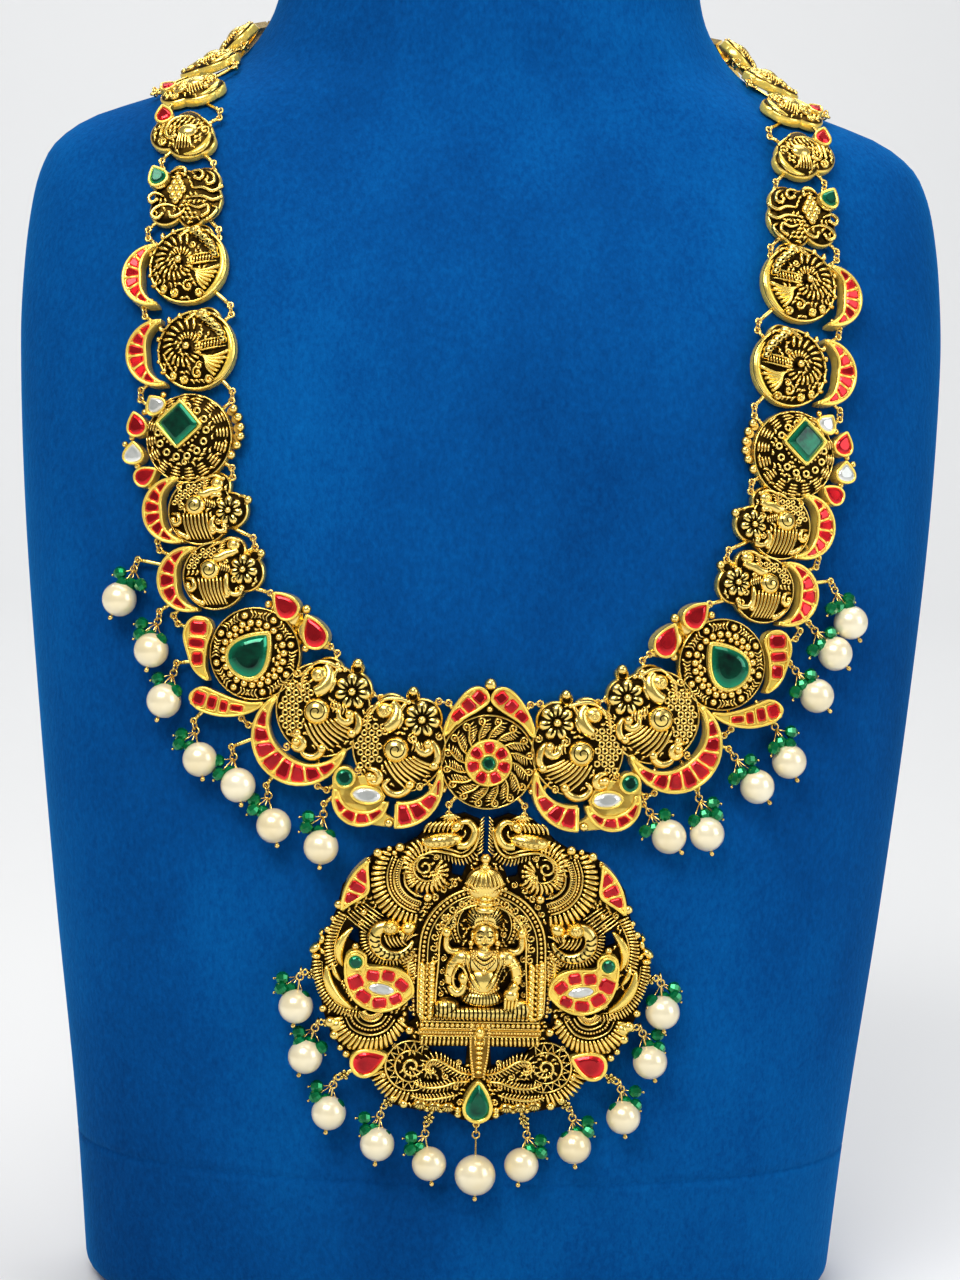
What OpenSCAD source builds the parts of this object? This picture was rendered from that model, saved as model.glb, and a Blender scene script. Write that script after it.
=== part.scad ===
// Kundan necklace of hinged gold links with a temple pendant, lying on a velvet neck bust.
// The bust stands on the XY plane and faces -Y, with its middle plane at X = 0.

/* [Bust] */
// Height of the neck bust
bust_h = 332; // [330:1:345]
// Roundness of the bust's level sections, 2 for an ellipse
bust_round = 2.3; // [2.2:0.1:2.4]
// Radius of the bust's top and bottom edges
bust_edge_r = 6; // [4:1:8]

/* [Metalwork] */
// Thickness of the flat back of a link
plate_t = 2; // [1.8:0.1:2.2]
// Height of the low relief above a link's back
relief_h = 1.2; // [0.9:0.1:1.5]
// Height of a stone setting above a link's back
setting_h = 1.5; // [1.3:0.1:1.8]
// Clear gap under a link
rest_gap = 0.4; // [0.3:0.1:0.6]
// Thickness of the pendant's back
pendant_t = 1.4; // [1.2:0.1:1.6]
// Mean diameter of a jump ring
ring_d = 2.2; // [2.1:0.1:2.4]
// Wire diameter of rings and headpins
wire_d = 0.45; // [0.4:0.05:0.5]

/* [Stones and pearls] */
// Diameter of a hanging pearl
pearl_d = 8; // [7.6:0.1:8.1]
// Diameter of the pearl under the pendant's tip
tip_pearl_d = 9.5; // [9:0.1:9.8]
// Height of a ruby
ruby_h = 1.1; // [0.9:0.1:1.3]
// Height of an emerald
emerald_h = 2.2; // [1.8:0.1:2.6]
// Play round a stone in its setting
stone_play = 0.12; // [0.1:0.01:0.15]

/* [Hidden] */
FRONT_LINKS = 13;
$fn = 48;

gold = "goldenrod";
ring_r = ring_d / 2;
wire_r = wire_d / 2;
eye_h = 2;                      // height of a ring's centre above the velvet
eye_r = 1;                      // outer radius of an eyelet
eye_hole_r = 0.5;
eye_t = 0.7;
ring_clear_r = ring_r + wire_r + 0.3;
loop_r = 0.8;                   // mean radius of a headpin's loop
loop_drop = ring_r + loop_r - wire_d - 0.15;
pearl_bore_r = wire_r + 0.13;
pearl_rest = 0.3;               // gap between a pearl and the velvet
pin_ball_r = 0.6;
sink = 0.5;                     // depth to which relief is set into its back

// Bust sections: height, half width, front depth, back depth
bust_rows = [
    [0, 92.5, 52, 46], [45, 96, 57, 48], [95, 101.5, 60, 50], [145, 106.5, 60, 52],
    [190, 110.5, 55, 54], [230, 112.5, 47, 56], [250, 112, 40, 56], [264, 110.5, 34, 56],
    [272, 108.5, 30, 56], [278, 105, 27, 55], [284, 96.5, 24, 54], [290, 80, 22, 54],
    [297, 64, 20, 54], [307, 55, 19, 54], [317, 51.5, 18, 54], [bust_h, 50.5, 18, 54]];
bust_sides = 40;

// Mathematics of the bust's surface
function unit(v) = v / norm(v);
function spow(v, e) = sign(v) * pow(abs(v), e);
function row_at(z, i = 0) = i >= len(bust_rows) - 2 || z < bust_rows[i + 1][0] ? i : row_at(z, i + 1);
function slope(i, c) =
    let (a = bust_rows[max(i - 1, 0)], b = bust_rows[min(i + 1, len(bust_rows) - 1)])
    (b[c] - a[c]) / (b[0] - a[0]);
function bust_col(z, c) =
    let (i = row_at(z), p = bust_rows[i], q = bust_rows[i + 1], h = q[0] - p[0], t = (z - p[0]) / h)
    (2 * t^3 - 3 * t^2 + 1) * p[c] + (t^3 - 2 * t^2 + t) * h * slope(i, c)
    + (3 * t^2 - 2 * t^3) * q[c] + (t^3 - t^2) * h * slope(i + 1, c);
function bust_pt(t, z, inset = 0) =
    let (w = bust_col(z, 1) - inset, f = bust_col(z, 2) - inset, b = bust_col(z, 3) - inset,
         e = 2 / bust_round)
    [w * spow(sin(t), e), (b - f) / 2 - (b + f) / 2 * spow(cos(t), e), z];
// Angle round the bust of the point x from the middle at height z, on the front
function turn_of(x, z) = sign(x) * asin(pow(abs(x) / bust_col(z, 1), bust_round / 2));
// Place on the surface: point, right, up and outward directions
function frame_at(t, z) =
    let (p = bust_pt(t, z), a = bust_pt(t + 1, z) - bust_pt(t - 1, z),
         b = bust_pt(t, z + 1) - bust_pt(t, z - 1), n = unit(cross(a, b)), u = unit(b - (b * n) * n))
    [p, cross(u, n), u, n];
function matrix(p, x, y, z) = [[x[0], y[0], z[0], p[0]], [x[1], y[1], z[1], p[1]], [x[2], y[2], z[2], p[2]]];
module on_surface(t, z, lift = 0, turn = 0) {
    f = frame_at(t, z);
    multmatrix(matrix(f[0] + lift * f[3], f[1], f[2], f[3])) rotate(turn) children();
}
// Copies the left side's geometry to the right side
module side(right) { if (right) mirror([1, 0, 0]) children(); else children(); }

// Stations of the left half from the clasp at the nape to the middle of the chest: turn, height
nape_at = [[-180, 307], [-170.7, 306.8], [-159.1, 306.5], [-146.2, 306.2], [-131.9, 305.5],
    [-116.4, 304.4], [-101.5, 302.8]];
front_xz = [[-71, 288], [-72.5, 277.5], [-71.5, 263.5], [-71, 247.5], [-68.5, 228.5], [-69, 208.5],
    [-67.3, 192.5], [-63.6, 178], [-53, 160.7], [-38.5, 147.8], [-21, 141], [0, 138]];
stations = concat(nape_at, [[-88, 300.5], [-74, 294.3]],
    [for (p = front_xz) [turn_of(p[0], p[1]), p[1]]]);
nape_n = len(nape_at) - 1;      // small links between the clasp and the first front link
disc_at = len(stations) - 1;
// The saddle between neck and shoulder lifts the small links a little more
saddle_lift = [1.2, 1.2, 1.2, 1.2, 1.2, 1.2, 1.4, 1.9, 1.3];
station_lift = [for (i = [0:disc_at]) i < len(saddle_lift) ? saddle_lift[i] : rest_gap];
function station_pt(i) = let (s = stations[i], f = frame_at(s[0], s[1])) f[0] + eye_h * f[3];
// Turn that points a link's own Y along the chain towards the nape
function heading(i) =
    let (f = frame_at(stations[i][0], stations[i][1]),
         d = station_pt(max(i - 1, 0)) - station_pt(min(i + 1, disc_at)))
    atan2(-d * f[1], d * f[2]);
// Upper links follow the chain's direction, and lower ones hang upright
function link_turn(i) = i < nape_n + 4 ? heading(i) : 0;

// Ring places between the station of that number and the next: [turn, height] each
function mid_joint(i, spread) =
    let (a = stations[i], b = stations[i + 1], t = (a[0] + b[0]) / 2, z = (a[1] + b[1]) / 2,
         f = frame_at(t, z), d = unit(station_pt(i) - station_pt(i + 1)), e = cross(d, f[3]))
    [for (s = spread == 0 ? [0] : [-spread, spread])
        [t + s * (e * f[1]) / norm(bust_pt(t + 0.5, z) - bust_pt(t - 0.5, z)), z + s * (e * f[2])]];
joint_xz = [
    [[-64.5, 282.6], [-77, 282.9]], [[-65.5, 270.3], [-77.5, 270.6]], [[-63.8, 255], [-80, 254.6]],
    [[-60.5, 237.8], [-80.2, 236.8]], [[-59.7, 218.5], [-80.5, 218]], [[-59.2, 201.3], [-80, 199]],
    [[-53.9, 185.8], [-75.5, 184]], [[-49.4, 173.6], [-71.2, 167.4]], [[-35.4, 162.3], [-55, 145.2]],
    [[-25.6, 152.3], [-37.3, 130.9]], [[-10.4, 151.3], [-11.4, 131.6]]];
joints = concat(
    [for (i = [0:nape_n]) mid_joint(i, 0)],
    [for (i = [nape_n + 1:nape_n + 2]) mid_joint(i, 4)],
    [for (j = joint_xz) [for (p = j) [turn_of(p[0], p[1]), p[1]]]]);

// Drops of one side: link number, ring x and height, pearl x and height
drops_left = [[10, -80.5, 179.5, -83, 171.3], [10, -75, 168, -75.6, 160.2],
    [11, -71, 156.5, -72.5, 149], [11, -66.3, 143.6, -64.2, 136.2], [12, -57.6, 138.2, -55.6, 130.9],
    [12, -49.6, 129.8, -47.5, 122.1], [13, -36.8, 126.2, -36.9, 117.7]];
drops_right = [[10, -79.4, 178.7, -82.8, 170.1], [10, -74.4, 169.3, -79.2, 163],
    [11, -70, 160.1, -75, 153.4], [11, -65.7, 147.5, -68.9, 138.4], [12, -56, 140.5, -61.5, 132.8],
    [12, -48.4, 131.3, -50.2, 122.1], [13, -36.5, 127.9, -41.4, 121.6]];
function drops(right) = right ? drops_right : drops_left;
// Drops of the pendant's left half: ring x and y on the pendant, pearl x and height on the bust
pendant_z = 90;
pendant_drops = [[-41.5, -1.5, -41.6, 80.3], [-37.5, -13.6, -39.2, 68.5], [-33.2, -27, -33.6, 55.3],
    [-22.2, -34, -22.5, 48.3], [-12, -38.3, -10.6, 43.9]];
tip_drop = [0, -38.4, 0, 41.6];
pendant_loop = [8.6, 37];
disc_loop_z = 127;

// Outlines
function arc(r, a0, a1, n) = [for (i = [0:n]) let (a = a0 + (a1 - a0) * i / n) r * [cos(a), sin(a)]];
function reversed(v) = [for (i = [len(v) - 1:-1:0]) v[i]];
// Crescent of outer radius r: k is 0 at one point, 0.5 at the widest place and 1 at the other point
slim_w = 4.8;                   // crescents slimmer than this keep blunt points
function crescent_depth(w, k) = let (tip = w < slim_w ? 0.42 : 0.16) w * (tip + (1 - tip) * sin(180 * k));
function crescent(r, a0, a1, w, k0 = 0, n = 12) = concat(arc(r, a0, a1, n),
    [for (i = [n:-1:0]) let (a = a0 + (a1 - a0) * i / n)
        (r - crescent_depth(w, k0 + (1 - k0) * i / n)) * [cos(a), sin(a)]]);
// Drop with its point up
function drop(l, w, n = 12) =
    [for (i = [0:n - 1]) let (a = 360 * i / n) [w * 0.6 * sin(a) * pow(sin(a / 2), 0.8), l / 2 * cos(a)]];
// Pointed leaf that leans by lean at its top
function leaf(l, w, lean = 0, n = 5) = concat(
    [for (i = [0:n]) [lean * pow(i / n, 2) - w / 2 * sin(180 * i / n), l * i / n]],
    [for (i = [n - 1:-1:1]) [lean * pow(i / n, 2) + w / 2 * sin(180 * i / n), l * i / n]]);
// Ribbed fan between two radii
function fan(r0, r1, a0, a1, ribs) = concat(
    [for (i = [0:ribs - 1]) let (s = (a1 - a0) / ribs, a = a0 + s * i)
        each [r1 * [cos(a + 0.12 * s), sin(a + 0.12 * s)], r1 * [cos(a + 0.68 * s), sin(a + 0.68 * s)],
              (r1 * 0.45 + r0 * 0.55) * [cos(a + 0.84 * s), sin(a + 0.84 * s)]]],
    reversed(arc(r0, a0, a1, max(3, floor(ribs / 2)))));
// Curl that winds in from radius r, narrowing as it goes
function curl(r, w, sweep, n = 9) =
    let (k = [for (i = [0:n])
        let (q = i / n, a = sweep * q, m = r * (1 - 0.62 * q), h = w / 2 * (1 - 0.45 * q))
        [(m + h) * [cos(a), sin(a)], (m - h) * [cos(a), sin(a)]]])
    concat([for (p = k) p[0]], [for (i = [n:-1:0]) k[i][1]]);
// Cell of a row of stones between two angles and two radii, with clipped corners
function cell(r0, r1, a0, a1, m = 0) =
    let (d0 = m / r0 * 180 / PI, c = 0.28,
         p = [[r0 + m, a0 + d0], [r1 - m, a0 + d0], [r1 - m, a1 - d0], [r0 + m, a1 - d0]])
    [for (i = [0:3]) let (a = p[i], b = p[(i + 1) % 4])
        each [(1 - c) * a + c * b, c * a + (1 - c) * b]];
function polar(v) = [for (p = v) p[0] * [cos(p[1]), sin(p[1])]];
function mean(v, i = 0) = i == len(v) - 1 ? v[i] / len(v) : v[i] / len(v) + mean(v, i + 1);

// A cut stone: flat back, girdle, a ring of facets and a table
module cut_stone(outline, h, table = 0.6) {
    n = len(outline);
    c = mean(outline);
    levels = [[1, 0], [1, 0.4 * h], [table, h]];
    pts = [for (l = levels) each [for (p = outline) let (q = c + l[0] * (p - c)) [q[0], q[1], l[1]]]];
    flip = shoelace(outline) > 0;
    walls = [for (k = [0:1]) each [for (i = [0:n - 1])
        let (a = k * n + i, b = k * n + (i + 1) % n, d = b + n, e = a + n) each [[a, e, d], [a, d, b]]]];
    caps = [[for (i = [0:n - 1]) i], [for (i = [n - 1:-1:0]) 2 * n + i]];
    polyhedron(pts, [for (f = concat(walls, caps)) flip ? f : reversed(f)]);
}
function shoelace(v, i = 0) = i == len(v) ? 0 :
    let (a = v[i], b = v[(i + 1) % len(v)]) a[0] * b[1] - a[1] * b[0] + shoelace(v, i + 1);

// Relief from the back up: each raised shape starts inside the back it stands on
module raised(h, base = plate_t) translate([0, 0, base - sink]) linear_extrude(h + sink) children();
module dome(r, h, base = plate_t) {
    big = (r * r + h * h) / (2 * h);
    fine = big > 12 ? 180 : 48;
    intersection() {
        translate([0, 0, base + h - big]) sphere(big, $fn = fine);
        translate([0, 0, base - 0.25]) cylinder(r = h < 0.5 * r ? r : big + 1, h = h + 1);
    }
}
module bead(r, base = plate_t) translate([0, 0, base + 0.3 * r]) sphere(r);
module at(x, y, turn = 0) translate([x, y, 0]) rotate(turn) children();
module blossom(r, petals, base = plate_t) {
    for (i = [0:petals - 1]) rotate(360 * i / petals + 90)
        translate([r * 0.62, 0, 0]) dome(r * 0.36, relief_h + 0.02 * i, base);
    dome(r * 0.3, relief_h + 0.3, base);
    raised(0.4, base) circle(r * 0.8);
}
// A row of stone pockets round an arc: radius of the outer edge, angles, width and number of stones
row_rim = 0.7;
row_wall = 0.55;
row_ends = 0.11;                // part of the crescent left plain at each point
function row_cells(r, a0, a1, w, n, k0 = 0, m = 0) = [for (i = [0:n - 1])
    let (first = k0 == 0 ? row_ends : 0.04, q0 = first + (1 - row_ends - first) * i / n,
         q1 = first + (1 - row_ends - first) * (i + 1) / n, wall = row_wall / r * 90 / PI,
         depth = min(crescent_depth(w, k0 + (1 - k0) * q0), crescent_depth(w, k0 + (1 - k0) * q1)))
    polar(cell(r - depth + row_rim, r - row_rim, a0 + (a1 - a0) * q0 + wall,
        a0 + (a1 - a0) * q1 - wall, m))];
module stone_row(r, a0, a1, w, n, k0 = 0) difference() {
    raised(setting_h) polygon(crescent(r, a0, a1, w, k0));
    for (c = row_cells(r, a0, a1, w, n, k0)) translate([0, 0, plate_t + setting_h - ruby_h + 0.3])
        linear_extrude(ruby_h) polygon(c);
}
module row_stones(r, a0, a1, w, n, k0 = 0) for (c = row_cells(r, a0, a1, w, n, k0, stone_play))
    translate([0, 0, plate_t + setting_h - ruby_h + 0.3 + stone_play]) cut_stone(c, ruby_h);
// A drop-shaped setting and the outline of its stone
module drop_setting(l, w, base = plate_t) difference() {
    raised(setting_h, base) polygon(drop(l, w));
    translate([0, 0, base + setting_h - ruby_h + 0.3]) linear_extrude(ruby_h) polygon(drop(l - 2.6, w - 2.2));
}
module drop_stone(l, w, base = plate_t)
    translate([0, 0, base + setting_h - ruby_h + 0.3 + stone_play])
        cut_stone(drop(l - 2.6 - 2.5 * stone_play, w - 2.2 - 2 * stone_play), ruby_h);

// Eyelet for a ring centred at c, reaching towards the point to
module eyelet(c, n, out, to, reach) {
    e = c + ring_r * out;
    x = unit(to - e - ((to - e) * n) * n);
    difference() {
        union() {
            multmatrix(matrix(e, x, cross(n, x), n)) cylinder(r = eye_r, h = eye_t, center = true);
            multmatrix(matrix(e, x, cross(n, x), n)) translate([0.3, -0.5, -eye_t * 0.45])
                cube([reach, 1, eye_t * 0.9]);
        }
        multmatrix(matrix(e, x, cross(n, x), n)) cylinder(r = eye_hole_r, h = 3, center = true);
    }
}
module ring_room(c, n) {
    x = unit(cross([0, 0.3, 1], n));
    multmatrix(matrix(c, x, cross(n, x), n)) cylinder(r = ring_clear_r, h = 12, center = true);
}
function joint_c(p) = let (f = frame_at(p[0], p[1])) f[0] + eye_h * f[3];
function joint_n(p) = frame_at(p[0], p[1])[3];
function joint_dir(i, p) =
    let (n = joint_n(p), d = station_pt(i) - station_pt(i + 1)) unit(d - (d * n) * n);
// Drop ring: centre, outward normal and direction towards its pearl
function spot(x, z, h) = let (f = frame_at(turn_of(x, z), z)) f[0] + h * f[3];
function tangent(d, n) = unit(d - (d * n) * n);

// All eyelets of the station i, and the room that its rings need
module station_eyelets(i) {
    c = station_pt(i);
    if (i > 0) for (p = joints[i - 1])
        eyelet(joint_c(p), joint_n(p), -joint_dir(i - 1, p), c, 0.5 * norm(joint_c(p) - c));
    if (i < disc_at) for (p = joints[i])
        eyelet(joint_c(p), joint_n(p), joint_dir(i, p), c, 0.5 * norm(joint_c(p) - c));
}
module station_room(i) {
    if (i > 0) for (p = joints[i - 1]) ring_room(joint_c(p), joint_n(p));
    if (i < disc_at) for (p = joints[i]) ring_room(joint_c(p), joint_n(p));
}
module drop_eyelets(i, right) for (d = drops(right)) if (d[0] == i) {
    c = spot(d[1], d[2], eye_h);
    n = frame_at(turn_of(d[1], d[2]), d[2])[3];
    to = station_pt(i + nape_n);
    eyelet(c, n, -tangent(spot(d[3], d[4], eye_h) - c, n), to, 0.5 * norm(to - c));
}
module drop_room(i, right) for (d = drops(right)) if (d[0] == i)
    ring_room(spot(d[1], d[2], eye_h), frame_at(turn_of(d[1], d[2]), d[2])[3]);

// Round lobes of the flat backs: link number, x, y, radius; number 14 is the centre disc
disc_r = 11.3;
disc_eyelets = [[-9.3, 13.1], [-10.3, -6.6]];
lobes = [
    [6, 0.6, 0, 9.4], [6, 3, 6.6, 3.4], [7, 0.6, 0, 9.4], [7, 3, 6.6, 3.4],
    [8, 0, 0, 10.4], [8, -10.3, 1, 3.4], [8, -9, -5, 3.4],
    [9, 1.3, -0.3, 7.8], [9, 8.6, 0.1, 4.6], [9, 5.8, 5, 3.2], [9, 11.1, 1.6, 1.7],
    [10, 1.3, -0.3, 7.8], [10, 8.6, 0.1, 4.6], [10, 5.8, 5, 3.2], [10, 10.8, 3.9, 1.7],
    [11, 0, 0, 10.7], [11, 8, 9, 3.6], [11, 12.6, 4.8, 3.6], [11, -12.4, 4, 4], [11, -10.4, -10, 4],
    [12, 1, 1, 11.4], [12, 3.4, 8.4, 3.6], [12, 7.9, 9.9, 1.7],
    [13, 1, -0.3, 10.7], [13, 3.4, 8.4, 3.6], [13, 3.5, 11.1, 1.7], [13, -7.9, -11.8, 6.2],
    [13, -11.5, -7, 2.6], [14, 0, 0, disc_r]];
module lobed_back(i) linear_extrude(plate_t) union() for (b = lobes) if (b[0] == i)
    at(b[1], b[2]) circle(b[3]);
// Links that leave room for a neighbour's lobes: link number, neighbour's number
gives_way = [[13, 14], [12, 13], [12, 11], [10, 11], [10, 9], [9, 8], [7, 8]];
neighbour_gap = 0.4;
module lobe_room(x, y, r) at(x, y) translate([0, 0, -3]) cylinder(r = r + neighbour_gap, h = 12);
module neighbours_room(i) {
    for (g = gives_way) if (g[0] == i) on_link(g[1])
        for (b = lobes) if (b[0] == g[1]) lobe_room(b[1], b[2], b[3]);
    if (i == FRONT_LINKS) on_link(i + 1) {
        lobe_room(wing_row[0], wing_row[1], wing_row[2]);
        for (e = disc_eyelets) lobe_room(e[0], e[1], eye_r + 0.2);
    }
}
// Crescent rows by link number: x, y, outer radius, first and last angle, width, stones
link_rows = [
    [6, -7.4, -2.5, 7.6, 88, 282, 5, 6], [7, -8.2, -0.5, 7.9, 86, 284, 5.2, 6],
    [9, -4.7, 0, 7.7, 82, 286, 5, 6], [10, -4.8, -0.9, 7.6, 76, 286, 5, 5],
    [12, -4.2, -5.3, 11.2, 119, 346, 6.3, 8]];
// Balls, flowers and heads of the peacock links: number, kind, x, y, radius
link_marks = [
    [9, "ball", 0.6, 0.9, 2.6], [9, "flower", 8.3, -0.5, 3.1], [9, "head", 6, 6, 1.9],
    [9, "bead", 12.6, 1.8, 1],
    [10, "ball", 0.5, 1, 2.6], [10, "flower", 8.2, 0.8, 3.1], [10, "head", 6, 7, 1.9],
    [10, "bead", 12.3, 4.4, 1],
    [12, "ball", 0, 0.6, 3.1], [12, "flower", 8, 5, 4], [12, "head", 0.4, 9.2, 2.2],
    [12, "bead", 9, 11.3, 1.1],
    [13, "ball", 0.2, -0.5, 3.05], [13, "flower", 6, 6.3, 4], [13, "head", -2.4, 8.3, 2.1],
    [13, "bead", 4, 12.6, 1.1]];
module link_mark(kind, r) {
    if (kind == "ball") { dome(r * 1.15, relief_h + 1, plate_t); dome(r * 0.5, relief_h + 1.35, plate_t); }
    if (kind == "flower") blossom(r, 7);
    if (kind == "head") { dome(r, relief_h + 0.4); dome(r * 0.4, relief_h + 0.8); }
    if (kind == "bead") bead(r, plate_t * 0.6);
}

// Small chased link with a bird's body, a ribbed wing and a neck
module small_link(w, l) {
    linear_extrude(plate_t) union() {
        at(0.1 * w, 0) circle(0.5 * l);
        at(-0.22 * w, -0.1 * l) circle(0.4 * l);
        at(0.3 * w, 0) circle(0.3 * l);
        at(-0.05 * w, 0.25 * l) circle(0.32 * l);
    }
    at(w * 0.12, -0.3) dome(l * 0.34, relief_h + 0.9);
    at(w * 0.1, l * 0.1, -70) raised(relief_h) polygon(fan(w * 0.12, w * 0.38, -50, 50, 6));
    at(-w * 0.2, -l * 0.05, 140) raised(relief_h * 0.8) polygon(curl(w * 0.2, 1.3, 260));
    at(w * 0.02, l * 0.38) dome(1.5, relief_h + 0.4);
}
module link_upper(i) {
    small_link(i == 1 ? 12.4 : 13 + 0.9 * i, 11.2);
    if (i >= 3) at(-7.2, 3.4, 40) { linear_extrude(plate_t) circle(2.5); drop_setting(5.2, 4.6); }
}
module link_scroll() {
    linear_extrude(plate_t) polygon([
        [-8, 5.5], [-4, 6.4], [2, 6.6], [7, 4.5], [9, 0], [8, -5.5], [3, -7.4], [-4, -7.6],
        [-8.5, -5], [-9.2, 0]]);
    at(-7.2, 4.4, 30) { linear_extrude(plate_t) circle(2.5); drop_setting(5.6, 5); }
    at(0.5, 1.5) dome(3.2, relief_h + 0.7);
    at(-3, -5) dome(2.2, relief_h + 0.2);
    at(3, -5.2) dome(2.1, relief_h + 0.25);
    for (s = [[-5.5, -1.5, 200], [4.6, 3.6, 20], [5.6, -1.6, -60], [-1.6, 5.2, 100]])
        at(s[0], s[1], s[2]) raised(relief_h + s[0] * 0.01) polygon(curl(2, 0.9, 260));
}
module link_crescent(i) {
    lobed_back(i);
    at(3.6, -0.6) dome(5.6, 1.5);
    at(-0.6, -0.4) raised(relief_h) polygon(fan(3.2, 6.6, 60, 300, 16));
    at(-0.8, -0.4) raised(relief_h + 0.25) polygon(curl(3.4, 1.3, 330));
    at(-0.2, 0) raised(relief_h + 0.1) polygon(fan(3.9, 7.6, -78, -22, 5));
    at(3.4, 2.4, 50) raised(relief_h + 0.5) polygon(leaf(6.2, 3.6));
    at(3, 6.4) dome(2, relief_h + 0.9);
    at(6.4, -1) dome(3, 0.9);
    at(3.4, -5.4) dome(2, relief_h + 0.3);
}
module link_flower(i) {
    lobed_back(i);
    k = i >= 12 ? 1.22 : 1;
    at(0.6, -0.5) raised(relief_h) polygon(fan(3.1 * k, 6.4 * k, -100, -28, 7));
    at(-0.2, 0) raised(relief_h * 0.8) polygon(fan(4.4 * k, 6.6 * k, 100, 215, 9));
    at(-3.2 * k, -4.4 * k, 200) raised(relief_h * 0.9) polygon(curl(1.7 * k, 0.9, 250));
    for (m = link_marks) if (m[0] == i) at(m[2], m[3]) link_mark(m[1], m[4]);
}
// Bird-shaped setting and crescent under link 13: x, y, radius, angles, width, stones, first k
foot_rows = [[-7.9, -11.8, 6.6, 160, 352, 3.9, 4, 0], [0.6, -8.2, 10.5, 266, 378, 6.2, 4, 0.5]];
foot_head = [-11.5, -7, 2.5];
foot_eye = [-6.5, -11, 84];
module link_foot() {
    for (r = foot_rows) at(r[0], r[1]) {
        linear_extrude(plate_t) polygon(crescent(r[2] - 0.08, r[3] + 1, r[4] - 1, r[5] - 0.2, r[7]));
        stone_row(r[2], r[3], r[4], r[5], r[6], r[7]);
    }
    at(foot_head[0], foot_head[1]) difference() {
        raised(setting_h + 0.03) circle(foot_head[2]);
        translate([0, 0, plate_t + setting_h - ruby_h + 0.3]) linear_extrude(3) circle(1.3);
    }
    at(foot_eye[0], foot_eye[1], foot_eye[2]) difference() {
        raised(setting_h + 0.06) polygon(leaf_centred(7.4, 4.4));
        translate([0, 0, plate_t + setting_h - ruby_h + 0.3]) linear_extrude(3) polygon(leaf_centred(5, 2.6));
    }
}

// Square emerald of the upper disc, turned on its corner
disc_gem = [-1.5, 3.3, 42];
square_a = 7.4;
function clipped_square(a, c) = [for (i = [0:3]) let (r = 90 * i)
    each [for (p = [[a / 2, -a / 2 + c], [a / 2, a / 2 - c]])
        [p[0] * cos(r) - p[1] * sin(r), p[0] * sin(r) + p[1] * cos(r)]]];
module link_disc() {
    lobed_back(8);
    dome(10, 1.1);
    at(disc_gem[0], disc_gem[1], disc_gem[2]) difference() {
        raised(3) square(square_a + 1.6, center = true);
        translate([0, 0, plate_t + 1.6]) linear_extrude(3) polygon(clipped_square(square_a, 0.5));
    }
    for (i = [0:15]) rotate(22.5 * i + 8) translate([8.7, 0, 0]) dome(1.25, relief_h + 0.3);
    for (i = [0:5]) let (a = -38 + 14.5 * i) at(10.9 * cos(a), 10.9 * sin(a)) bead(0.95, plate_t * 0.55);
    for (s = disc_edge) at(s[1], s[2], s[3]) drop_setting(s[4], s[5]);
}
// Settings on the upper disc's outer edge: stone, x, y, turn, length, width
disc_edge = [["ruby", -12.3, 4.4, 15, 6.2, 5.2], ["white", -13.1, -2.1, 0, 6, 5.4],
    ["ruby", -9.8, -7.4, -60, 6, 4.8]];

pear_gem = [-0.4, 0.2, -42];
pear_l = 9.6;
pear_w = 7.6;
// Settings on the lower disc's inner edge: x, y, turn, length, width
pear_edge = [[7.4, 11, 40, 7.8, 6.2], [14, 4.8, 22, 8.6, 6.4]];
module link_pear_disc() {
    lobed_back(11);
    dome(10.3, 1);
    at(pear_gem[0], pear_gem[1], pear_gem[2]) difference() {
        raised(2.6) polygon(drop(pear_l + 3, pear_w + 2.6, 24));
        translate([0, 0, plate_t + 1.3]) linear_extrude(3) polygon(drop(pear_l, pear_w, 24));
    }
    for (i = [0:17]) rotate(20 * i) translate([7.1, 0, 0]) bead(0.72, plate_t + 0.9);
    for (i = [0:7]) rotate(45 * i + 20) translate([9.1, 0, 0]) dome(1.3, relief_h + 0.3);
    for (s = pear_edge) at(s[0], s[1], s[2]) drop_setting(s[3], s[4]);
    for (s = pear_rows) at(s[0], s[1]) stone_row(s[2], s[3], s[4], s[5], s[6]);
}
// Three-stone and four-stone rows on the lower disc's outer edge
pear_rows = [[-3.6, 1.4, 13.2, 142, 206, 4.2, 3], [-3.2, -1.8, 14.6, 212, 268, 4.2, 4]];

module link_body(i) {
    if (i <= 4) link_upper(i);
    if (i == 5) link_scroll();
    if (i == 6 || i == 7) link_crescent(i);
    if (i == 8) link_disc();
    if (i == 9 || i == 10 || i == 12) link_flower(i);
    if (i == 11) link_pear_disc();
    if (i == 13) { link_flower(13); link_foot(); }
    for (r = link_rows) if (r[0] == i) at(r[1], r[2]) {
        linear_extrude(plate_t) union() {
            polygon(crescent(r[3], r[4], r[5], r[6]));
            for (k = [0.14, 0.86]) rotate(r[4] + (r[5] - r[4]) * k)
                translate([r[3] - crescent_depth(r[6], k) - 2.4, -0.8]) square([3, 1.6]);
        }
        stone_row(r[3], r[4], r[5], r[6], r[7]);
    }
}
module placed_link(i, right) color(gold) side(right) {
    s = stations[i + nape_n];
    difference() {
        on_surface(s[0], s[1], station_lift[i + nape_n], link_turn(i + nape_n)) link_body(i);
        station_room(i + nape_n);
        drop_room(i, right);
        neighbours_room(i);
    }
    station_eyelets(i + nape_n);
    drop_eyelets(i, right);
}

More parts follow.
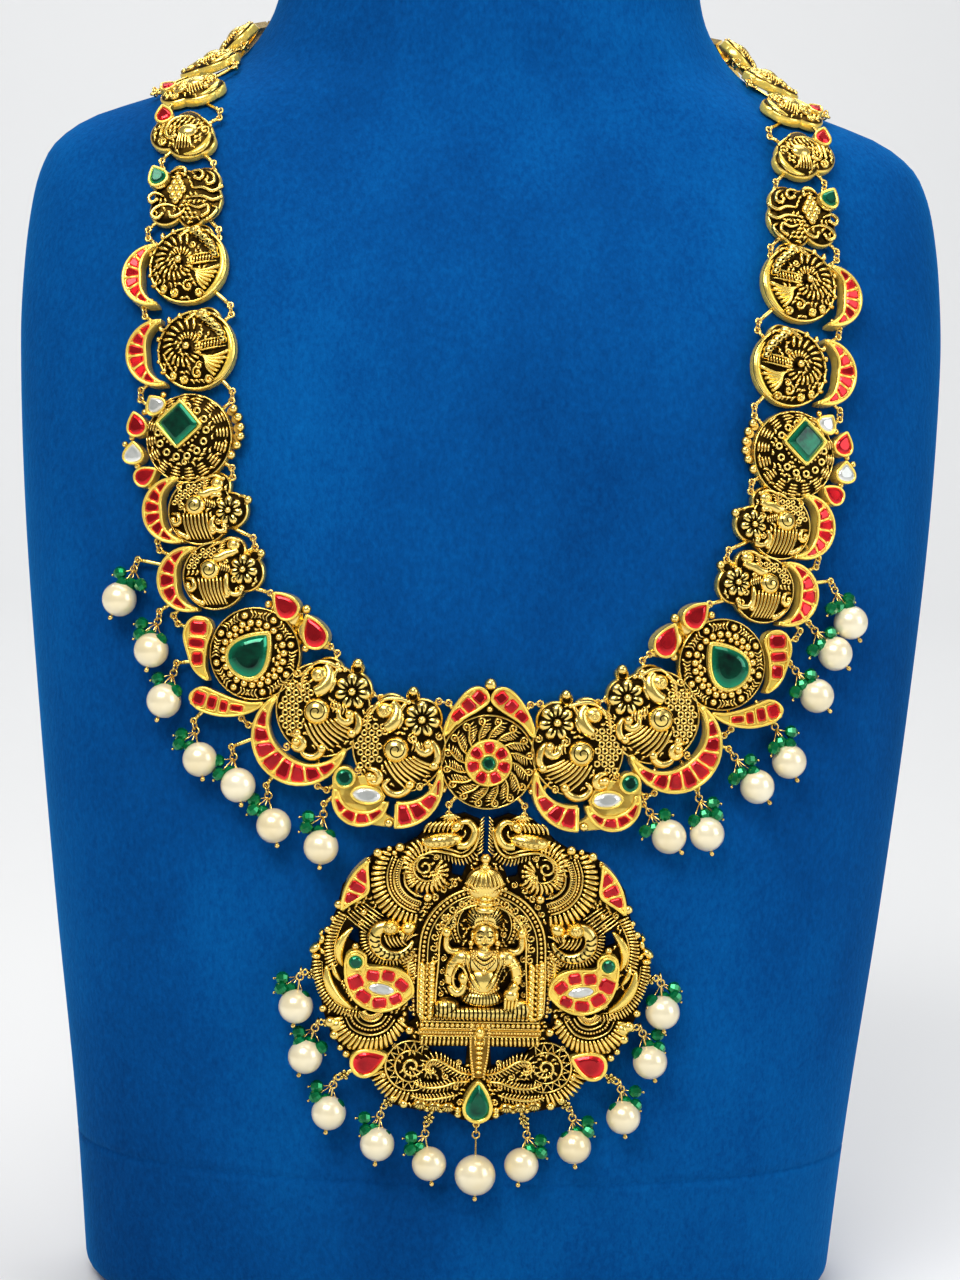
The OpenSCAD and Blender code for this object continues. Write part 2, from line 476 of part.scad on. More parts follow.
// Small plain links round the nape
module nape_links(right) color(gold) side(right) for (i = [1:nape_n]) {
    s = stations[i];
    difference() {
        on_surface(s[0], s[1], station_lift[i], link_turn(i)) {
            linear_extrude(plate_t) square([8.5 + 0.4 * i, 8], center = true);
            dome(3, relief_h);
        }
        station_room(i);
    }
    station_eyelets(i);
}
module clasp() color(gold) {
    difference() {
        on_surface(180, stations[0][1], station_lift[0]) {
            linear_extrude(plate_t + 0.8) square([12, 6], center = true);
            translate([0, 0, plate_t]) rotate([0, 90, 0]) cylinder(r = 2.1, h = 11, center = true);
        }
        for (s = [false, true]) side(s) station_room(0);
    }
    for (s = [false, true]) side(s) station_eyelets(0);
}

// Middle disc with a rosette, curled plumes and two ruby wings
rosette_r = 5.4;
module centre_disc() color(gold) {
    s = stations[disc_at];
    difference() {
        on_surface(s[0], s[1], rest_gap) {
            lobed_back(14);
            dome(disc_r - 0.3, 0.9);
            difference() {
                raised(2.4) circle(rosette_r);
                for (i = [0:6]) rotate(360 / 7 * i + 90) translate([0, 0, plate_t + 2.4 - ruby_h + 0.3])
                    linear_extrude(3) polygon(polar(cell(2.3, 4.7, -20, 20)));
                translate([0, 0, plate_t + 2.4 - ruby_h]) linear_extrude(3) circle(1.5);
            }
            for (i = [0:15]) rotate(22.5 * i) translate([disc_r - 4.9, 0, 0]) rotate(-100)
                raised(relief_h + 0.5 + 0.01 * i) polygon(leaf(4.6, 2.1, 1.4, 6));
            for (m = [false, true]) side(m) wing();
            at(0, 17.6) { linear_extrude(plate_t) circle(2); bead(1.4); }
        }
        for (m = [false, true]) side(m) { station_room(disc_at); loop_room(); }
    }
    for (m = [false, true]) side(m) {
        station_eyelets(disc_at);
        eyelet(loop_c(), loop_n(), loop_up(), station_pt(disc_at), 4);
    }
}
// One ruby wing that rises from the disc's shoulder to its apex: x, y, radius, angles, width, stones
wing_row = [2.6, 5.6, 13.3, 99, 180, 4.6, 3];
module wing() {
    linear_extrude(plate_t) polygon([[0, 10], [-7, 8.4], [-7, 12.4], [-1.8, 17.4], [0, 18.2]]);
    at(wing_row[0], wing_row[1]) {
        linear_extrude(plate_t) polygon(crescent(wing_row[2], wing_row[3], wing_row[4], wing_row[5]));
        stone_row(wing_row[2], wing_row[3], wing_row[4], wing_row[5], wing_row[6]);
    }
}
// Rings that carry the pendant
function loop_c() = spot(-pendant_loop[0], disc_loop_z, eye_h + 0.4);
function loop_n() = frame_at(turn_of(-pendant_loop[0], disc_loop_z), disc_loop_z)[3];
function loop_up() = tangent([0, 0, 1], loop_n());
module loop_room() ring_room(loop_c(), loop_n());

// Pendant: places on its flat back
pendant_lift = 0.6;
module on_pendant(x, y, turn = 0) {
    f = frame_at(0, pendant_z);
    multmatrix(matrix(f[0] + pendant_lift * f[3], f[1], f[2], f[3]))
        translate([x, y, 0]) rotate(turn) children();
}
function pendant_pt(x, y, h) =
    let (f = frame_at(0, pendant_z)) f[0] + (pendant_lift + h) * f[3] + x * f[1] + y * f[2];
function pendant_n() = frame_at(0, pendant_z)[3];

// Outline of the pendant's left half from the top middle to the bottom middle
pendant_edge = [[0, 24.5], [-2, 27], [-1, 34.8], [-5, 36.4], [-11, 35], [-15, 31], [-19, 28.5], [-24, 27.6],
    [-28, 24.5], [-32.4, 19], [-33.6, 13.6], [-35.2, 9], [-38.6, 4.4], [-39.2, -1], [-37, -6], [-36, -11],
    [-34.2, -16], [-31.5, -19.5], [-29.6, -22.5], [-26.5, -25.6], [-22.4, -28], [-19.4, -32.6], [-13, -34],
    [-6.5, -34.4], [-3.6, -36], [0, -36.4]];
// Closed outline from the points of its left half
function both_sides(v) = concat(v, [for (p = reversed(v)) if (p[0] < -0.01) [-p[0], p[1]]]);
// Pierced gaps of the left half
pendant_gaps = [
    [[-17.6, 23.6], [-16, 21], [-12.8, 17.4], [-14.4, 15.4], [-17.4, 19]],
    [[-17.8, 8], [-15.4, 8.4], [-15.6, 6.9], [-17.4, 6.6]],
    [[-15.2, -5], [-14.9, -12], [-16.4, -13], [-16.6, -8]],
    [[-2.6, -18.4], [-11.8, -18.6], [-13, -20.4], [-9, -20.2], [-5, -23], [-3, -23]],
    [[-27.8, 8.6], [-30.3, 9.8], [-30.6, 6.4], [-28.4, 5.4]],
    [[-33.4, 3.2], [-34.4, 0.2], [-33, -1.2]],
    [[-4, 25], [-9, 24.8], [-7.2, 22], [-5.2, 21.6]],
    [[-16.8, -14.9], [-15.8, -16.6], [-19.2, -19], [-21.6, -19.4], [-20.6, -17.4]]];

// Heights of the flat ornaments
relief_levels = [1.6, 2, 2.4];
// Raised ornament of the pendant's left half: kind, x, y, turn, size, second size, height
pendant_relief = [
    ["dome", -10.2, 29.3, 0, 4.2, 0, 2.6], ["curl", -5.6, 31.4, -60, 2.6, 1.6, 2.4],
    ["dome", -5.2, 32.4, 0, 1.7, 0, 2.8], ["curl", -11.8, 22.9, 160, 3.9, 1.3, 2],
    ["fan", -13.6, 24.8, 170, 3, 5.6, 1.6], ["leaf", -2.2, 27.4, 40, 7, 2.2, 1.6],
    ["leaf", -1.4, 31, 62, 6, 1.8, 2], ["dome", -11.9, 22.8, 0, 1.7, 0, 2.3],
    ["fan", -16.6, 20, 175, 5.8, 9.2, 2], ["curl", -17.2, 18.6, 150, 5, 1.1, 1.6],
    ["bead", -17.3, 9.9, 0, 1.9, 0, 2.1], ["bead", -24.6, 26.6, 0, 1, 0, 1.6],
    ["bead", -33.2, 14.8, 0, 1, 0, 1.6],
    ["bead", -19.8, 28.8, 0, 0.9, 0, 1.5], ["bead", -12.7, 16.6, 0, 1, 0, 1.5],
    ["dome", -21.8, 9.4, 0, 2.3, 0, 2.7], ["curl", -22.3, 6.4, 170, 4.6, 2.5, 2.4],
    ["leaf", -18, 3.4, -70, 5, 2.4, 1.6], ["leaf", -28.6, 7.6, 14, 7, 4.2, 1.6],
    ["curl", -32.6, 4.8, 100, 3.9, 2.2, 1.6], ["curl", -32.6, -4.2, 165, 4.4, 2.2, 2],
    ["leaf", -33.4, -0.2, -20, 6.6, 2.2, 2.4], ["leaf", -30.2, -9.4, 26, 6.8, 2.6, 2.4],
    ["fan", -25.4, -8.6, 262, 3.2, 8.6, 2], ["curl", -25.2, -7.6, 200, 5.6, 1, 1.6],
    ["bead", -15.4, -15, 0, 0.9, 0, 1.5], ["bead", -34.6, -13.4, 0, 1.3, 0, 1.7],
    ["fan", -15.3, -22.6, 100, 3, 5, 2], ["curl", -15.2, -22.8, 60, 2.4, 1.4, 2.4],
    ["curl", -8.4, -23.6, 30, 2.8, 1.7, 2.4], ["leaf", -1.4, -25.4, 62, 8, 2.6, 1.6],
    ["leaf", -2.4, -27.4, 84, 12, 2.4, 1.6], ["fan", -17.4, -26, 222, 2.6, 6.4, 1.6],
    ["dome", -12.4, -31.4, 0, 2, 0, 2.3], ["dome", -6.2, -31.6, 0, 2, 0, 2.2],
    ["bead", -16.8, -32.4, 0, 0.9, 0, 1.4], ["bead", -28.4, -16.8, 0, 1, 0, 1.6]];
module flat_ornament(kind, a, b) {
    if (kind == "curl") polygon(curl(a, b, 300));
    if (kind == "fan") polygon(fan(a, b, -58, 58, 7));
    if (kind == "leaf") polygon(leaf(a, b, 0.8));
}
module round_ornament(kind, a, h) {
    if (kind == "dome") dome(a, h, pendant_t);
    if (kind == "bead") bead(a, pendant_t);
}
module pendant_ornaments() {
    for (h = relief_levels) raised(h, pendant_t) union() for (m = [false, true]) side(m)
        for (r = pendant_relief) if (r[6] == h) at(r[1], r[2], r[3]) flat_ornament(r[0], r[4], r[5]);
    for (m = [false, true]) side(m) for (r = pendant_relief) at(r[1], r[2]) round_ornament(r[0], r[4], r[6]);
}
// Stone settings of the left half: kind, x, y, turn, length, width
pendant_settings = [["navette", -22.9, -4.9, 98, 15.6, 10], ["paisley", -28.9, 18.6, -24, 12, 6.2],
    ["cabochon", -28.9, 1.5, 0, 4.4, 4.4], ["drop", -25.3, -21.9, -68, 9, 7]];
navette_cells = 7;
module navette_outline(l, w) polygon([for (i = [0:15]) let (a = 22.5 * i)
    [w / 2 * spow(sin(a), 1.15), l / 2 * spow(cos(a), 0.9)]]);
function navette_cell(i, m = 0) =
    let (a = 360 / navette_cells * i + 12, s = 11, f = function(k, b) [k * 4.4 * sin(b), k * 6.9 * cos(b)],
         q = [f(0.56 + m / 5, a - s + 4 * m), f(0.86 - m / 5, a - s + 4 * m), f(0.86 - m / 5, a + s - 4 * m),
              f(0.56 + m / 5, a + s - 4 * m)])
    [for (j = [0:3]) each [0.75 * q[j] + 0.25 * q[(j + 1) % 4], 0.25 * q[j] + 0.75 * q[(j + 1) % 4]]];
setting_floor = pendant_t + setting_h - ruby_h + 0.8;
paisley_r = 14;
paisley_from = 150;
paisley_to = 206;
paisley_w = 5.6;
function paisley_cells(m = 0) = row_cells(paisley_r, paisley_from, paisley_to, paisley_w, 3, 0, m);
module pendant_setting(kind, l, w) {
    if (kind == "navette") raised(setting_h + 0.5, pendant_t) navette_outline(l, w);
    if (kind == "paisley") translate([paisley_r - 3, 0, 0]) raised(setting_h + 0.5, pendant_t)
        polygon(crescent(paisley_r, paisley_from, paisley_to, paisley_w));
    if (kind == "cabochon") raised(setting_h + 0.6, pendant_t) circle(l / 2);
    if (kind == "drop") raised(setting_h + 0.55, pendant_t) polygon(drop(l, w));
}
module pendant_pockets(kind, l, w) translate([0, 0, setting_floor]) {
    if (kind == "navette") {
        for (i = [0:navette_cells - 1]) linear_extrude(3) polygon(navette_cell(i));
        linear_extrude(3) polygon(leaf_centred(5, 2.2));
    }
    if (kind == "paisley") translate([paisley_r - 3, 0, 0]) for (c = paisley_cells())
        linear_extrude(3) polygon(c);
    if (kind == "cabochon") linear_extrude(3) circle(l / 2 - 0.9);
    if (kind == "drop") linear_extrude(3) polygon(drop(l - 3, w - 2.6));
}
function leaf_centred(l, w) = [for (p = leaf(l, w)) p - [0, l / 2]];
tip_gem = [0, -31];
tip_l = 7.6;
tip_w = 5;

// Shrine of the seated figure: arch, parasol, seat and tongue
arch_w = 14.4;
arch_top = 19.6;
arch_foot = -11.6;
function arch_outline(w, top) = concat([[-w, arch_foot]], [for (p = arc(w, 180, 0, 20)) p + [0, top - w]],
    [[w, arch_foot]]);
module limb(p, q, r1, r2) {
    d = q - p;
    x = unit(cross([0, 0, 1], d));
    multmatrix(matrix(p, x, unit(cross(d, x)), unit(d))) cylinder(r1 = r1, r2 = r2, h = norm(d));
}
module shrine() {
    base = pendant_t;
    difference() {
        raised(2.6, base) polygon(arch_outline(arch_w, arch_top));
        translate([0, -1, base]) linear_extrude(4) polygon(arch_outline(arch_w - 3, arch_top - 2));
        translate([0, 0, base + 1.9]) linear_extrude(3) difference() {
            polygon(arch_outline(arch_w - 1, arch_top - 1));
            polygon(arch_outline(arch_w - 2.2, arch_top - 2.2));
        }
    }
    for (m = [-1, 1]) translate([m * 14.2, -8.4, 0]) raised(2.2, base) polygon(leaf(14.5, 3.4, m * 0.6));
    translate([-13.4, -16.6, base - 0.3]) cube([26.8, 1.7, 3.4]);
    translate([-12.8, -15.1, base - 0.3]) cube([25.6, 1.6, 2.9]);
    translate([-13.2, -13.7, base - 0.3]) cube([26.4, 1.7, 3.5]);
    translate([-11.6, -12.1, base - 0.3]) cube([23.2, 2.6, 2.9]);
    parasol();
    figure();
    tongue();
}
module parasol() intersection() {
    translate([0, 19.8, 2]) rotate([-90, 0, 0]) union() {
        cylinder(r1 = 4.2, r2 = 3.2, h = 2);
        translate([0, 0, 1.9]) cylinder(r1 = 3.3, r2 = 0.9, h = 2.1);
        translate([0, 0, 5]) sphere(1.1);
    }
    translate([-6, 15, 0.5]) cube([12, 14, 10]);
}
// Joints of the seated figure's body: x, y, z, radius, mirrored or not
figure_x = 0.3;
figure_balls = [
    [0, 9.2, 4.2, 2.55, false], [0, 12.4, 3.1, 3.9, false], [3.9, 4.3, 3.3, 1.9, true],
    [7, -2.4, 3.4, 1.55, true], [7.9, 3.2, 2.6, 1.2, true], [8.9, 8.7, 2.9, 1.35, true],
    [9.2, -8, 3.5, 2.2, true], [0, -5.4, 3.5, 3.1, false], [-3.9, -2.1, 5, 1.35, false],
    [7.5, -6.4, 5.2, 1.3, false]];
// Limbs: start, end, radii, mirrored or not
figure_limbs = [
    [[0, -5, 3.4], [0, 4.2, 3.4], 2.7, 3.2, false], [[3.9, 4.3, 3.3], [7, -2.4, 3.4], 1.5, 1.25, true],
    [[3.6, 4.9, 2.8], [7.9, 3.2, 2.6], 1.1, 0.9, true], [[7.9, 3.2, 2.6], [8.9, 8.7, 2.9], 0.9, 0.8, true],
    [[-7, -2.4, 3.4], [-3.9, -2.1, 5], 1.2, 0.9, false], [[7, -2.4, 3.4], [7.5, -6.4, 5.2], 1.2, 0.9, false]];
legs_outline = [[-10.6, -9.8], [-10.2, -6.8], [-4.5, -5.2], [4.5, -5.2], [10.2, -6.8], [10.6, -9.8],
    [6, -11.2], [-6, -11.2]];
module figure() translate([figure_x, 0, 0]) intersection() {
    union() {
        for (b = figure_balls) for (m = b[4] ? [1, -1] : [1]) translate([m * b[0], b[1], b[2]]) sphere(b[3]);
        for (l = figure_limbs) for (m = l[4] ? [false, true] : [false]) side(m) limb(l[0], l[1], l[2], l[3]);
        translate([0, 14.6, 3.3]) rotate([-90, 0, 0]) cylinder(r1 = 2.5, r2 = 1, h = 4.2);
        translate([0, 3.4, 3.3]) rotate([-90, 0, 0]) cylinder(r = 1.3, h = 5);
        linear_extrude(4.4) polygon(legs_outline);
    }
    translate([-15, -12, 0.5]) cube([30, 32, 12]);
}
module tongue() {
    translate([-2.4, -25.2, pendant_t - 0.3]) cube([4.8, 12.6, 2.5]);
    intersection() {
        translate([0, -24.6, pendant_t + 1]) rotate([-90, 0, 0]) cylinder(r = 2.1, h = 12.3);
        translate([-4, -27, 0.5]) cube([8, 16, 9]);
    }
}
module pendant_back() linear_extrude(pendant_t) difference() {
    polygon(both_sides(pendant_edge));
    for (m = [false, true]) side(m) for (g = pendant_gaps) polygon(g);
}
module pendant() color(gold) {
    difference() {
        on_pendant(0, 0) {
            pendant_back();
            pendant_ornaments();
            for (m = [false, true]) side(m) for (s = pendant_settings)
                at(s[1], s[2], s[3]) pendant_setting(s[0], s[4], s[5]);
            shrine();
            at(tip_gem[0], tip_gem[1]) raised(2.6, pendant_t) polygon(drop(tip_l + 2.8, tip_w + 2.4, 24));
        }
        on_pendant(0, 0) {
            for (m = [false, true]) side(m) for (s = pendant_settings)
                at(s[1], s[2], s[3]) pendant_pockets(s[0], s[4], s[5]);
            at(tip_gem[0], tip_gem[1]) translate([0, 0, pendant_t + 1.4]) linear_extrude(4)
                polygon(drop(tip_l, tip_w, 24));
        }
        for (m = [false, true]) side(m) {
            loop_room();
            for (d = pendant_drops) ring_room(pendant_pt(d[0], d[1], 0.7), pendant_n());
        }
        ring_room(pendant_pt(tip_drop[0], tip_drop[1], 0.7), pendant_n());
    }
    for (m = [false, true]) side(m) {
        eyelet(loop_c(), loop_n(), -loop_up(), pendant_pt(-8.6, 30, 0.7), 4.4);
        for (d = pendant_drops) pendant_eyelet(d, pendant_pt(d[0] * 0.55, d[1] * 0.55 - 4, 0.7));
    }
    pendant_eyelet(tip_drop, pendant_pt(0, -30, 0.7));
}
module pendant_eyelet(d, to) {
    c = pendant_pt(d[0], d[1], 0.7);
    n = pendant_n();
    eyelet(c, n, -tangent(pearl_c(d) - c, n), to, 5);
}
function pearl_c(d) = spot(d[2], d[3], (d[0] == 0 ? tip_pearl_d : pearl_d) / 2 + pearl_rest);

// Rings
module ring(c, n, dir) multmatrix(matrix(c, dir, n, cross(dir, n)))
    rotate_extrude() translate([ring_r, 0]) circle(wire_r);
module rings(right) color(gold) side(right) {
    for (i = [0:disc_at - 1]) for (p = joints[i]) ring(joint_c(p), joint_n(p), joint_dir(i, p));
    for (d = drops(right)) {
        c = spot(d[1], d[2], eye_h);
        n = frame_at(turn_of(d[1], d[2]), d[2])[3];
        ring(c, n, tangent(spot(d[3], d[4], eye_h) - c, n));
    }
}
module rings_pendant() color(gold) {
    for (m = [false, true]) side(m) {
        ring(loop_c(), loop_n(), loop_up());
        for (d = pendant_drops) pendant_ring(d);
    }
    pendant_ring(tip_drop);
}
module pendant_ring(d) {
    c = pendant_pt(d[0], d[1], 0.7);
    n = pendant_n();
    ring(c, n, tangent(pearl_c(d) - c, n));
}

// Places its children at p with their Z along the line from c to p
module along(c, n, p) {
    d = unit(p - c);
    e = unit(cross(d, n));
    multmatrix(matrix(p, e, cross(d, e), d)) children();
}
// Headpin from the ring at c with outward normal n to the pearl at p of radius r
module headpin(c, n, p, r) {
    d = unit(p - c);
    e = unit(cross(d, n));
    l = c + loop_drop * d;
    far = norm(p - l) + r + 0.1 + pin_ball_r;
    multmatrix(matrix(l, d, e, cross(d, e))) {
        rotate_extrude() translate([loop_r, 0]) circle(wire_r);
        translate([loop_r * 0.98, 0, 0]) rotate([0, 90, 0]) cylinder(r = wire_r * 0.98, h = far - loop_r);
        translate([far, 0, 0]) sphere(pin_ball_r);
    }
}
module drilled_pearl(c, n, p, r) color("ivory") along(c, n, p) difference() {
    sphere(r);
    cylinder(r = pearl_bore_r, h = 2 * r + 2, center = true);
}
module side_drops(right, pearl) side(right) for (d = drops(right)) {
    c = spot(d[1], d[2], eye_h);
    n = frame_at(turn_of(d[1], d[2]), d[2])[3];
    p = spot(d[3], d[4], pearl_d / 2 + pearl_rest);
    if (pearl) drilled_pearl(c, n, p, pearl_d / 2); else headpin(c, n, p, pearl_d / 2);
}
module pendant_drop(d, pearl) {
    c = pendant_pt(d[0], d[1], 0.7);
    n = pendant_n();
    r = (d[0] == 0 ? tip_pearl_d : pearl_d) / 2;
    if (pearl) drilled_pearl(c, n, pearl_c(d), r); else headpin(c, n, pearl_c(d), r);
}
module pendant_pearls(pearl) {
    for (m = [false, true]) side(m) for (d = pendant_drops) pendant_drop(d, pearl);
    pendant_drop(tip_drop, pearl);
}

// Stones of the links
module on_link(i) {
    s = stations[i + nape_n];
    on_surface(s[0], s[1], station_lift[i + nape_n], link_turn(i + nape_n)) children();
}
module rubies(right) color("crimson") side(right) {
    for (r = link_rows) if (r[0] == 12) on_link(12) at(r[1], r[2]) row_stones(r[3], r[4], r[5], r[6], r[7]);
    on_link(11) for (s = pear_edge) at(s[0], s[1], s[2]) drop_stone(s[3], s[4]);
}
module rubies_centre() color("crimson") on_surface(stations[disc_at][0], stations[disc_at][1], rest_gap) {
    for (i = [0:6]) rotate(360 / 7 * i + 90) translate([0, 0, plate_t + 2.4 - ruby_h + 0.3 + stone_play])
        cut_stone(polar(cell(2.3, 4.7, -20, 20, stone_play)), ruby_h);
    for (m = [false, true]) side(m) at(wing_row[0], wing_row[1])
        row_stones(wing_row[2], wing_row[3], wing_row[4], wing_row[5], wing_row[6]);
}
module rubies_pendant() color("crimson") for (m = [false, true]) side(m) for (s = pendant_settings)
    on_pendant(s[1], s[2], s[3]) translate([0, 0, setting_floor + stone_play]) {
        if (s[0] == "navette") for (i = [0:navette_cells - 1]) cut_stone(navette_cell(i, stone_play), ruby_h);
        if (s[0] == "paisley") translate([paisley_r - 3, 0, 0]) for (c = paisley_cells(stone_play))
            cut_stone(c, ruby_h);
        if (s[0] == "drop") cut_stone(drop(s[4] - 3.3, s[5] - 2.9), ruby_h);
    }
module white_stones() color("white") for (m = [false, true]) side(m) {
    for (s = pendant_settings) if (s[0] == "navette") on_pendant(s[1], s[2], s[3])
        translate([0, 0, setting_floor + stone_play]) cut_stone(0.86 * leaf_centred(5, 2.2), ruby_h);
}
function ngon(r, n) = [for (i = [0:n - 1]) r * [cos(360 * i / n), sin(360 * i / n)]];
module emeralds_small() color("seagreen") for (m = [false, true]) side(m) {
    for (s = pendant_settings) if (s[0] == "cabochon") on_pendant(s[1], s[2], s[3])
        translate([0, 0, setting_floor + stone_play]) cut_stone(ngon(s[4] / 2 - 1.05, 10), ruby_h);
}
module emerald_disc(right) color("seagreen") side(right) on_link(8)
    at(disc_gem[0], disc_gem[1], disc_gem[2]) translate([0, 0, plate_t + 1.6 + stone_play])
        cut_stone(clipped_square(square_a - 2 * stone_play, 0.5), emerald_h, 0.62);
module emerald_pear(right) color("seagreen") side(right) on_link(11)
    at(pear_gem[0], pear_gem[1], pear_gem[2]) translate([0, 0, plate_t + 1.3 + stone_play])
        cut_stone(drop(pear_l - 0.4, pear_w - 0.3, 24), emerald_h, 0.55);
module emerald_pendant() color("seagreen") on_pendant(tip_gem[0], tip_gem[1])
    translate([0, 0, pendant_t + 1.4 + stone_play])
        cut_stone(drop(tip_l - 0.4, tip_w - 0.3, 24), emerald_h - 0.4, 0.55);
module emerald_centre() color("seagreen") on_surface(stations[disc_at][0], stations[disc_at][1], rest_gap)
    translate([0, 0, plate_t + 2.4 - ruby_h + stone_play]) cut_stone(ngon(1.35, 12), ruby_h + 0.5);

// Bust: level sections stacked up, with rounded top and bottom edges
module neck_bust() color("mediumblue") {
    e = bust_edge_r;
    low = [for (a = [0:22.5:90]) [e * (1 - cos(a)), e * (1 - sin(a))]];
    high = [for (a = [0:22.5:90]) [bust_h - e + e * sin(a), e * (1 - cos(a))]];
    body = concat([for (z = [18:16:242]) [z, 0]], [for (z = [250:5.5:322]) if (z < bust_h - e - 2) [z, 0]]);
    rings = concat(low, body, high);
    n = bust_sides;
    pts = [for (r = rings) each [for (j = [0:n - 1])
        bust_pt(360 * j / n, min(max(r[0], 0.001), bust_h - 0.001), r[1])]];
    top = (len(rings) - 1) * n;
    polyhedron(pts, concat(
        [for (k = [0:len(rings) - 2]) each [for (j = [0:n - 1])
            let (a = k * n + j, b = k * n + (j + 1) % n) each [[a, a + n, b + n], [a, b + n, b]]]],
        [[for (j = [0:n - 1]) j]], [[for (j = [n - 1:-1:0]) top + j]]));
}

neck_bust();
centre_disc();
pendant();
clasp();
nape_links(false);  // nape_links_left
nape_links(true);  // nape_links_right
for (i = [1:FRONT_LINKS]) {
    placed_link(i, false);
    placed_link(i, true);
}
emerald_disc(false);  // emerald_disc_left
emerald_disc(true);  // emerald_disc_right
emerald_pear(false);  // emerald_pear_left
emerald_pear(true);  // emerald_pear_right
emerald_pendant();
emerald_centre();
emeralds_small();
white_stones();
rubies(false);  // rubies_left
rubies(true);  // rubies_right
rubies_centre();
rubies_pendant();
rings(false);  // rings_left
rings(true);  // rings_right
rings_pendant();
color(gold) side_drops(false, false);  // pins_left
color(gold) side_drops(true, false);  // pins_right
color(gold) pendant_pearls(false);  // pins_pendant
side_drops(false, true);  // pearls_left
side_drops(true, true);  // pearls_right
pendant_pearls(true);  // pearls_pendant
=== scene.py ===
import bpy, bmesh, random
from math import asin, atan2, copysign, cos, degrees, dist, hypot, pi, radians, sin, sqrt
from mathutils import Matrix, Vector
from mathutils.bvhtree import BVHTree


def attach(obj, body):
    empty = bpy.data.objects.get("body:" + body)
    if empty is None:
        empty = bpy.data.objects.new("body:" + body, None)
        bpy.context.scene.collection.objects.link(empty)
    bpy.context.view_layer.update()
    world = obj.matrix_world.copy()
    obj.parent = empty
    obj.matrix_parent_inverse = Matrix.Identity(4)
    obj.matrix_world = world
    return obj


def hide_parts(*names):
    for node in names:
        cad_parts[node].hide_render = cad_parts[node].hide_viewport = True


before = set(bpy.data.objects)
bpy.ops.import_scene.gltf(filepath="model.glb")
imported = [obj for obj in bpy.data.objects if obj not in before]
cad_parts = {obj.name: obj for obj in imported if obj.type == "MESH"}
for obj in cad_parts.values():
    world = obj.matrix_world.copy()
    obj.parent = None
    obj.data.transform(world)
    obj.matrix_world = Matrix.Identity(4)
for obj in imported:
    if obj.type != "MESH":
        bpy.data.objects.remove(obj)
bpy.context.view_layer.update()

scene = bpy.context.scene
rng = random.Random(7)
mm = 0.001

# Bust surface, in millimetres: height, half width, front depth, back depth
bust = {
    "rows": [(0, 92.5, 52, 46), (45, 96, 57, 48), (95, 101.5, 60, 50), (145, 106.5, 60, 52),
        (190, 110.5, 55, 54), (230, 112.5, 47, 56), (250, 112, 40, 56), (264, 110.5, 34, 56),
        (272, 108.5, 30, 56), (278, 105, 27, 55), (284, 96.5, 24, 54), (290, 80, 22, 54), (297, 64, 20, 54),
        (307, 55, 19, 54), (317, 51.5, 18, 54), (332, 50.5, 18, 54)],
    "round": 2.3, "edge": 6, "around": 144, "step": 2.4, "seam": 37, "seamDeep": 0.5, "seamHalf": 0.7,
}


def bustCol(z, c):
    rows = bust["rows"]
    i = 0
    while i < len(rows) - 2 and z >= rows[i + 1][0]:
        i += 1

    def slope(k):
        a, b = rows[max(k - 1, 0)], rows[min(k + 1, len(rows) - 1)]
        return (b[c] - a[c]) / (b[0] - a[0])
    p, q = rows[i], rows[i + 1]
    h = q[0] - p[0]
    t = (z - p[0]) / h
    return ((2 * t**3 - 3 * t**2 + 1) * p[c] + (t**3 - 2 * t**2 + t) * h * slope(i)
        + (3 * t**2 - 2 * t**3) * q[c] + (t**3 - t**2) * h * slope(i + 1))


def power(v, e):
    return copysign(abs(v) ** e, v)


def bustPoint(turn, z, inset=0):  # a turn of 0 is the front, and the angles grow to the right
    w, f, b = (bustCol(z, c) - inset for c in (1, 2, 3))
    e = 2 / bust["round"]
    a = radians(turn)
    return Vector((w * power(sin(a), e), (b - f) / 2 - (b + f) / 2 * power(cos(a), e), z))


def turnOf(x, z):
    return copysign(degrees(asin((abs(x) / bustCol(z, 1)) ** (bust["round"] / 2))), x)


def inPlane(d, n):  # the part of a direction that lies in the plane with normal n
    return (d - d.dot(n) * n).normalized()


def frameAt(turn, z, lift=0, spin=0):  # a place on the velvet: right, up and outward as a matrix
    a = bustPoint(turn + 1, z) - bustPoint(turn - 1, z)
    b = bustPoint(turn, z + 1) - bustPoint(turn, z - 1)
    n = a.cross(b).normalized()
    u = inPlane(b, n)
    m = Matrix((u.cross(n), u, n)).transposed().to_4x4()
    m.translation = bustPoint(turn, z) + lift * n
    return m @ Matrix.Rotation(radians(spin), 4, "Z")


# Places of the links from the clasp to the centre disc
napeAt = [(-180, 307), (-170.7, 306.8), (-159.1, 306.5), (-146.2, 306.2), (-131.9, 305.5), (-116.4, 304.4),
    (-101.5, 302.8)]
frontAt = [(-71, 288), (-72.5, 277.5), (-71.5, 263.5), (-71, 247.5), (-68.5, 228.5), (-69, 208.5),
    (-67.3, 192.5), (-63.6, 178), (-53, 160.7), (-38.5, 147.8), (-21, 141), (0, 138)]
stations = napeAt + [(-88, 300.5), (-74, 294.3)] + [(turnOf(*p), p[1]) for p in frontAt]
saddleLift = [1.2, 1.2, 1.2, 1.2, 1.2, 1.2, 1.4, 1.9, 1.3]
napeCount = 6
eyeHeight = 2


def pinned(x, z, lift=eyeHeight):       # over a place on the velvet's left or right half
    return frameAt(turnOf(x, z), z, lift)


def stationPoint(i):
    return frameAt(*stations[i], eyeHeight).translation


def heading(i):
    f = frameAt(*stations[i])
    d = stationPoint(max(i - 1, 0)) - stationPoint(min(i + 1, len(stations) - 1))
    return degrees(atan2(-d.dot(f.col[0].xyz), d.dot(f.col[1].xyz)))


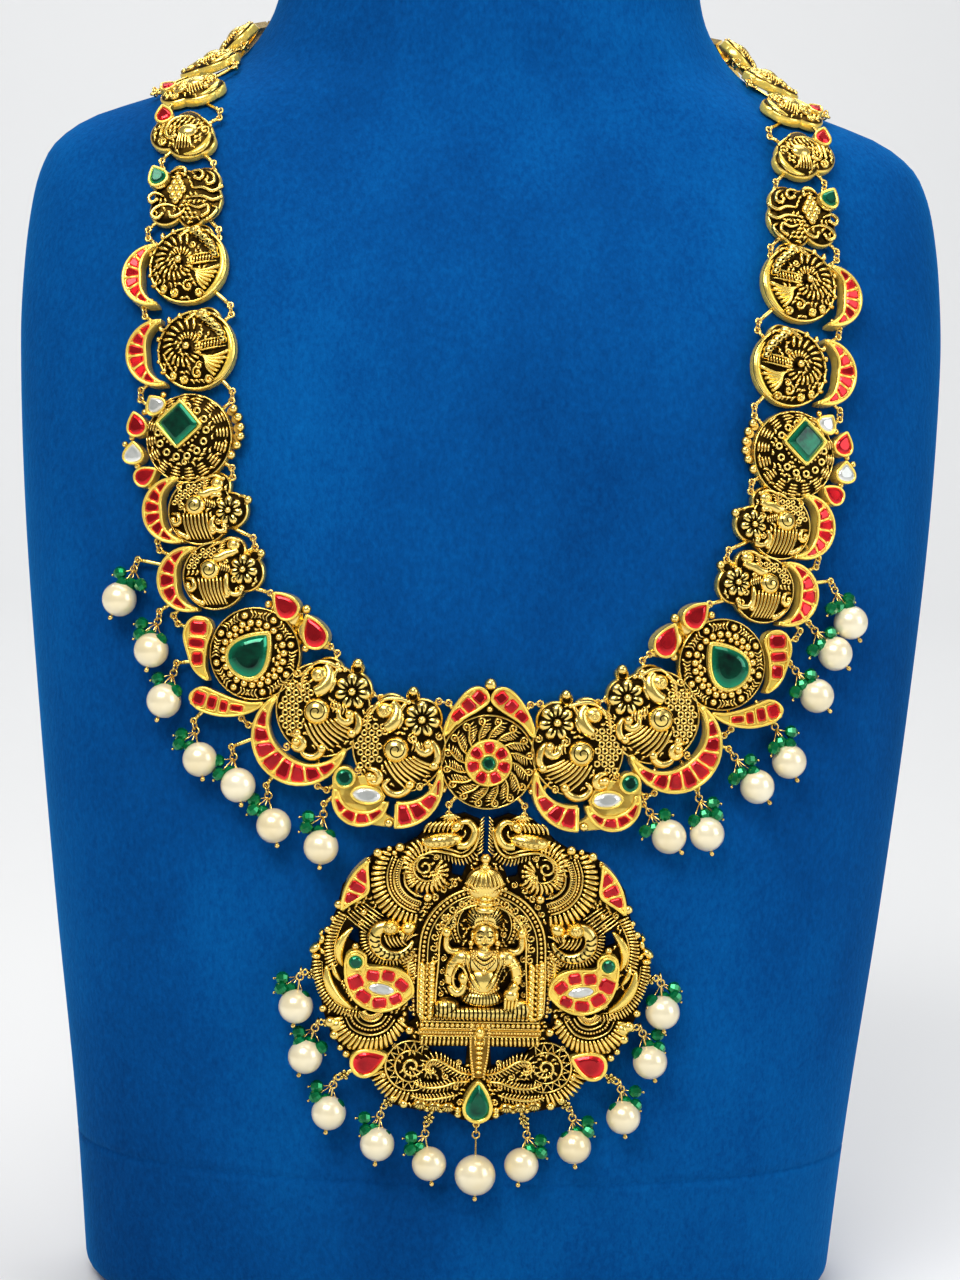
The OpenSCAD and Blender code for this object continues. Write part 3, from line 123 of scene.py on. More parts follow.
def linkPlace(i):
    k = i + napeCount
    lift = saddleLift[k] if k < len(saddleLift) else 0.4
    return frameAt(*stations[k], lift, heading(k) if k < napeCount + 4 else 0)


pendantPlace = frameAt(0, 90, 0.6)
mirrored = Matrix.Scale(-1, 4, (1, 0, 0))


# Finishes
def newMaterial(name):
    m = bpy.data.materials.new(name)
    m.use_nodes = True
    return m, m.node_tree, m.node_tree.nodes["Principled BSDF"]


def setAll(shader, values):
    for name, value in values.items():
        shader.inputs[name].default_value = value


def combine(tree, how, *values):  # a Math node on sockets and numbers
    n = tree.nodes.new("ShaderNodeMath")
    n.operation = how
    for socket, value in zip(n.inputs, values):
        if isinstance(value, (int, float)):
            socket.default_value = value
        else:
            tree.links.new(value, socket)
    return n.outputs[0]


def ramped(tree, value, stops, socket):
    r = tree.nodes.new("ShaderNodeValToRGB")
    while len(r.color_ramp.elements) < len(stops):
        r.color_ramp.elements.new(0.5)
    for e, (p, c) in zip(r.color_ramp.elements, stops):
        e.position = p
        e.color = (*c, 1)
    tree.links.new(value, r.inputs[0])
    tree.links.new(r.outputs[0], socket)


def grey(v):
    return (v, v, v)


def noise(tree, scale, detail=3, rough=0.5, stretch=None):
    coord = tree.nodes.new("ShaderNodeTexCoord").outputs["Object"]
    n = tree.nodes.new("ShaderNodeTexNoise")
    setAll(n, {"Scale": scale, "Detail": detail, "Roughness": rough})
    if stretch:
        mapping = tree.nodes.new("ShaderNodeMapping")
        mapping.inputs["Scale"].default_value = stretch
        tree.links.new(coord, mapping.inputs["Vector"])
        coord = mapping.outputs["Vector"]
    tree.links.new(coord, n.inputs["Vector"])
    return n.outputs["Fac"]


def bump(tree, height, shader, strength, distance):
    b = tree.nodes.new("ShaderNodeBump")
    setAll(b, {"Strength": strength, "Distance": distance})
    tree.links.new(height, b.inputs["Height"])
    tree.links.new(b.outputs["Normal"], shader.inputs["Normal"])


def shadeAndFinishTone(tree):  # the ridge attribute runs from 0 at the foot of an ornament over 1 on a crest to 2 on polished foil; the low end paints the recesses dark, partly antique finish and partly painted shade, and on stones it paints shading of the stone
    n = tree.nodes.new("ShaderNodeAttribute")
    n.attribute_name = "ridge"
    return n.outputs["Fac"]


# Gold tones along the ridge attribute: the two darkest paint the recesses, partly antique finish and partly
# painted shade; bright is the gold's own colour on crests, and foil the polished kundan gold
goldLook = {"hollowPatinaAndShade": (0.016, 0.009, 0.002), "dim": (0.3, 0.165, 0.026), "warm": (0.78, 0.48, 0.085),
            "bright": (1, 0.74, 0.22), "foil": (1, 0.735, 0.115), "rough": (0.45, 0.24, 0.13), "mottle": 0.16}


def makeGold():
    m, tree, shader = newMaterial("antiqueGold")
    half = combine(tree, "MULTIPLY", shadeAndFinishTone(tree), 0.5)
    shift = combine(tree, "MULTIPLY_ADD", noise(tree, 420, 4, 0.6), goldLook["mottle"],
        -goldLook["mottle"] / 2)
    tone = combine(tree, "ADD", half, shift)
    stops = zip((0.05, 0.16, 0.3, 0.46, 0.9), (goldLook[k] for k in ("hollowPatinaAndShade", "dim", "warm", "bright",
        "foil")))
    ramped(tree, tone, list(stops), shader.inputs["Base Color"])
    ramped(tree, tone, [(p, grey(r)) for p, r in zip((0.05, 0.45, 0.95), goldLook["rough"])],
        shader.inputs["Roughness"])
    # soft foil scatters light
    ramped(tree, tone, [(0.6, grey(1)), (0.8, grey(0.5))], shader.inputs["Metallic"])
    bump(tree, noise(tree, 1500, 2, 0.5), shader, 0.25, 0.00012)
    return m


def makeWire():
    m, tree, shader = newMaterial("goldWire")
    ramped(tree, noise(tree, 700), [(0.3, (0.72, 0.46, 0.12)), (0.7, (0.95, 0.7, 0.24))],
        shader.inputs["Base Color"])
    setAll(shader, {"Metallic": 1, "Roughness": 0.22})
    return m


def makeGem(name, deep, edge, metal, rough):  # deep is painted shade under the table and edge the lighter painted tone of the bevels round it, mixed with random tone
    m, tree, shader = newMaterial(name)
    paintedFacetShade = combine(tree, "MULTIPLY", shadeAndFinishTone(tree), 0.6)
    tone = combine(tree, "MULTIPLY_ADD", noise(tree, 260, 3, 0.6), 0.6, paintedFacetShade)
    ramped(tree, tone, [(0.25, deep), (0.85, edge)], shader.inputs["Base Color"])
    setAll(shader, {"Metallic": metal, "Roughness": rough, "Specular IOR Level": 0.2, "Coat Weight": 0.4,
        "Coat Roughness": 0.03})
    return m


def makePearl():
    m, tree, shader = newMaterial("creamPearl")
    ramped(tree, noise(tree, 90, 2), [(0.3, (0.86, 0.72, 0.42)), (0.7, (0.95, 0.87, 0.64))],
        shader.inputs["Base Color"])
    setAll(shader, {"Metallic": 0.25, "Roughness": 0.26, "Specular IOR Level": 0.6, "Coat Weight": 1,
        "Coat Roughness": 0.06, "Sheen Weight": 0.15, "Sheen Tint": (1, 0.8, 0.45, 1)})
    return m


velvetLook = {"deep": (0.0004, 0.034, 0.15), "mid": (0.0006, 0.06, 0.24), "pale": (0.0012, 0.098, 0.34)}


def makeVelvet():
    m, tree, shader = newMaterial("blueVelvet")
    patches = noise(tree, 16, 3, 0.6, (1, 1, 0.55))
    nap = noise(tree, 900, 2, 0.7, (1, 1, 0.6))
    tone = combine(tree, "MULTIPLY_ADD", nap, 0.35, combine(tree, "MULTIPLY", patches, 0.65))
    ramped(tree, tone, list(zip((0.32, 0.5, 0.68), velvetLook.values())), shader.inputs["Base Color"])
    setAll(shader, {"Roughness": 0.9, "Specular IOR Level": 0.04, "Sheen Weight": 0.35,
        "Sheen Roughness": 0.35, "Sheen Tint": (0, 0.3, 0.75, 1)})
    bump(tree, nap, shader, 0.5, 0.0004)
    return m


antiqueGold = makeGold()
goldWire = makeWire()
ruby = makeGem("ruby", (0.3, 0, 0.004), (1, 0.022, 0.03), 0.8, 0.2)
emerald = makeGem("emerald", (0, 0.012, 0.009), (0, 0.26, 0.12), 0.7, 0.14)
whiteStone = makeGem("whiteStone", (0.45, 0.47, 0.44), (0.93, 0.94, 0.92), 0.5, 0.15)
greenBead = makeGem("greenBead", (0, 0.02, 0.006), (0, 0.22, 0.065), 0.6, 0.12)
creamPearl = makePearl()
blueVelvet = makeVelvet()
print("finishes made")


# Mesh helpers: every ornament is a small bmesh that is put into its piece's own
def smallMesh():
    bm = bmesh.new()
    bm.verts.layers.float.new("ridge")
    return bm


def into(work, bm, place=None):
    if place is not None:
        bmesh.ops.transform(bm, matrix=place, verts=bm.verts)
    m = bpy.data.meshes.new("part")
    bm.to_mesh(m)
    bm.free()
    work.from_mesh(m)
    bpy.data.meshes.remove(m)


def seal(bm, near=0.001, holes=False):  # merged seams, and faces that point outwards
    bmesh.ops.remove_doubles(bm, verts=bm.verts, dist=near)
    if holes:
        bmesh.ops.holes_fill(bm, edges=bm.edges, sides=0)
    bmesh.ops.recalc_face_normals(bm, faces=bm.faces)


def pull(bm, faces, far):       # extrudes faces straight up; gives the moved corners and all that is new
    up = bmesh.ops.extrude_face_region(bm, geom=faces)["geom"]
    moved = [v for v in up if isinstance(v, bmesh.types.BMVert)]
    bmesh.ops.translate(bm, verts=moved, vec=(0, 0, far))
    return moved, up


def flip(work):  # a left half becomes a right one
    bmesh.ops.transform(work, matrix=mirrored, verts=work.verts)
    bmesh.ops.reverse_faces(work, faces=work.faces)
    return work


def intoBoth(work, half):  # a left half and its mirror image
    other = flip(half.copy())
    into(work, half)
    into(work, other)


def setTone(bm, tone):  # tone is a number or a function of the vertex
    layer = bm.verts.layers.float["ridge"]
    for v in bm.verts:
        v[layer] = tone(v) if callable(tone) else tone


def around(x, y, a, rx, ry=None):  # a point on a circle or oval, at an angle in radians
    return (x + rx * cos(a), y + (rx if ry is None else ry) * sin(a))


def heightOn(ground, x, y):  # ground is a height, or a function of x and y
    return ground(x, y) if callable(ground) else ground


plateTop = 2


def alongPath(path, s, closed=False):  # a smooth line through the points
    n = len(path) if closed else len(path) - 1
    q = min(max(s, 0), 1) * n
    i = min(int(q), n - 1)
    t = q - i
    if closed:
        a, b, c, d = (path[(i + k) % len(path)] for k in (-1, 0, 1, 2))
    else:
        a, b, c, d = (path[min(max(i + k, 0), len(path) - 1)] for k in (-1, 0, 1, 2))
    return [0.5 * (2 * b[k] + (c[k] - a[k]) * t + (2 * a[k] - 5 * b[k] + 4 * c[k] - d[k]) * t * t
        + (3 * b[k] - a[k] - 3 * c[k] + d[k]) * t**3) for k in (0, 1)]


# A ridge's section: across, up and tone; None is the hidden keel
# The tone is dark at the foot and light on the crest: partly the antique finish in the recesses, partly
# painted shade.
section = [(1, 0, 0.12), (0.75, 0.7, 0.75), (0, 1, 1), (-0.75, 0.7, 0.75), (-1, 0, 0.12), (0, None, 0)]


def ridge(work, path, width, height, ground=plateTop, tips=(0.35, 0.35), cuts=None, finishAndShade=1, closed=False,
        sink=0.4):
    span = sum(dist(path[k], path[k + 1]) for k in range(len(path) - 1))
    cuts = cuts or max(4, min(28, round(span / 0.8) + 2))
    bm = smallMesh()
    layer = bm.verts.layers.float["ridge"]
    bmesh.ops.create_grid(bm, x_segments=cuts, y_segments=len(section), size=1)
    rows = {}
    for v in bm.verts:
        k = round((v.co.x + 1) / 2 * cuts)
        j = round((v.co.y + 1) / 2 * len(section)) % len(section)
        if k not in rows:
            if closed:
                s, fat = k / cuts, 1
            else:
                s = 0 if k == 0 else 1 if k == cuts else 0.015 + 0.97 * (k - 1) / (cuts - 2)
                fat = tips[0] * (1 - s) + tips[1] * s + (1 - (tips[0] + tips[1]) / 2) * sin(pi * s)
                if k in (0, cuts):
                    fat = 0
            a, p, b = (alongPath(path, (s + h) % 1 if closed else s + h, closed) for h in (-0.004, 0, 0.004))
            dx, dy = b[0] - a[0], b[1] - a[1]
            size = hypot(dx, dy) or 1
            rows[k] = (p, -dy / size, dx / size, fat, heightOn(ground, *p))
        p, nx, ny, fat, base = rows[k]
        across, up, tone = section[j]
        w = across * width / 2 * fat
        z = base - sink * min(1, fat * 2) if up is None else base + up * height * fat**0.6
        v.co = (p[0] + nx * w, p[1] + ny * w, z if fat else base)
        v[layer] = tone * finishAndShade
    seal(bm, 0.0005)
    for f in bm.faces:
        f.smooth = True
    into(work, bm)


def collar(work, loop, width, height, ground, cuts, finishAndShade=1.9):  # a closed ridge
    ridge(work, loop, width, height, ground, cuts=cuts, closed=True, finishAndShade=finishAndShade)


stamps = {}


def stampOf(kind, detail):
    if (kind, detail) not in stamps:
        bm = smallMesh()
        if kind in ("ball", "boss", "paintedShadeMound"):  # balls and bosses are painted lighter on top and darker underneath, as light from above; the third kind is painted near black, as shade under other ornaments
            bmesh.ops.create_icosphere(bm, subdivisions=detail, radius=1)
            setTone(bm, {"ball": lambda v: min(1.05, max(0.02, 0.42 + 0.75 * v.co.z)),
                "boss": lambda v: min(1.1, max(0.05, 0.7 + 0.6 * v.co.z)), "paintedShadeMound": 0.05}[kind])
        if kind == "cutBead":
            bmesh.ops.create_uvsphere(bm, u_segments=detail, v_segments=5, radius=1)
            # painted shading of the bead: bevels lighter towards its ends and darker round its middle
            setTone(bm, lambda v: 0.4 + 0.9 * abs(v.co.z))
        if kind == "pin":
            bmesh.ops.create_cone(bm, cap_ends=True, segments=detail, radius1=1, radius2=1, depth=1,
                matrix=Matrix.Translation((0, 0, 0.5)))
        if kind == "ringlet":  # a ring lying flat
            bmesh.ops.create_circle(bm, radius=0.32, segments=5, matrix=Matrix.Translation((0.7, 0, 0))
                @ Matrix.Rotation(pi / 2, 4, "X"))
            bmesh.ops.spin(bm, geom=bm.verts[:] + bm.edges[:], axis=(0, 0, 1), cent=(0, 0, 0), angle=2 * pi,
                steps=detail, use_merge=True)
            seal(bm)
            # painted light: the upper half light, the lower half dark as shade
            setTone(bm, lambda v: 1 if v.co.z > 0.05 else 0.2)
        for f in bm.faces:
            f.smooth = kind != "cutBead"
        m = bpy.data.meshes.new(kind)
        bm.to_mesh(m)
        bm.free()
        stamps[kind, detail] = m
    return stamps[kind, detail]


def stamp(work, kind, detail, place):
    m = stampOf(kind, detail).copy()
    m.transform(place)
    work.from_mesh(m)
    bpy.data.meshes.remove(m)


def sized(x, y, z, sx, sy=None, sz=None, spin=0):
    sy, sz = sy or sx, sz or sx
    return (Matrix.Translation((x, y, z)) @ Matrix.Rotation(radians(spin), 4, "Z")
        @ Matrix.Diagonal((sx, sy, sz, 1)))


def ball(work, x, y, r, ground=plateTop, sit=0.35, detail=2):
    stamp(work, "ball", detail, sized(x, y, heightOn(ground, x, y) + sit * r, r))


def balls(work, ground, *spots, sit=0.6):  # x, y, radius
    for x, y, r in spots:
        ball(work, x, y, r, ground, sit)


def knob(work, x, y, rx, ry, h, spin=0, ground=plateTop, detail=3):  # a low oval boss
    stamp(work, "boss", detail, sized(x, y, heightOn(ground, x, y), rx, ry, h, spin))


# a dark dome, painted near black as the shade beneath other ornaments
def paintedShadeMound(work, x, y, z, rx, ry, h, spin=0, detail=3):
    stamp(work, "paintedShadeMound", detail, sized(x, y, z, rx, ry, h, spin))


def ringlet(work, x, y, z, r, high, detail=8):
    stamp(work, "ringlet", detail, sized(x, y, z, r, r, high))


# top gives the upward faces their own tone; a low one paints them dark as the shade between ornaments
def slab(work, outline, z0, z1, bevel=0.15, finishAndShade=0.9, top=None):
    bm = smallMesh()
    layer = bm.verts.layers.float["ridge"]
    pull(bm, [bm.faces.new([bm.verts.new((x, y, z0)) for x, y in outline])], z1 - z0)
    rim = [e for e in bm.edges if all(abs(v.co.z - z1) < 1e-6 for v in e.verts)]
    bmesh.ops.bevel(bm, geom=rim, offset=bevel, segments=1, profile=0.5, affect="EDGES", material=-1)
    bmesh.ops.recalc_face_normals(bm, faces=bm.faces)
    setTone(bm, finishAndShade)
    for f in bm.faces:
        f.smooth = False
        if top is not None and f.normal.z > 0.9:
            for v in f.verts:
                v[layer] = top
    into(work, bm)


def puck(work, x, y, r, wall=1.5, dome=1, finishAndShade=1.3, top=0.05, sides=32):
    bm = smallMesh()  # a round plate with a polished wall and a domed top, whose low tone paints it dark as the shade between ornaments
    profile = [(r - 0.1, 0), (r, 0.3), (r, wall), (r - 0.15, wall + 0.35), (r - 0.5, wall + 0.5),
        (r * 0.85, wall + 0.5 + dome * 0.35), (r * 0.55, wall + 0.5 + dome * 0.8), (0, wall + 0.5 + dome)]
    chain = [bm.verts.new((px, 0, pz)) for px, pz in profile]
    edges = [bm.edges.new(pair) for pair in zip(chain, chain[1:])]
    bmesh.ops.spin(bm, geom=chain + edges, axis=(0, 0, 1), cent=(0, 0, 0), angle=2 * pi, steps=sides,
        use_merge=True)
    seal(bm, holes=True)
    setTone(bm, lambda v: top if hypot(v.co.x, v.co.y) < r - 0.45 else finishAndShade)
    for f in bm.faces:
        f.smooth = True
    into(work, bm, Matrix.Translation((x, y, 0)))


def middleOf(outline):
    return [sum(p[k] for p in outline) / len(outline) for k in (0, 1)]


def gem(work, outline, z, h, table=0.62, girdle=0.4):  # a girdle, a bevelled crown and a flat table
    bm = smallMesh()
    layer = bm.verts.layers.float["ridge"]
    cx, cy = middleOf(outline)
    face = bm.faces.new([bm.verts.new((x, y, z)) for x, y in outline])
    was, tall = 1, 0
    for k, lift in ((1, girdle * h), ((1 + table) / 2, (0.6 + 0.4 * girdle) * h * 1.02), (table, h)):
        moved, up = pull(bm, [face], lift - tall)
        face = next(f for f in up if isinstance(f, bmesh.types.BMFace))
        bmesh.ops.scale(bm, vec=(k / was, k / was, 1), verts=moved, space=Matrix.Translation((-cx, -cy, 0)))
        for v in moved:
            # painted shading of the stone: light at the girdle, darker on the bevels and darkest on the table
            v[layer] = 0.9 if k > 0.9 else 0.5 if k > table else 0.12
        was, tall = k, lift
    tiltX, tiltY = rng.uniform(-0.09, 0.09), rng.uniform(-0.09, 0.09)  # each stone lies a little askew
    for v in bm.verts:
        if v.co.z > z + girdle * h * 0.9:
            v.co.z += tiltX * (v.co.x - cx) + tiltY * (v.co.y - cy)
    bmesh.ops.recalc_face_normals(bm, faces=bm.faces)
    into(work, bm)


def finish(work, name, material, place=None, mirror=False, nodes=()):
    if place is not None:
        bmesh.ops.transform(work, matrix=place, verts=work.verts)
    if mirror:
        flip(work)
    bmesh.ops.transform(work, matrix=Matrix.Scale(mm, 4), verts=work.verts)
    m = bpy.data.meshes.new(name)
    work.to_mesh(m)
    m.materials.append(material)
    piece = bpy.data.objects.new(name, m)
    scene.collection.objects.link(piece)
    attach(piece, "root")
    if nodes:
        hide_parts(*nodes)
    return piece


# Bust: a grid wrapped round its level sections, with rounded edges, closed above and below
def makeBust():
    edge, top, seam = bust["edge"], bust["rows"][-1][0], bust["seam"]
    quarter = [pi / 2 * k / 6 for k in range(7)]
    levels = [(edge * (1 - cos(a)), edge * (1 - sin(a))) for a in quarter]  # height and inset
    z = edge
    while z < top - edge - bust["step"]:
        z += bust["step"]
        if abs(z - seam) < bust["step"] / 2:
            levels += [(seam - bust["seamHalf"], 0), (seam, bust["seamDeep"]), (seam + bust["seamHalf"], 0)]
        else:
            levels.append((z, 0))
    levels += [(top - edge + edge * sin(a), edge * (1 - cos(a))) for a in quarter]
    bm = smallMesh()
    n, up = bust["around"], len(levels) - 1
    bmesh.ops.create_grid(bm, x_segments=n, y_segments=up, size=1)
    for v in bm.verts:
        k, j = round((v.co.x + 1) / 2 * n), round((v.co.y + 1) / 2 * up)
        z, inset = levels[j]
        v.co = bustPoint(360 * k / n, min(max(z, 0.001), top - 0.001), inset)
    seal(bm, holes=True)
    for f in bm.faces:
        f.smooth = len(f.verts) == 4
    finish(bm, "velvetBust", blueVelvet, nodes=["neck_bust"])
    bm.free()


makeBust()
print("bust made")


# Outlines and paths, in a link's own millimetres: X towards the neck, Y up, Z outward
def arcPath(x, y, r, a0, a1, n=10):
    return [around(x, y, radians(a0 + (a1 - a0) * k / n), r) for k in range(n + 1)]


def turns(n, start=0):  # n even angles round a circle, in radians, from a start in degrees
    return [radians(360 * k / n + start) for k in range(n)]


def fan(n, start, step):        # n angles in radians, from a start and a step in degrees
    return [radians(start + step * k) for k in range(n)]


def dropOutline(l, w, n=24):
    return [(-w * 0.6 * sin(a) * sin(a / 2) ** 0.8, l / 2 * cos(a)) for a in turns(n)]


def sided(side, *points):  # points of one half, mirrored where side is -1
    return [(side * x, y) for x, y in points]


def grown(f, *points):
    return [(f * x, f * y) for x, y in points]


def placed(outline, x, y, spin=0):
    c, s = cos(radians(spin)), sin(radians(spin))
    return [(x + c * px - s * py, y + s * px + c * py) for px, py in outline]


def spiralPath(x, y, r0, r1, a0, rounds, n=16):
    return [around(x, y, radians(a0) + rounds * 2 * pi * k / n, r0 + (r1 - r0) * k / n) for k in range(n + 1)]


def between(a, b, t):
    return (a[0] + (b[0] - a[0]) * t, a[1] + (b[1] - a[1]) * t)


def inside(poly, x, y):
    hit = False
    for (x0, y0), (x1, y1) in zip(poly, poly[1:] + poly[:1]):
        if (y0 > y) != (y1 > y) and x < (x1 - x0) * (y - y0) / (y1 - y0) + x0:
            hit = not hit
    return hit


def bulge(x0, y0, rx, ry, base, high, least=0):  # the top of an oval dome, as a ground
    return lambda x, y: base + high * sqrt(max(least, 1 - ((x - x0) / rx) ** 2 - ((y - y0) / ry) ** 2))


def domed(x0, y0, r, dome, edge=2):
    return lambda x, y: edge + dome * max(0, 1 - ((x - x0) ** 2 + (y - y0) ** 2) / r**2)


# Stone settings: a slab with bright rims and walls, and its stones
kundan = {"rim": 0.85, "rimHigh": 0.5, "wall": 0.75, "gap": 0.06, "stoneHigh": 0.62, "finishAndShade": 1.9}


def crescentDepth(w, k):
    tip = 0.42 if w < 4.8 else 0.16
    return w * (tip + (1 - tip) * sin(pi * k))


def stoneRow(gold, gems, x, y, r, a0, a1, w, count, k0=0, lift=1.4, ends=(0.1, 0.1)):  # a ruby crescent
    ks = [k / 22 for k in range(23)]
    depth = lambda t: crescentDepth(w, k0 + (1 - k0) * t)
    spot = lambda away, t: around(x, y, radians(a0 + (a1 - a0) * t), away)
    outer = [spot(r, t) for t in ks]
    inner = [spot(r - depth(t), t) for t in ks]
    top = plateTop + lift
    sheen = kundan["finishAndShade"]
    slab(gold, outer + inner[::-1], 0, top, 0.12, sheen * 0.8)
    half = kundan["rim"] / 2
    loop = [spot(r - half, 0.01 + 0.98 * t) for t in ks] + [spot(r - depth(t) + half, 0.01 + 0.98 * t)
        for t in ks[::-1]]
    collar(gold, loop, kundan["rim"], kundan["rimHigh"], top - 0.05, 48)
    first = ends[0] if k0 == 0 else 0.03
    cut = [first + (1 - ends[1] - first) * k / count for k in range(count + 1)]
    for k, t in enumerate(cut):
        ridge(gold, [spot(r - 0.3, t), spot(r - depth(t) / 2, t), spot(r - depth(t) + 0.3, t)],
            kundan["wall"], 0.38, top - 0.05, (0.9, 0.9), 4, sheen)
    side = (kundan["wall"] / 2 + kundan["gap"]) / r * 57.3 / abs(a1 - a0)
    for t0, t1 in zip(cut, cut[1:]):
        p, q = t0 + side, t1 - side
        ro = r - kundan["rim"] - kundan["gap"] * 0.5
        rp, rq = r - depth(p) + kundan["rim"], r - depth(q) + kundan["rim"]
        if ro - max(rp, rq) < 0.4:
            rp = rq = ro - 0.5
        quad = [spot(rp, p), spot(ro, p), spot(ro, q), spot(rq, q)]
        clip = []
        for k in range(4):
            a, b = quad[k], quad[(k + 1) % 4]
            clip += [between(a, b, 0.16), between(a, b, 0.84)]
        gem(gemWork(gems, "ruby"), clip, top - 0.15, kundan["stoneHigh"], 0.7, 0.5)


def gemWork(gems, kind):
    if kind not in gems:
        gems[kind] = smallMesh()
    return gems[kind]


def bezel(gold, gems, outline, kind, lift=1.4, rim=0.6, high=0.9, table=0.6, base=0):
    c = middleOf(outline)
    shrunk = lambda d: [between(c, p, 1 - d / max(dist(p, c), 0.5)) for p in outline]
    top = plateTop + lift
    slab(gold, outline, base, top, 0.14, 1.5)
    collar(gold, shrunk(rim / 2), rim, 0.45, top - 0.05, 36)
    if kind:
        gem(gemWork(gems, kind), shrunk(rim * 0.9), top - 0.2, high, table)


def setStones(gold, gems, z, stones):  # rubies: x, y, half length, half width, turn
    for x, y, rx, ry, spin in stones:
        cell = [(rx, -ry * 0.6), (rx, ry * 0.6), (rx * 0.7, ry), (-rx * 0.7, ry), (-rx, ry * 0.6),
            (-rx, -ry * 0.6), (-rx * 0.7, -ry), (rx * 0.7, -ry)]
        ring = placed([(px * 1.2, py * 1.25) for px, py in cell], x, y, spin)
        collar(gold, ring, 0.42, 0.42, z, 20)
        gem(gemWork(gems, "ruby"), placed(cell, x, y, spin), z - 0.1, 0.75, 0.66, 0.5)


def leafSlab(gold, outline, centre, z, rim=0.75):  # a smooth slab with a polished rim
    smooth = [tuple(alongPath(outline, k / 48, True)) for k in range(48)]
    slab(gold, smooth, 0, z, 0.2, 1.7)
    collar(gold, [between(centre, p, 0.965) for p in smooth], rim, 0.7, z - 0.1, 60)


def circleOutline(r, n=20):
    return [around(0, 0, a, r) for a in turns(n)]


def flower(gold, x, y, r, petals=7, ground=plateTop):  # broad petals, each with a raised lip painted near black as the shade of a slot, and painted shade lines between petals
    base = heightOn(ground, x, y)
    for k in range(petals):
        turn = 90 + 360 * k / petals
        at = lambda q, w: around(x, y, radians(turn + w), q * r)
        knob(gold, *at(0.63, 0), 0.4 * r, 0.335 * r, 0.24 * r, turn, base + 0.06 * r, 2)
        ridge(gold, [at(0.28, 0), at(0.5, 0), at(0.78, 0)], 0.17 * r, 0.16 * r, base + 0.22 * r, (0.9, 0.4),
            5, 0.03)
        split = 180 / petals
        ridge(gold, [at(0.36, split), at(0.6, split), at(0.9, split)], 0.1 * r, 0.16 * r, base + 0.1 * r,
            (0.5, 0.9), 4, 0.03)
    ball(gold, x, y, 0.23 * r, base + 0.06 * r, 0.9)


def ringlets(gold, region, pitch, size, ground=plateTop, avoid=()):
    xs, ys = [p[0] for p in region], [p[1] for p in region]
    row, y = 0, min(ys)
    while y <= max(ys):
        x = min(xs) + (pitch / 2 if row % 2 else 0)
        while x <= max(xs):
            if inside(region, x, y) and all(dist((x, y), c[:2]) > c[2] for c in avoid):
                ringlet(gold, x, y, heightOn(ground, x, y) + 0.12, size, size * 1.1)
            x += pitch
        y += pitch * 0.87
        row += 1


def spiralBall(gold, x, y, r, high, ground, spin=200):
    knob(gold, x, y, r, r, high, ground=ground)
    base = heightOn(ground, x, y)
    over = lambda px, py: base + high * sqrt(max(0.02, 1 - ((px - x) ** 2 + (py - y) ** 2) / r**2)) - 0.08
    # the spiral is a raised stroke painted near black as the shade of a groove
    ridge(gold, spiralPath(x, y, r * 0.86, r * 0.12, spin, -1.7, 22), r * 0.12, 0.2, over, (0.6, 0.9), 28,
        0.04)


def strand(gold, path, width, high=0.9, ground=plateTop, finishAndShade=1.15, tips=(0.4, 0.8), cuts=None):
    ridge(gold, path, width, high, ground, tips, cuts, finishAndShade)


def scroll(gold, path, width, high=0.9, ground=plateTop, tip=True, finishAndShade=1.15, tips=(0.4, 0.8), cuts=None):
    strand(gold, path, width, high, ground, finishAndShade, tips, cuts)
    if tip:
        x, y = path[-1]
        ball(gold, x, y, width * 0.55, ground, 0.6)


def curls(gold, ground, *spots):  # small scrolls that fill the ground: x, y, radius, start, rounds (1.2)
    for x, y, r, start, rounds in ((*spot, 1.2)[:5] for spot in spots):
        scroll(gold, spiralPath(x, y, r, 0.25 * r, start, rounds, 10), 0.36 * r + 0.22, 0.75, ground,
            finishAndShade=1.15, cuts=11)


# Rows of ribs and beads at even distances along a path
def evenPoints(path, count, closed=False):
    n = 12 * len(path)
    fine = [alongPath(path, k / n, closed) for k in range(n + 1)]
    far = [0]
    for a, b in zip(fine, fine[1:]):
        far.append(far[-1] + dist(a, b))
    out, k = [], 0
    for i in range(count):
        want = far[-1] * (i / count if closed else i / max(1, count - 1))
        while k < n - 1 and far[k + 1] < want:
            k += 1
        out.append(between(fine[k], fine[k + 1], (want - far[k]) / max(1e-6, far[k + 1] - far[k])))
    return out


def beadRow(gold, path, count, r, ground=plateTop, closed=False, sit=0.5):
    for x, y in evenPoints(path, count, closed):
        ball(gold, x, y, r, ground, sit, 1)


def bandRibs(gold, inner, outer, count, width, ground=plateTop, high=0.8, finishAndShade=1.05, lean=0, tips=(0.6, 0.8),
        end=0):
    for p, q in zip(evenPoints(inner, count), evenPoints(outer, count)):
        m = between(p, q, 0.5)
        d = (q[1] - p[1], p[0] - q[0])
        ridge(gold, [p, (m[0] + d[0] * lean, m[1] + d[1] * lean), q], width, high, ground, tips, 6, finishAndShade)
        if end:
            ball(gold, *between(p, q, 0.94), end, ground, 0.9, 1)


def hills(base, *mounds):  # ground over low domes: x, y, radius, height
    def over(x, y):
        z = base
        for mx, my, r, h in mounds:
            d = ((x - mx) ** 2 + (y - my) ** 2) / r**2
            if d < 1:
                z = max(z, base + h * sqrt(1 - d))
        return z
    return over


def offset(path, far, n=14):  # a line beside a path
    points = evenPoints(path, n)
    out = []
    for k, (x, y) in enumerate(points):
        a, b = points[max(k - 1, 0)], points[min(k + 1, n - 1)]
        size = dist(a, b) or 1
        out.append((x - (b[1] - a[1]) / size * far, y + (b[0] - a[0]) / size * far))
    return out


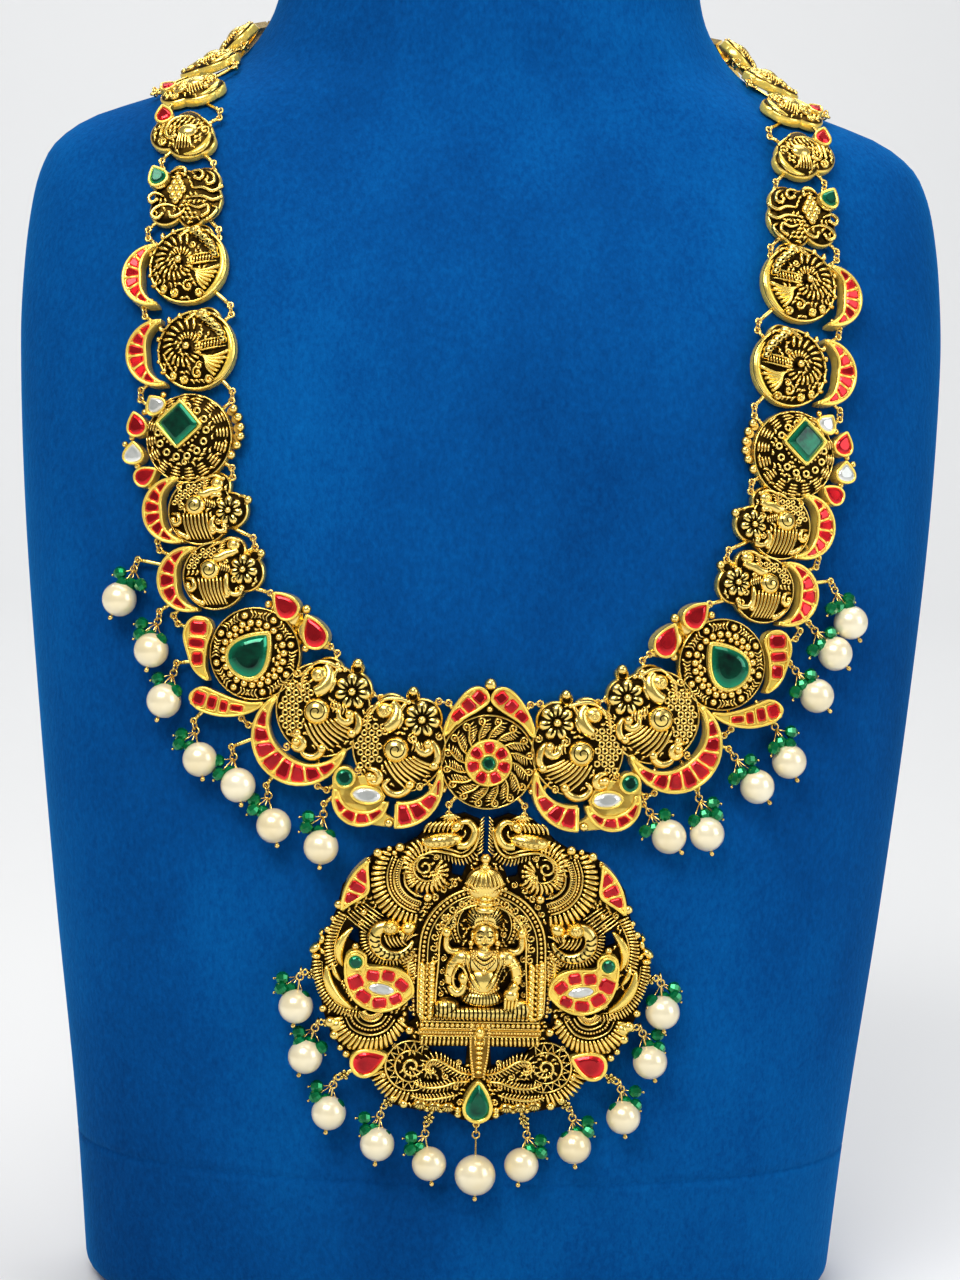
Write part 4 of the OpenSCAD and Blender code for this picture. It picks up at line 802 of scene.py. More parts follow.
def frond(gold, spine, wide, barbs, ground=plateTop, high=0.75, sides=(-1, 1), width=0.4, sweep=0.5):
    points = evenPoints(spine, barbs + 2)
    for k in range(1, barbs + 1):
        (x0, y0), (x1, y1), (x2, y2) = points[k - 1], points[k], points[k + 1]
        size = dist((x0, y0), (x2, y2)) or 1
        tx, ty = (x2 - x0) / size, (y2 - y0) / size
        reach = wide * (0.6 + 0.4 * sin(pi * (k + 0.5) / (barbs + 1)))
        for side in sides:
            nx, ny = -ty * side, tx * side
            path = [(x1 + nx * 0.1, y1 + ny * 0.1), (x1 + (nx + tx * sweep) * reach, y1
                + (ny + ty * sweep) * reach)]
            ridge(gold, path, width, high, ground, (0.7, 0.6), 4, 1)
    ridge(gold, spine, width * 1.5, high + 0.35, ground, (0.7, 0.7), 16, 1.3)


# dark is the highest painted-shade tone that still counts as bare ground
filler = {"dark": 0.2, "level": 0.5, "above": 30, "sunk": 0.05, "leaf": [(-0.62, -0.1), (0, 0.16),
    (0.7, -0.12)]}


def fillGround(gold, sizes=((1.1, 2.1), (0.5, 1.15)), finishAndShade=1.1):  # curls and leaves on bare ground, whose low tone paints it dark as shade
    xs, ys = [v.co.x for v in gold.verts], [v.co.y for v in gold.verts]
    layer = gold.verts.layers.float["ridge"]  # a bare place has that low painted-shade tone all round it
    x0, x1, y0, y1 = min(xs), max(xs), min(ys), max(ys)
    down = Vector((0, 0, -1))
    for reach, pitch in sizes:
        tree = BVHTree.FromBMesh(gold)
        tones = [max(v[layer] for v in f.verts) for f in gold.faces]
        row, y = 0, y0
        while y < y1:
            x = x0 + (pitch / 2 if row % 2 else 0)
            while x < x1:
                heights = []
                for px, py in [(x, y)] + placed(circleOutline(reach, 6), x, y):
                    hit, normal, face, far = tree.ray_cast(Vector((px, py, filler["above"])), down)
                    if hit is None or normal.z < filler["level"] or tones[face] > filler["dark"]:
                        break
                    heights.append(hit.z)
                if len(heights) == 7:
                    turn = degrees(atan2(y, x)) + rng.uniform(20, 110)
                    base = min(heights) - filler["sunk"]
                    if reach > 0.8:
                        curls(gold, base, (x, y, reach * 0.92, turn, 1.25))
                    else:
                        ridge(gold, placed(filler["leaf"], x, y, turn), 0.72, 0.75, base, (1, 0.3), 4, finishAndShade)
                x += pitch
            y += pitch * 0.87
            row += 1


# Peacock links: body, flower, head, ball and what lies round them
peacocks = {
    12: {"body": (1.1, 1, 11, 1.7), "lobes": [(7.9, 5.2, 4.7, 0.8), (2.6, 9.2, 3.8, 0.6),
        (9.1, 10.3, 1.6, 0.3)],
         "flower": (8, 5.1, 4.2), "ball": (0, 0.7, 3.1), "head": (0.5, 8.9, 2.1),
         "neck": [(-0.4, 5), (1.2, 5.8), (2.5, 7.4), (2.8, 9.4), (1.8, 11.2)],
         "crest": [[(-1.8, 10.6), (0.4, 11.9), (3, 11.5), (5.2, 10)], [(3.6, 7.2), (4.1, 9.2), (5, 10.4)],
             [(3, 5), (3.7, 6.6), (4.2, 8.2)], [(-3.2, 8.8), (-2.2, 10), (-1, 11)]],
         "ribs": ((-2.9, -1.9), (3.9, -0.9), (1.4, -8.9), (9.4, -4.2), 8),
         "fill": [(-6.6, 6.6, 1.2, 60), (-4.6, 9.4, 1.2, 160), (-7.4, -7.4, 1.1, 200), (4.2, 2, 1.3, 90),
             (10.6, -2, 1, 90), (5, -9.6, 1.1, 20), (-3.4, 5.9, 1, 90)],
         "field": [(-3.4, 7.2), (-0.4, 5.6), (-2.6, 3), (-3.6, 0.6), (-3.6, -2), (-5.2, -4.6), (-7.6, -5.6),
             (-9, -2.4), (-9.2, 1.4), (-8, 5), (-5.8, 7.6)],
         "hooks": [[(-6.6, -4.6), (-4.2, -5.2), (-3.2, -6.6), (-4.2, -8), (-5.6, -7.4), (-5, -6.2)],
             [(-4.4, -7.6), (-3.4, -9.2), (-1.4, -9.9), (0.4, -9), (0.9, -7.8)],
             [(5.2, 1.4), (4.9, -0.6), (6.2, -1.8), (7.6, -1.4), (7.4, 0)],
             [(8.4, 0.6), (9.4, -1.4), (9, -3.6), (7.8, -4.4)]],
         "balls": [(9.2, 11.4, 1.25), (4.6, 11, 0.9), (6.3, 10, 0.7), (-4.6, -4.2, 0.9)],
         "rows": [(-4.2, -5.3, 11.2, 119, 346, 6.3, 8)]},
    13: {"body": (0.8, 0, 10.8, 1.7), "lobes": [(6, 6.4, 4.7, 0.8), (-1, 8.4, 3.8, 0.6),
        (3.9, 11.6, 1.6, 0.3)],
         "flower": (6, 6.3, 4.2), "ball": (0.2, -0.5, 3.05), "head": (-2.4, 8.2, 2.1),
         "neck": [(-2.2, 4.2), (-1, 5), (0.1, 6.6), (0.3, 8.6), (-0.8, 10.3)],
         "crest": [[(-4.2, 9.8), (-2, 11), (0.6, 10.9), (3, 10.2)], [(1, 6.8), (1.4, 8.8), (2.4, 10)],
             [(0.6, 4.2), (1.3, 5.8), (1.6, 7.6)], [(-5.6, 7.6), (-4.8, 9), (-3.6, 10.2)]],
         "ribs": ((-2.4, -3.1), (3.9, -2), (2.6, -9.6), (10, -4.6), 8), "fill": [(-6.8, 6.6, 1.2, 60),
             (-8.6, -5.4, 1.1, 200), (4, 2, 1.3, 90), (10, 2.4, 1, 90), (5.6, -9.2, 1.1, 20),
             (-2.2, 3.6, 1, 90)],
         "field": [(-4.6, 6.6), (-1.4, 4.4), (-2.9, 1.9), (-3.5, -0.6), (-3.5, -3), (-5.4, -5.4),
             (-7.8, -5.8), (-8.8, -2.6), (-8.8, 1), (-7.6, 4.6)],
         "hooks": [[(-6.4, -5), (-4.6, -5.2), (-3.4, -6.6), (-4.2, -8.2), (-5.8, -8), (-5.8, -6.8)],
             [(-1.2, -7.2), (-2.6, -8.6), (-1.4, -10.4), (0.8, -10.9), (2.8, -9.8), (3.4, -8.6)],
             [(5, 1.2), (5.2, -0.6), (6.8, -1.4), (8, -0.4), (7.4, 0.8)],
             [(8, 1.6), (9.2, 0), (9.6, -2.4), (8.8, -4.2)]],
         "balls": [(4, 12.6, 1.2), (-5, -6.9, 0.9), (1.2, 10.8, 0.8)],
         "rows": [(-7.9, -11.8, 6.6, 160, 352, 3.9, 4), (0.6, -8.2, 10.5, 266, 378, 6.2, 4, 0.5)]},
    9: {"body": (1.3, -0.3, 7.9, 1.4), "lobes": [(8.5, -0.4, 4.3, 0.7), (5.6, 5.2, 3.2, 0.5),
        (11.2, 1.6, 1.6, 0.3)],
        "flower": (8.4, -0.5, 3.3), "ball": (0.7, 0.9, 2.5), "head": (5.6, 5.8, 1.6),
        "neck": [(1.6, 3.6), (2.8, 3.4), (4.2, 4), (5.6, 4.2), (7, 4.8)],
        "crest": [[(2.2, 6.6), (3.6, 7.3), (5.4, 7.6), (7.2, 6.8)], [(0, 6), (1.6, 6.9), (3, 7.2)]],
        "ribs": ((-2.2, -0.8), (3.4, -0.8), (-0.8, -6.8), (4.4, -6.9), 7),
        "fill": [(-3.4, 5.4, 0.9, 60), (6.4, 1.6, 0.9, 0), (6, -3, 0.8, 90)],
        "field": [(-1.2, 6.4), (3.4, 6.6), (4, 4.6), (1.4, 4), (-1.6, 2.6), (-2.6, 0.6), (-5.4, 0.8),
            (-5, 3.6)],
        "hooks": [[(-5.4, -0.8), (-3.6, -1), (-3.2, -2.8), (-4.6, -3.2), (-4.9, -2.2)],
            [(-4.4, -4.2), (-3.2, -5.4), (-1.6, -6.2)], [(4.4, 2.4), (5, 3.2), (6.2, 3.2)],
            [(4.6, -3.2), (5.6, -5), (7.4, -5), (7.2, -3.8)], [(5.2, -1.6), (4.4, -3.2), (4.6, -5.2)]],
        "balls": [(12.7, 1.8, 1.05), (-4.7, 2.2, 0.9), (4.6, 7, 0.6), (8.8, 4.2, 0.6)],
        "rows": [(-4.7, 0, 7.7, 82, 286, 5, 6)]},
    10: {"body": (1.3, -0.3, 7.9, 1.4), "lobes": [(8.5, 0.2, 4.5, 0.7), (5.6, 5.4, 3.2, 0.5),
        (10.9, 4, 1.6, 0.3)],
         "flower": (8.3, 0.9, 3.4), "ball": (0.6, 1.1, 2.5), "head": (6, 6.6, 1.6),
         "neck": [(1.6, 3.8), (2.8, 3.8), (4.4, 4.6), (5.8, 4.9), (7.2, 5.4)],
         "crest": [[(2.2, 6.8), (3.8, 7.7), (5.6, 8.2), (7.4, 7.6)], [(0, 6), (1.6, 6.9), (3, 7.4)]],
         "ribs": ((-2.2, -0.6), (3.2, -0.6), (-0.4, -6.9), (4.2, -6.9), 7),
         "fill": [(-3.4, 5.4, 0.9, 60), (6.2, -1.4, 0.9, 0), (4.4, 3, 0.7, 90)],
         "field": [(-1.2, 6.4), (3.2, 6.8), (4, 5), (1.2, 4.2), (-1.8, 2.8), (-2.6, 0.8), (-5.4, 1),
             (-5, 3.8)],
         "hooks": [[(-5.4, -0.6), (-3.6, -1), (-3.2, -2.8), (-4.6, -3.4), (-4.9, -2.2)],
             [(-4.4, -4.2), (-3.2, -5.6), (-1.6, -6.4)], [(4.6, -2.6), (5.2, -4.4), (7.2, -4.6), (7.8, -3.2)],
             [(4.6, 0.2), (4.4, -1.6), (4.4, -4.8)]],
         "balls": [(12.3, 4.5, 1.05), (-4.8, 2.2, 0.9), (5, 8, 0.6)],
         "rows": [(-4.8, -0.9, 7.6, 76, 286, 5, 5)]},
}


def peacockLink(i, gold, gems):
    s = peacocks[i]
    bx, by, br, dome = s["body"]
    over = domed(bx, by, br, dome)
    big = i >= 12
    puck(gold, bx, by, br, 1.5, dome)
    for x, y, r, d in s["lobes"]:
        puck(gold, x, y, r, 1.56, d, sides=24)
    collar(gold, arcPath(bx, by, br - 0.3, 0, 350, 24), 0.5, 0.5, 1.9, 44, 1.3)
    x, y, r = s["flower"]
    flower(gold, x, y, r, 7, lambda px, py: max(2.55, over(px, py)))
    ballX, ballY, ballR = s["ball"]
    spiralBall(gold, ballX, ballY, ballR, ballR * 0.85, over)
    a, b, c, d, n = s["ribs"]
    bendX, bendY = (-0.5, -0.2) if big else (-0.4, 0)
    for k in range(n):
        p, q = between(a, b, k / (n - 1)), between(c, d, k / (n - 1))
        x, y = between(p, q, 0.5)
        ridge(gold, [p, (x + bendX, y + bendY), q], 0.82 if big else 0.7, 1.1, over, (0.7, 0.6), 7, 1.15)
    upper = lambda px, py: max(2.4, over(px, py))
    hx, hy, hr = s["head"]
    knob(gold, hx, hy, hr, hr * 0.95, hr * 0.8, 0, upper)
    eyeTop = upper(hx, hy) + hr * 0.72
    ringlet(gold, hx - 0.1, hy, eyeTop, hr * 0.42, hr * 0.3, 10)
    ball(gold, hx - 0.1, hy, hr * 0.16, eyeTop, 0.4, 1)
    strand(gold, s["neck"], 3.3 if big else 2.4, 1.7, upper, 1.25, (0.9, 0.6), 22)
    for k, path in enumerate(s["crest"]):
        scroll(gold, path, 1.15 if big else 0.85, 1.1, upper, k == 0, 1.2)
    ringlets(gold, s["field"], 1.72 if big else 1.36, 0.86 if big else 0.68, over,
        [(ballX, ballY, ballR + 0.35)])
    for path in s["hooks"]:
        scroll(gold, path, 2 if big else 1.4, 1.4, over)
    curls(gold, over, *s["fill"])
    f = 1 if big else 0.75
    for k in range(5):  # feathers behind the head and leaves beside the ball
        feather = ((2.2 + 0.2 * k, 1.2 - 0.8 * k), (3.4 + 0.2 * k, 0.8 - 0.9 * k),
            (4.4 - 0.1 * k, -0.4 - 1 * k))
        ridge(gold, [(hx - u * f, hy + v * f) for u, v in feather], 0.6 * f, 1, over, (0.7, 0.4), 6, 1.1)
        leaf = ((0.5, 2.6 - 0.3 * k), (0.9, 1.2 - 0.3 * k), (0.5, -0.2 - 0.2 * k))
        ridge(gold, [(ballX + (ballR + u + 0.7 * k) * f, ballY + v * f) for u, v in leaf], 0.6 * f, 1, over,
            (0.4, 0.6), 6, 1.1)
    for x, y, r in s["balls"]:
        if big or r > 1:
            ball(gold, x, y, r, lambda px, py: max(1.2, over(px, py) - 0.8) if r > 1 else over(px, py), 0.5)
    for row in s["rows"]:
        stoneRow(gold, gems, *row)
    fillGround(gold)
    if i == 13:
        slab(gold, [(-14.1, -7), (-14, -12), (-9, -9.4), (-3.6, -9), (-2.2, -11.4), (-3.2, -13.6),
            (-1.8, -15.6), (0.6, -17), (-1.6, -18.4), (-6, -17.8), (-6.8, -13.8), (-9.2, -12.4), (-12, -9),
            (-9.2, -6.6)], 0, 2.9, 0.2, 1.6)
        slab(gold, placed(circleOutline(4.6), -7.4, -11.2), 0, 2.9, 0.2, 1.6)
        ball(gold, -1.4, -17.4, 1.1, 2.4, 0.5)
        bezel(gold, gems, placed(circleOutline(2.6), -11.5, -7), "emerald", 1.6, 0.8)
        oval = [(2.2 * sin(a) * abs(sin(a)) ** 0.15, 3.8 * cos(a)) for a in turns(18)]
        bezel(gold, gems, placed(oval, -6.5, -11, 84), "whiteStone", 1.6, 0.65)


# Links 6 and 7: a curled-up bird with a ring of ribbed feathers
curledBird = {
    "body": (0.6, 0, 9.4, 1.6), "neck": (3, 6.6, 3.4, 0.5), "ring": (-1.4, 0.6, 5.6, 2.2, 25),
    "scales": [(3, 7, 1.5), (4.3, 6, 1.5), (5.5, 4.8, 1.45), (6.5, 3.4, 1.3), (7.1, 2, 1.1)],
    "rows": {6: (-7.4, -2.5, 7.6, 88, 282, 5, 6), 7: (-8.2, -0.5, 7.9, 86, 284, 5.2, 6)},
}


def curledLink(i, gold, gems):
    s = curledBird
    bx, by, br, dome = s["body"]
    over = domed(bx, by, br, dome)
    puck(gold, bx, by, br, 1.5, dome, 1.5, 0.08)
    nx, ny, nr, nd = s["neck"]
    puck(gold, nx, ny, nr, 1.55, nd, 1.5, 0.08)
    collar(gold, arcPath(bx, by, br - 0.35, 0, 350, 24), 0.7, 0.55, 2, 40, 1.5)
    cx, cy, r0, r1, n = s["ring"]
    for k in range(n):  # feathers wind inwards
        t = k / (n - 1)
        a = radians(70 + 415 * t)
        mid, half = r0 + (r1 - r0) * t**0.8, 1.25 - 0.55 * t
        p = [around(cx, cy, a + 0.1 * e, mid + e * half) for e in (-1, 0, 1)]
        ridge(gold, p, 0.9 - 0.34 * t, 1.25, over, (0.5, 0.9), 6, 1.25)
    ball(gold, cx + 0.3, cy, 0.9, over, 1.1)
    for x, y, r in s["scales"]:
        knob(gold, x, y, r * 1.1, r * 0.9, 1.7, -40, over, 2)
        # a dot and a chevron on each scale, painted near black as shade
        stamp(gold, "paintedShadeMound", 1, sized(x + 0.1, y, over(x, y) + 1.62, 0.36))
        ridge(gold, placed([(-0.9 * r, -0.8 * r), (0.95 * r, 0), (-0.9 * r, 0.8 * r)], x, y, -40), 0.42, 0.5,
            lambda u, v: over(u, v) + 0.9, finishAndShade=0.03)
    knob(gold, 2, 8.2, 1.7, 1.3, 1.4, 20, 2.6, 2)
    ball(gold, 2.4, 8.3, 0.42, 3.6, 0.5)
    strand(gold, [(3.4, 8), (4.8, 8.2), (5.6, 7.4)], 0.8, 0.8, 2.4)
    for k in range(3):
        scroll(gold, [(1, 8.8), (0.2 - 0.4 * k, 9 - 0.8 * k), (-0.9 - 0.5 * k, 8.6 - 1 * k)], 0.6, 0.7, over,
            True)
    for k in range(9):  # ribbed band under the scales
        t = k / 8
        x, y = 1.3 + 5.6 * t, 0.3 + 1.2 * t
        ridge(gold, [(x - 0.15, y - 0.8), (x, y), (x + 0.1, y + 0.8)], 0.5, 1.2, over, (0.6, 0.6), 5, 1.2)
    ridge(gold, [(0.9, 1.2), (4, 1.9), (7.4, 2.5)], 0.5, 1.3, over, finishAndShade=1.4)
    ridge(gold, [(1, -0.7), (4.2, -0.2), (7.9, 0.5)], 0.5, 1.3, over, finishAndShade=1.4)
    for k in range(6):  # smooth flutes of the wing
        t = k / 5
        end = (8.6 - 3.2 * t, -0.6 - 5.6 * t**0.8)
        mid = (5 - 1.2 * t, -2.1 - 2.4 * t)
        ridge(gold, [(1.6 + 0.3 * k, -1.4), mid, end], 0.95, 1.3, over, (0.35, 0.8), 8, 1.5)
    for a in fan(9, 100, 20):  # leaves round the outer side
        p = [around(cx, cy, a + w, q) for q, w in ((6.9, 0), (7.7, 0.1), (8.5, 0.02))]
        p = [(min(max(x, -8.4), 8), min(max(y, -8.4), 8.6)) for x, y in p]
        ridge(gold, p, 1.2, 1.3, over, (0.3, 0.6), 6, 1.2)
    for x, y, r, a in ((1.4, -5.6, 1.5, 60), (-1.8, -6.9, 1.1, 140), (-4.6, -5.9, 1, 200), (4, -7.2, 1, 10)):
        scroll(gold, spiralPath(x, y, r, 0.25, a, 1.2, 12), 0.8, 1.3, over, finishAndShade=1.3, cuts=12)
    strand(gold, arcPath(bx, by, br - 1, -62, 40, 12), 1.9, 0.9, 2, 1.9, (0.2, 0.2), 26)  # polished side
    stoneRow(gold, gems, *s["rows"][i])
    fillGround(gold)


# Link 8: a disc with a raised square emerald
squareDisc = {
    "body": (0, 0, 10.4, 2), "gem": (-1.6, 3.1, 40, 8.2), "loops": (14, -1.2, 1.5, 5.9, 0.98),
        "coils": (16, -0.3, 0.4, 8.75),
    "beads": [(10.7, 6.4), (11.8, 4.4), (12.3, 2.1), (12.3, 0), (11.5, -2), (10.1, -4.2)],
    "small": [(-10.8, 6.6), (-13.9, 0.8), (-12.6, -5.8), (-6.2, 10.4), (-15.6, -0.6)],
    "settings": [("whiteStone", -7.9, 8.1, 30, 5, 5.6), ("ruby", -12.4, 3.8, 12, 6.2, 5.4),
        ("whiteStone", -13.2, -2.8, 0, 5.6, 5.6), ("ruby", -10.2, -8.2, -62, 6.2, 5)],
}


def squareOutline(a, clip=0.6):
    h = a / 2
    return [(h - clip, -h), (h, -h + clip), (h, h - clip), (h - clip, h), (-h + clip, h), (-h, h - clip),
        (-h, -h + clip), (-h + clip, -h)]


def squareLink(i, gold, gems):
    s = squareDisc
    bx, by, br, dome = s["body"]
    over = domed(bx, by, br, dome)
    puck(gold, bx, by, br, 1.5, dome, 1.4)
    collar(gold, arcPath(bx, by, br - 0.25, 0, 350, 24), 0.45, 0.6, 1.9, 44, 1.4)
    n, cx, cy, r = s["coils"]
    for a in turns(n, 4):
        for q in range(4):  # each barrel is a stack of ribs
            half = 0.16 - 0.012 * abs(q - 1.5)
            p = [around(cx, cy, a + e * half, r - 1.2 + 0.72 * q) for e in (-0.85, -0.4, 0.4, 0.85)]
            p = [(x * min(1, 10.1 / hypot(x, y)), y * min(1, 10.1 / hypot(x, y))) for x, y in p]
            ridge(gold, p, 0.62, 1, over, (0.5, 0.5), 5, 1.05)
    n, cx, cy, r, q = s["loops"]
    for a in turns(n):
        x, y = around(cx, cy, a, r)
        ringlet(gold, x, y, over(x, y) + 0.45, q, q, 10)
    x, y, spin, size = s["gem"]
    slab(gold, placed(squareOutline(size * 0.86), x, y, spin), 1.8, 3.4, 0.1, 0.6)
    for a in turns(28):  # granules under the raised setting
        px, py = around(x, y, a, 4.9)
        if hypot(px + 1.2, py - 1.5) < 5.2:
            ball(gold, px, py, 0.42, over, 0.6, 1)
    beadRow(gold, placed(squareOutline(size * 0.98), x, y, spin), 40, 0.38, 2.9, True, 0.6)
    bezel(gold, gems, placed(squareOutline(size), x, y, spin), "emerald", 2.9, 0.85, 1.5, 0.7, base=3.2)
    for x, y in s["beads"]:
        slab(gold, placed(circleOutline(1.1, 12), x * 0.93, y * 0.93), 0.4, 1.4, 0.1, 0.5)
        ball(gold, x, y, 1.05, 1.5, 0.4)
    for kind, x, y, spin, l, w in s["settings"]:
        bezel(gold, gems, placed(dropOutline(l, w, 20), x, y, spin), kind, 1.3, 0.7, 0.7)
    for x, y in s["small"]:
        ball(gold, x, y, 0.75, 1.6, 0.5)
    fillGround(gold)


# Link 11: a disc with a pear emerald among granules and coiled clusters
pearDisc = {
    "body": (0, 0, 10.7, 1.4), "gem": (-0.3, 0.2, -42, 13, 10.9), "granules": (23, 7.05, 0.86),
        "clusters": (8, 8.9),
    "settings": [(7.4, 11, 40, 7.8, 6.2), (14, 4.8, 22, 8.6, 6.4)],
    "lobes": [(8, 9, 3.4), (12.6, 4.8, 3.4)],
    "leaves": [([(-15.9, 6.4), (-14.6, 8.2), (-12.6, 8.8), (-10.4, 8), (-9.6, 6), (-10.8, 2.8), (-11.4, -0.5),
        (-11.5, -3.3), (-10.8, -5.9), (-12.7, -4.9), (-14.4, -2.8), (-15.5, 0.5), (-16.3, 4)], (-13, 3),
        [(-12.8, 6.2, 1.9, 1.5, -5), (-13.3, 2.7, 1.8, 1, -8), (-13.2, -0.8, 1.2, 1.4, 0)]),
        ([(-15.4, -9.6), (-14.1, -7.9), (-11.8, -7.4), (-9, -8.6), (-5.2, -10.2), (-1, -11.3), (2.3, -11.4),
        (-1.5, -13.4), (-6.2, -14.1), (-10.4, -13.5), (-13.9, -12)], (-9, -11),
        [(-13, -9.9, 1.4, 1.5, -20), (-10, -10.9, 1, 1.45, -15), (-7.3, -11.8, 0.85, 1.2, -12),
        (-4.3, -12.3, 1.4, 0.7, -8)])],
    "balls": [(12.3, 9.9, 1.1), (11.8, 1, 0.9), (3.4, 11.2, 0.9)],
}


def pearLink(i, gold, gems):
    s = pearDisc
    bx, by, br, dome = s["body"]
    over = domed(bx, by, br, dome)
    puck(gold, bx, by, br, 1.5, dome, 1.3)
    for x, y, r in s["lobes"]:
        puck(gold, x, y, r, 1.2, 0.2, 1.2, 0.9, sides=20)
    collar(gold, arcPath(bx, by, br - 0.25, 0, 350, 24), 0.45, 0.6, 1.9, 44, 1.4)
    n, r = s["clusters"]
    for a in turns(n, 12):
        ball(gold, *around(0, 0, a, r), 0.85, over, 0.9)
        for side in (-1, 1):
            for q in range(3):  # a shell of bent ribs on either side of the ball
                turn = a + side * (1.3 + 0.84 * q) / r
                p = [around(0, 0, turn + side * w, away) for away, w in ((7.95 + 0.1 * q, 0), (8.9, 0.07),
                    (10.1 - 0.3 * q, 0))]
                ridge(gold, p, 0.5, 1.15, over, (0.5, 0.9), 6, 1.1)
    n, r, q = s["granules"]
    for a in turns(n):
        ball(gold, *around(0, 0, a, r), q, over, 0.6)
    for a in turns(n, 180 / n):
        if cos(a - radians(48)) < 0.75:
            ball(gold, *around(0, 0, a, 5.9), q * 0.85, over, 0.6, 1)
    x, y, spin, l, w = s["gem"]
    outline = placed(dropOutline(l, w, 32), x, y, spin)
    bezel(gold, gems, outline, "emerald", 2, 1.15, 1.5, 0.62)
    for k in range(30):  # notches chased round the bezel
        ball(gold, *between((x, y), alongPath(outline, k / 30, True), 0.93), 0.22, 4.2, 0.6, 1)
    for x, y, spin, l, w in s["settings"]:
        bezel(gold, gems, placed(dropOutline(l, w, 24), x, y, spin), "ruby", 1.3, 0.75, 0.7)
    for outline, centre, stones in s["leaves"]:
        leafSlab(gold, outline, centre, 3.2)
        setStones(gold, gems, 3.2, stones)
    fillGround(gold)
    balls(gold, 1.5, *s["balls"], sit=0.5)


# Link 5: open floral scrolls round a bud, with a green cabochon
scrollLink5 = {
    "lobes": [(-2, 1, 6), (3.2, -1, 5.6), (4, 3.4, 4), (-4.4, -3.4, 4.2), (2, -4.6, 3.4), (-6.9, 4.2, 2.6)],
    "scrolls": [[(0.6, 5.8), (2.6, 6.2), (3.8, 5), (3, 3.8), (1.8, 4.4)],
        [(4.4, 6), (6.2, 5), (6.6, 3.2), (5.2, 2.6), (4.6, 3.6)], [(1.4, 1.6), (4, 1.8), (6.6, 0.8),
        (8.6, 2)], [(1.2, -0.6), (4.2, -0.4), (6.8, -1.4), (8.8, -0.6)],
        [(1, -2.4), (3.6, -3.4), (5.6, -2.6), (6.2, -4.4), (4.8, -5.4)],
        [(-5, -0.6), (-7.4, 0.4), (-8.8, -0.8), (-8, -2.2), (-6.8, -1.4)],
        [(-1.6, -3.2), (-4.4, -2.6), (-6.6, -3.4), (-7.6, -5.2), (-6, -6.2), (-5, -5)],
        [(-5, 2.2), (-6.6, 1.6), (-8.4, 2.2)], [(0.4, -3.4), (-0.6, -5), (-2.6, -5.8), (-3.4, -4.6)],
        [(6.6, -2.6), (8.2, -3.6), (7.4, -5.2), (6.2, -6.2)], [(-4.2, 5.6), (-2.6, 6.8), (-0.8, 6.4),
        (-0.8, 5)]],
}


def floralLink(i, gold, gems):
    for k, (x, y, r) in enumerate(scrollLink5["lobes"]):
        puck(gold, x, y, r, 1.3 + 0.03 * k, 0.5, 1.5, 0.1, sides=22)
    over = 2.35
    for path in scrollLink5["scrolls"]:
        scroll(gold, path, 0.95, 0.95, over, finishAndShade=1.3)
    for row, (y, n, r) in enumerate(((3.9, 1, 1.1), (2.6, 2, 1.15), (1.2, 3, 1.2), (-0.3, 2, 1.15),
            (-1.5, 1, 1))):
        for k in range(n):  # overlapping petals of the bud, each with a stroke painted darker as shade
            x = -2.2 + (k - (n - 1) / 2) * 1.5
            knob(gold, x, y, 0.95, r, 1.2 - 0.08 * row, 0, 2.6, 2)
            ridge(gold, [(x, y - 0.9), (x, y + 0.6)], 0.25, 0.2, 3.6 - 0.08 * row, cuts=4, finishAndShade=0.4)
    bezel(gold, gems, placed(dropOutline(5.8, 5.4, 20), -7.2, 4.4, 30), "emerald", 1.5, 0.8, 0.9)
    fillGround(gold, ((0.5, 1.2),), 1.3)


# Links 1 to 4: small birds with a ribbed wing and a curved neck
smallBirds = {
    1: {"size": (12.4, 11.2), "ruby": None}, 2: {"size": (14.8, 11.2), "ruby": None},
    3: {"size": (15.7, 11.2), "ruby": (-6.6, 1.4, 50, 5, 4.4)}, 4: {"size": (16.6, 11.6),
        "ruby": (-7.2, 2.6, 40, 5.4, 4.8)},
}


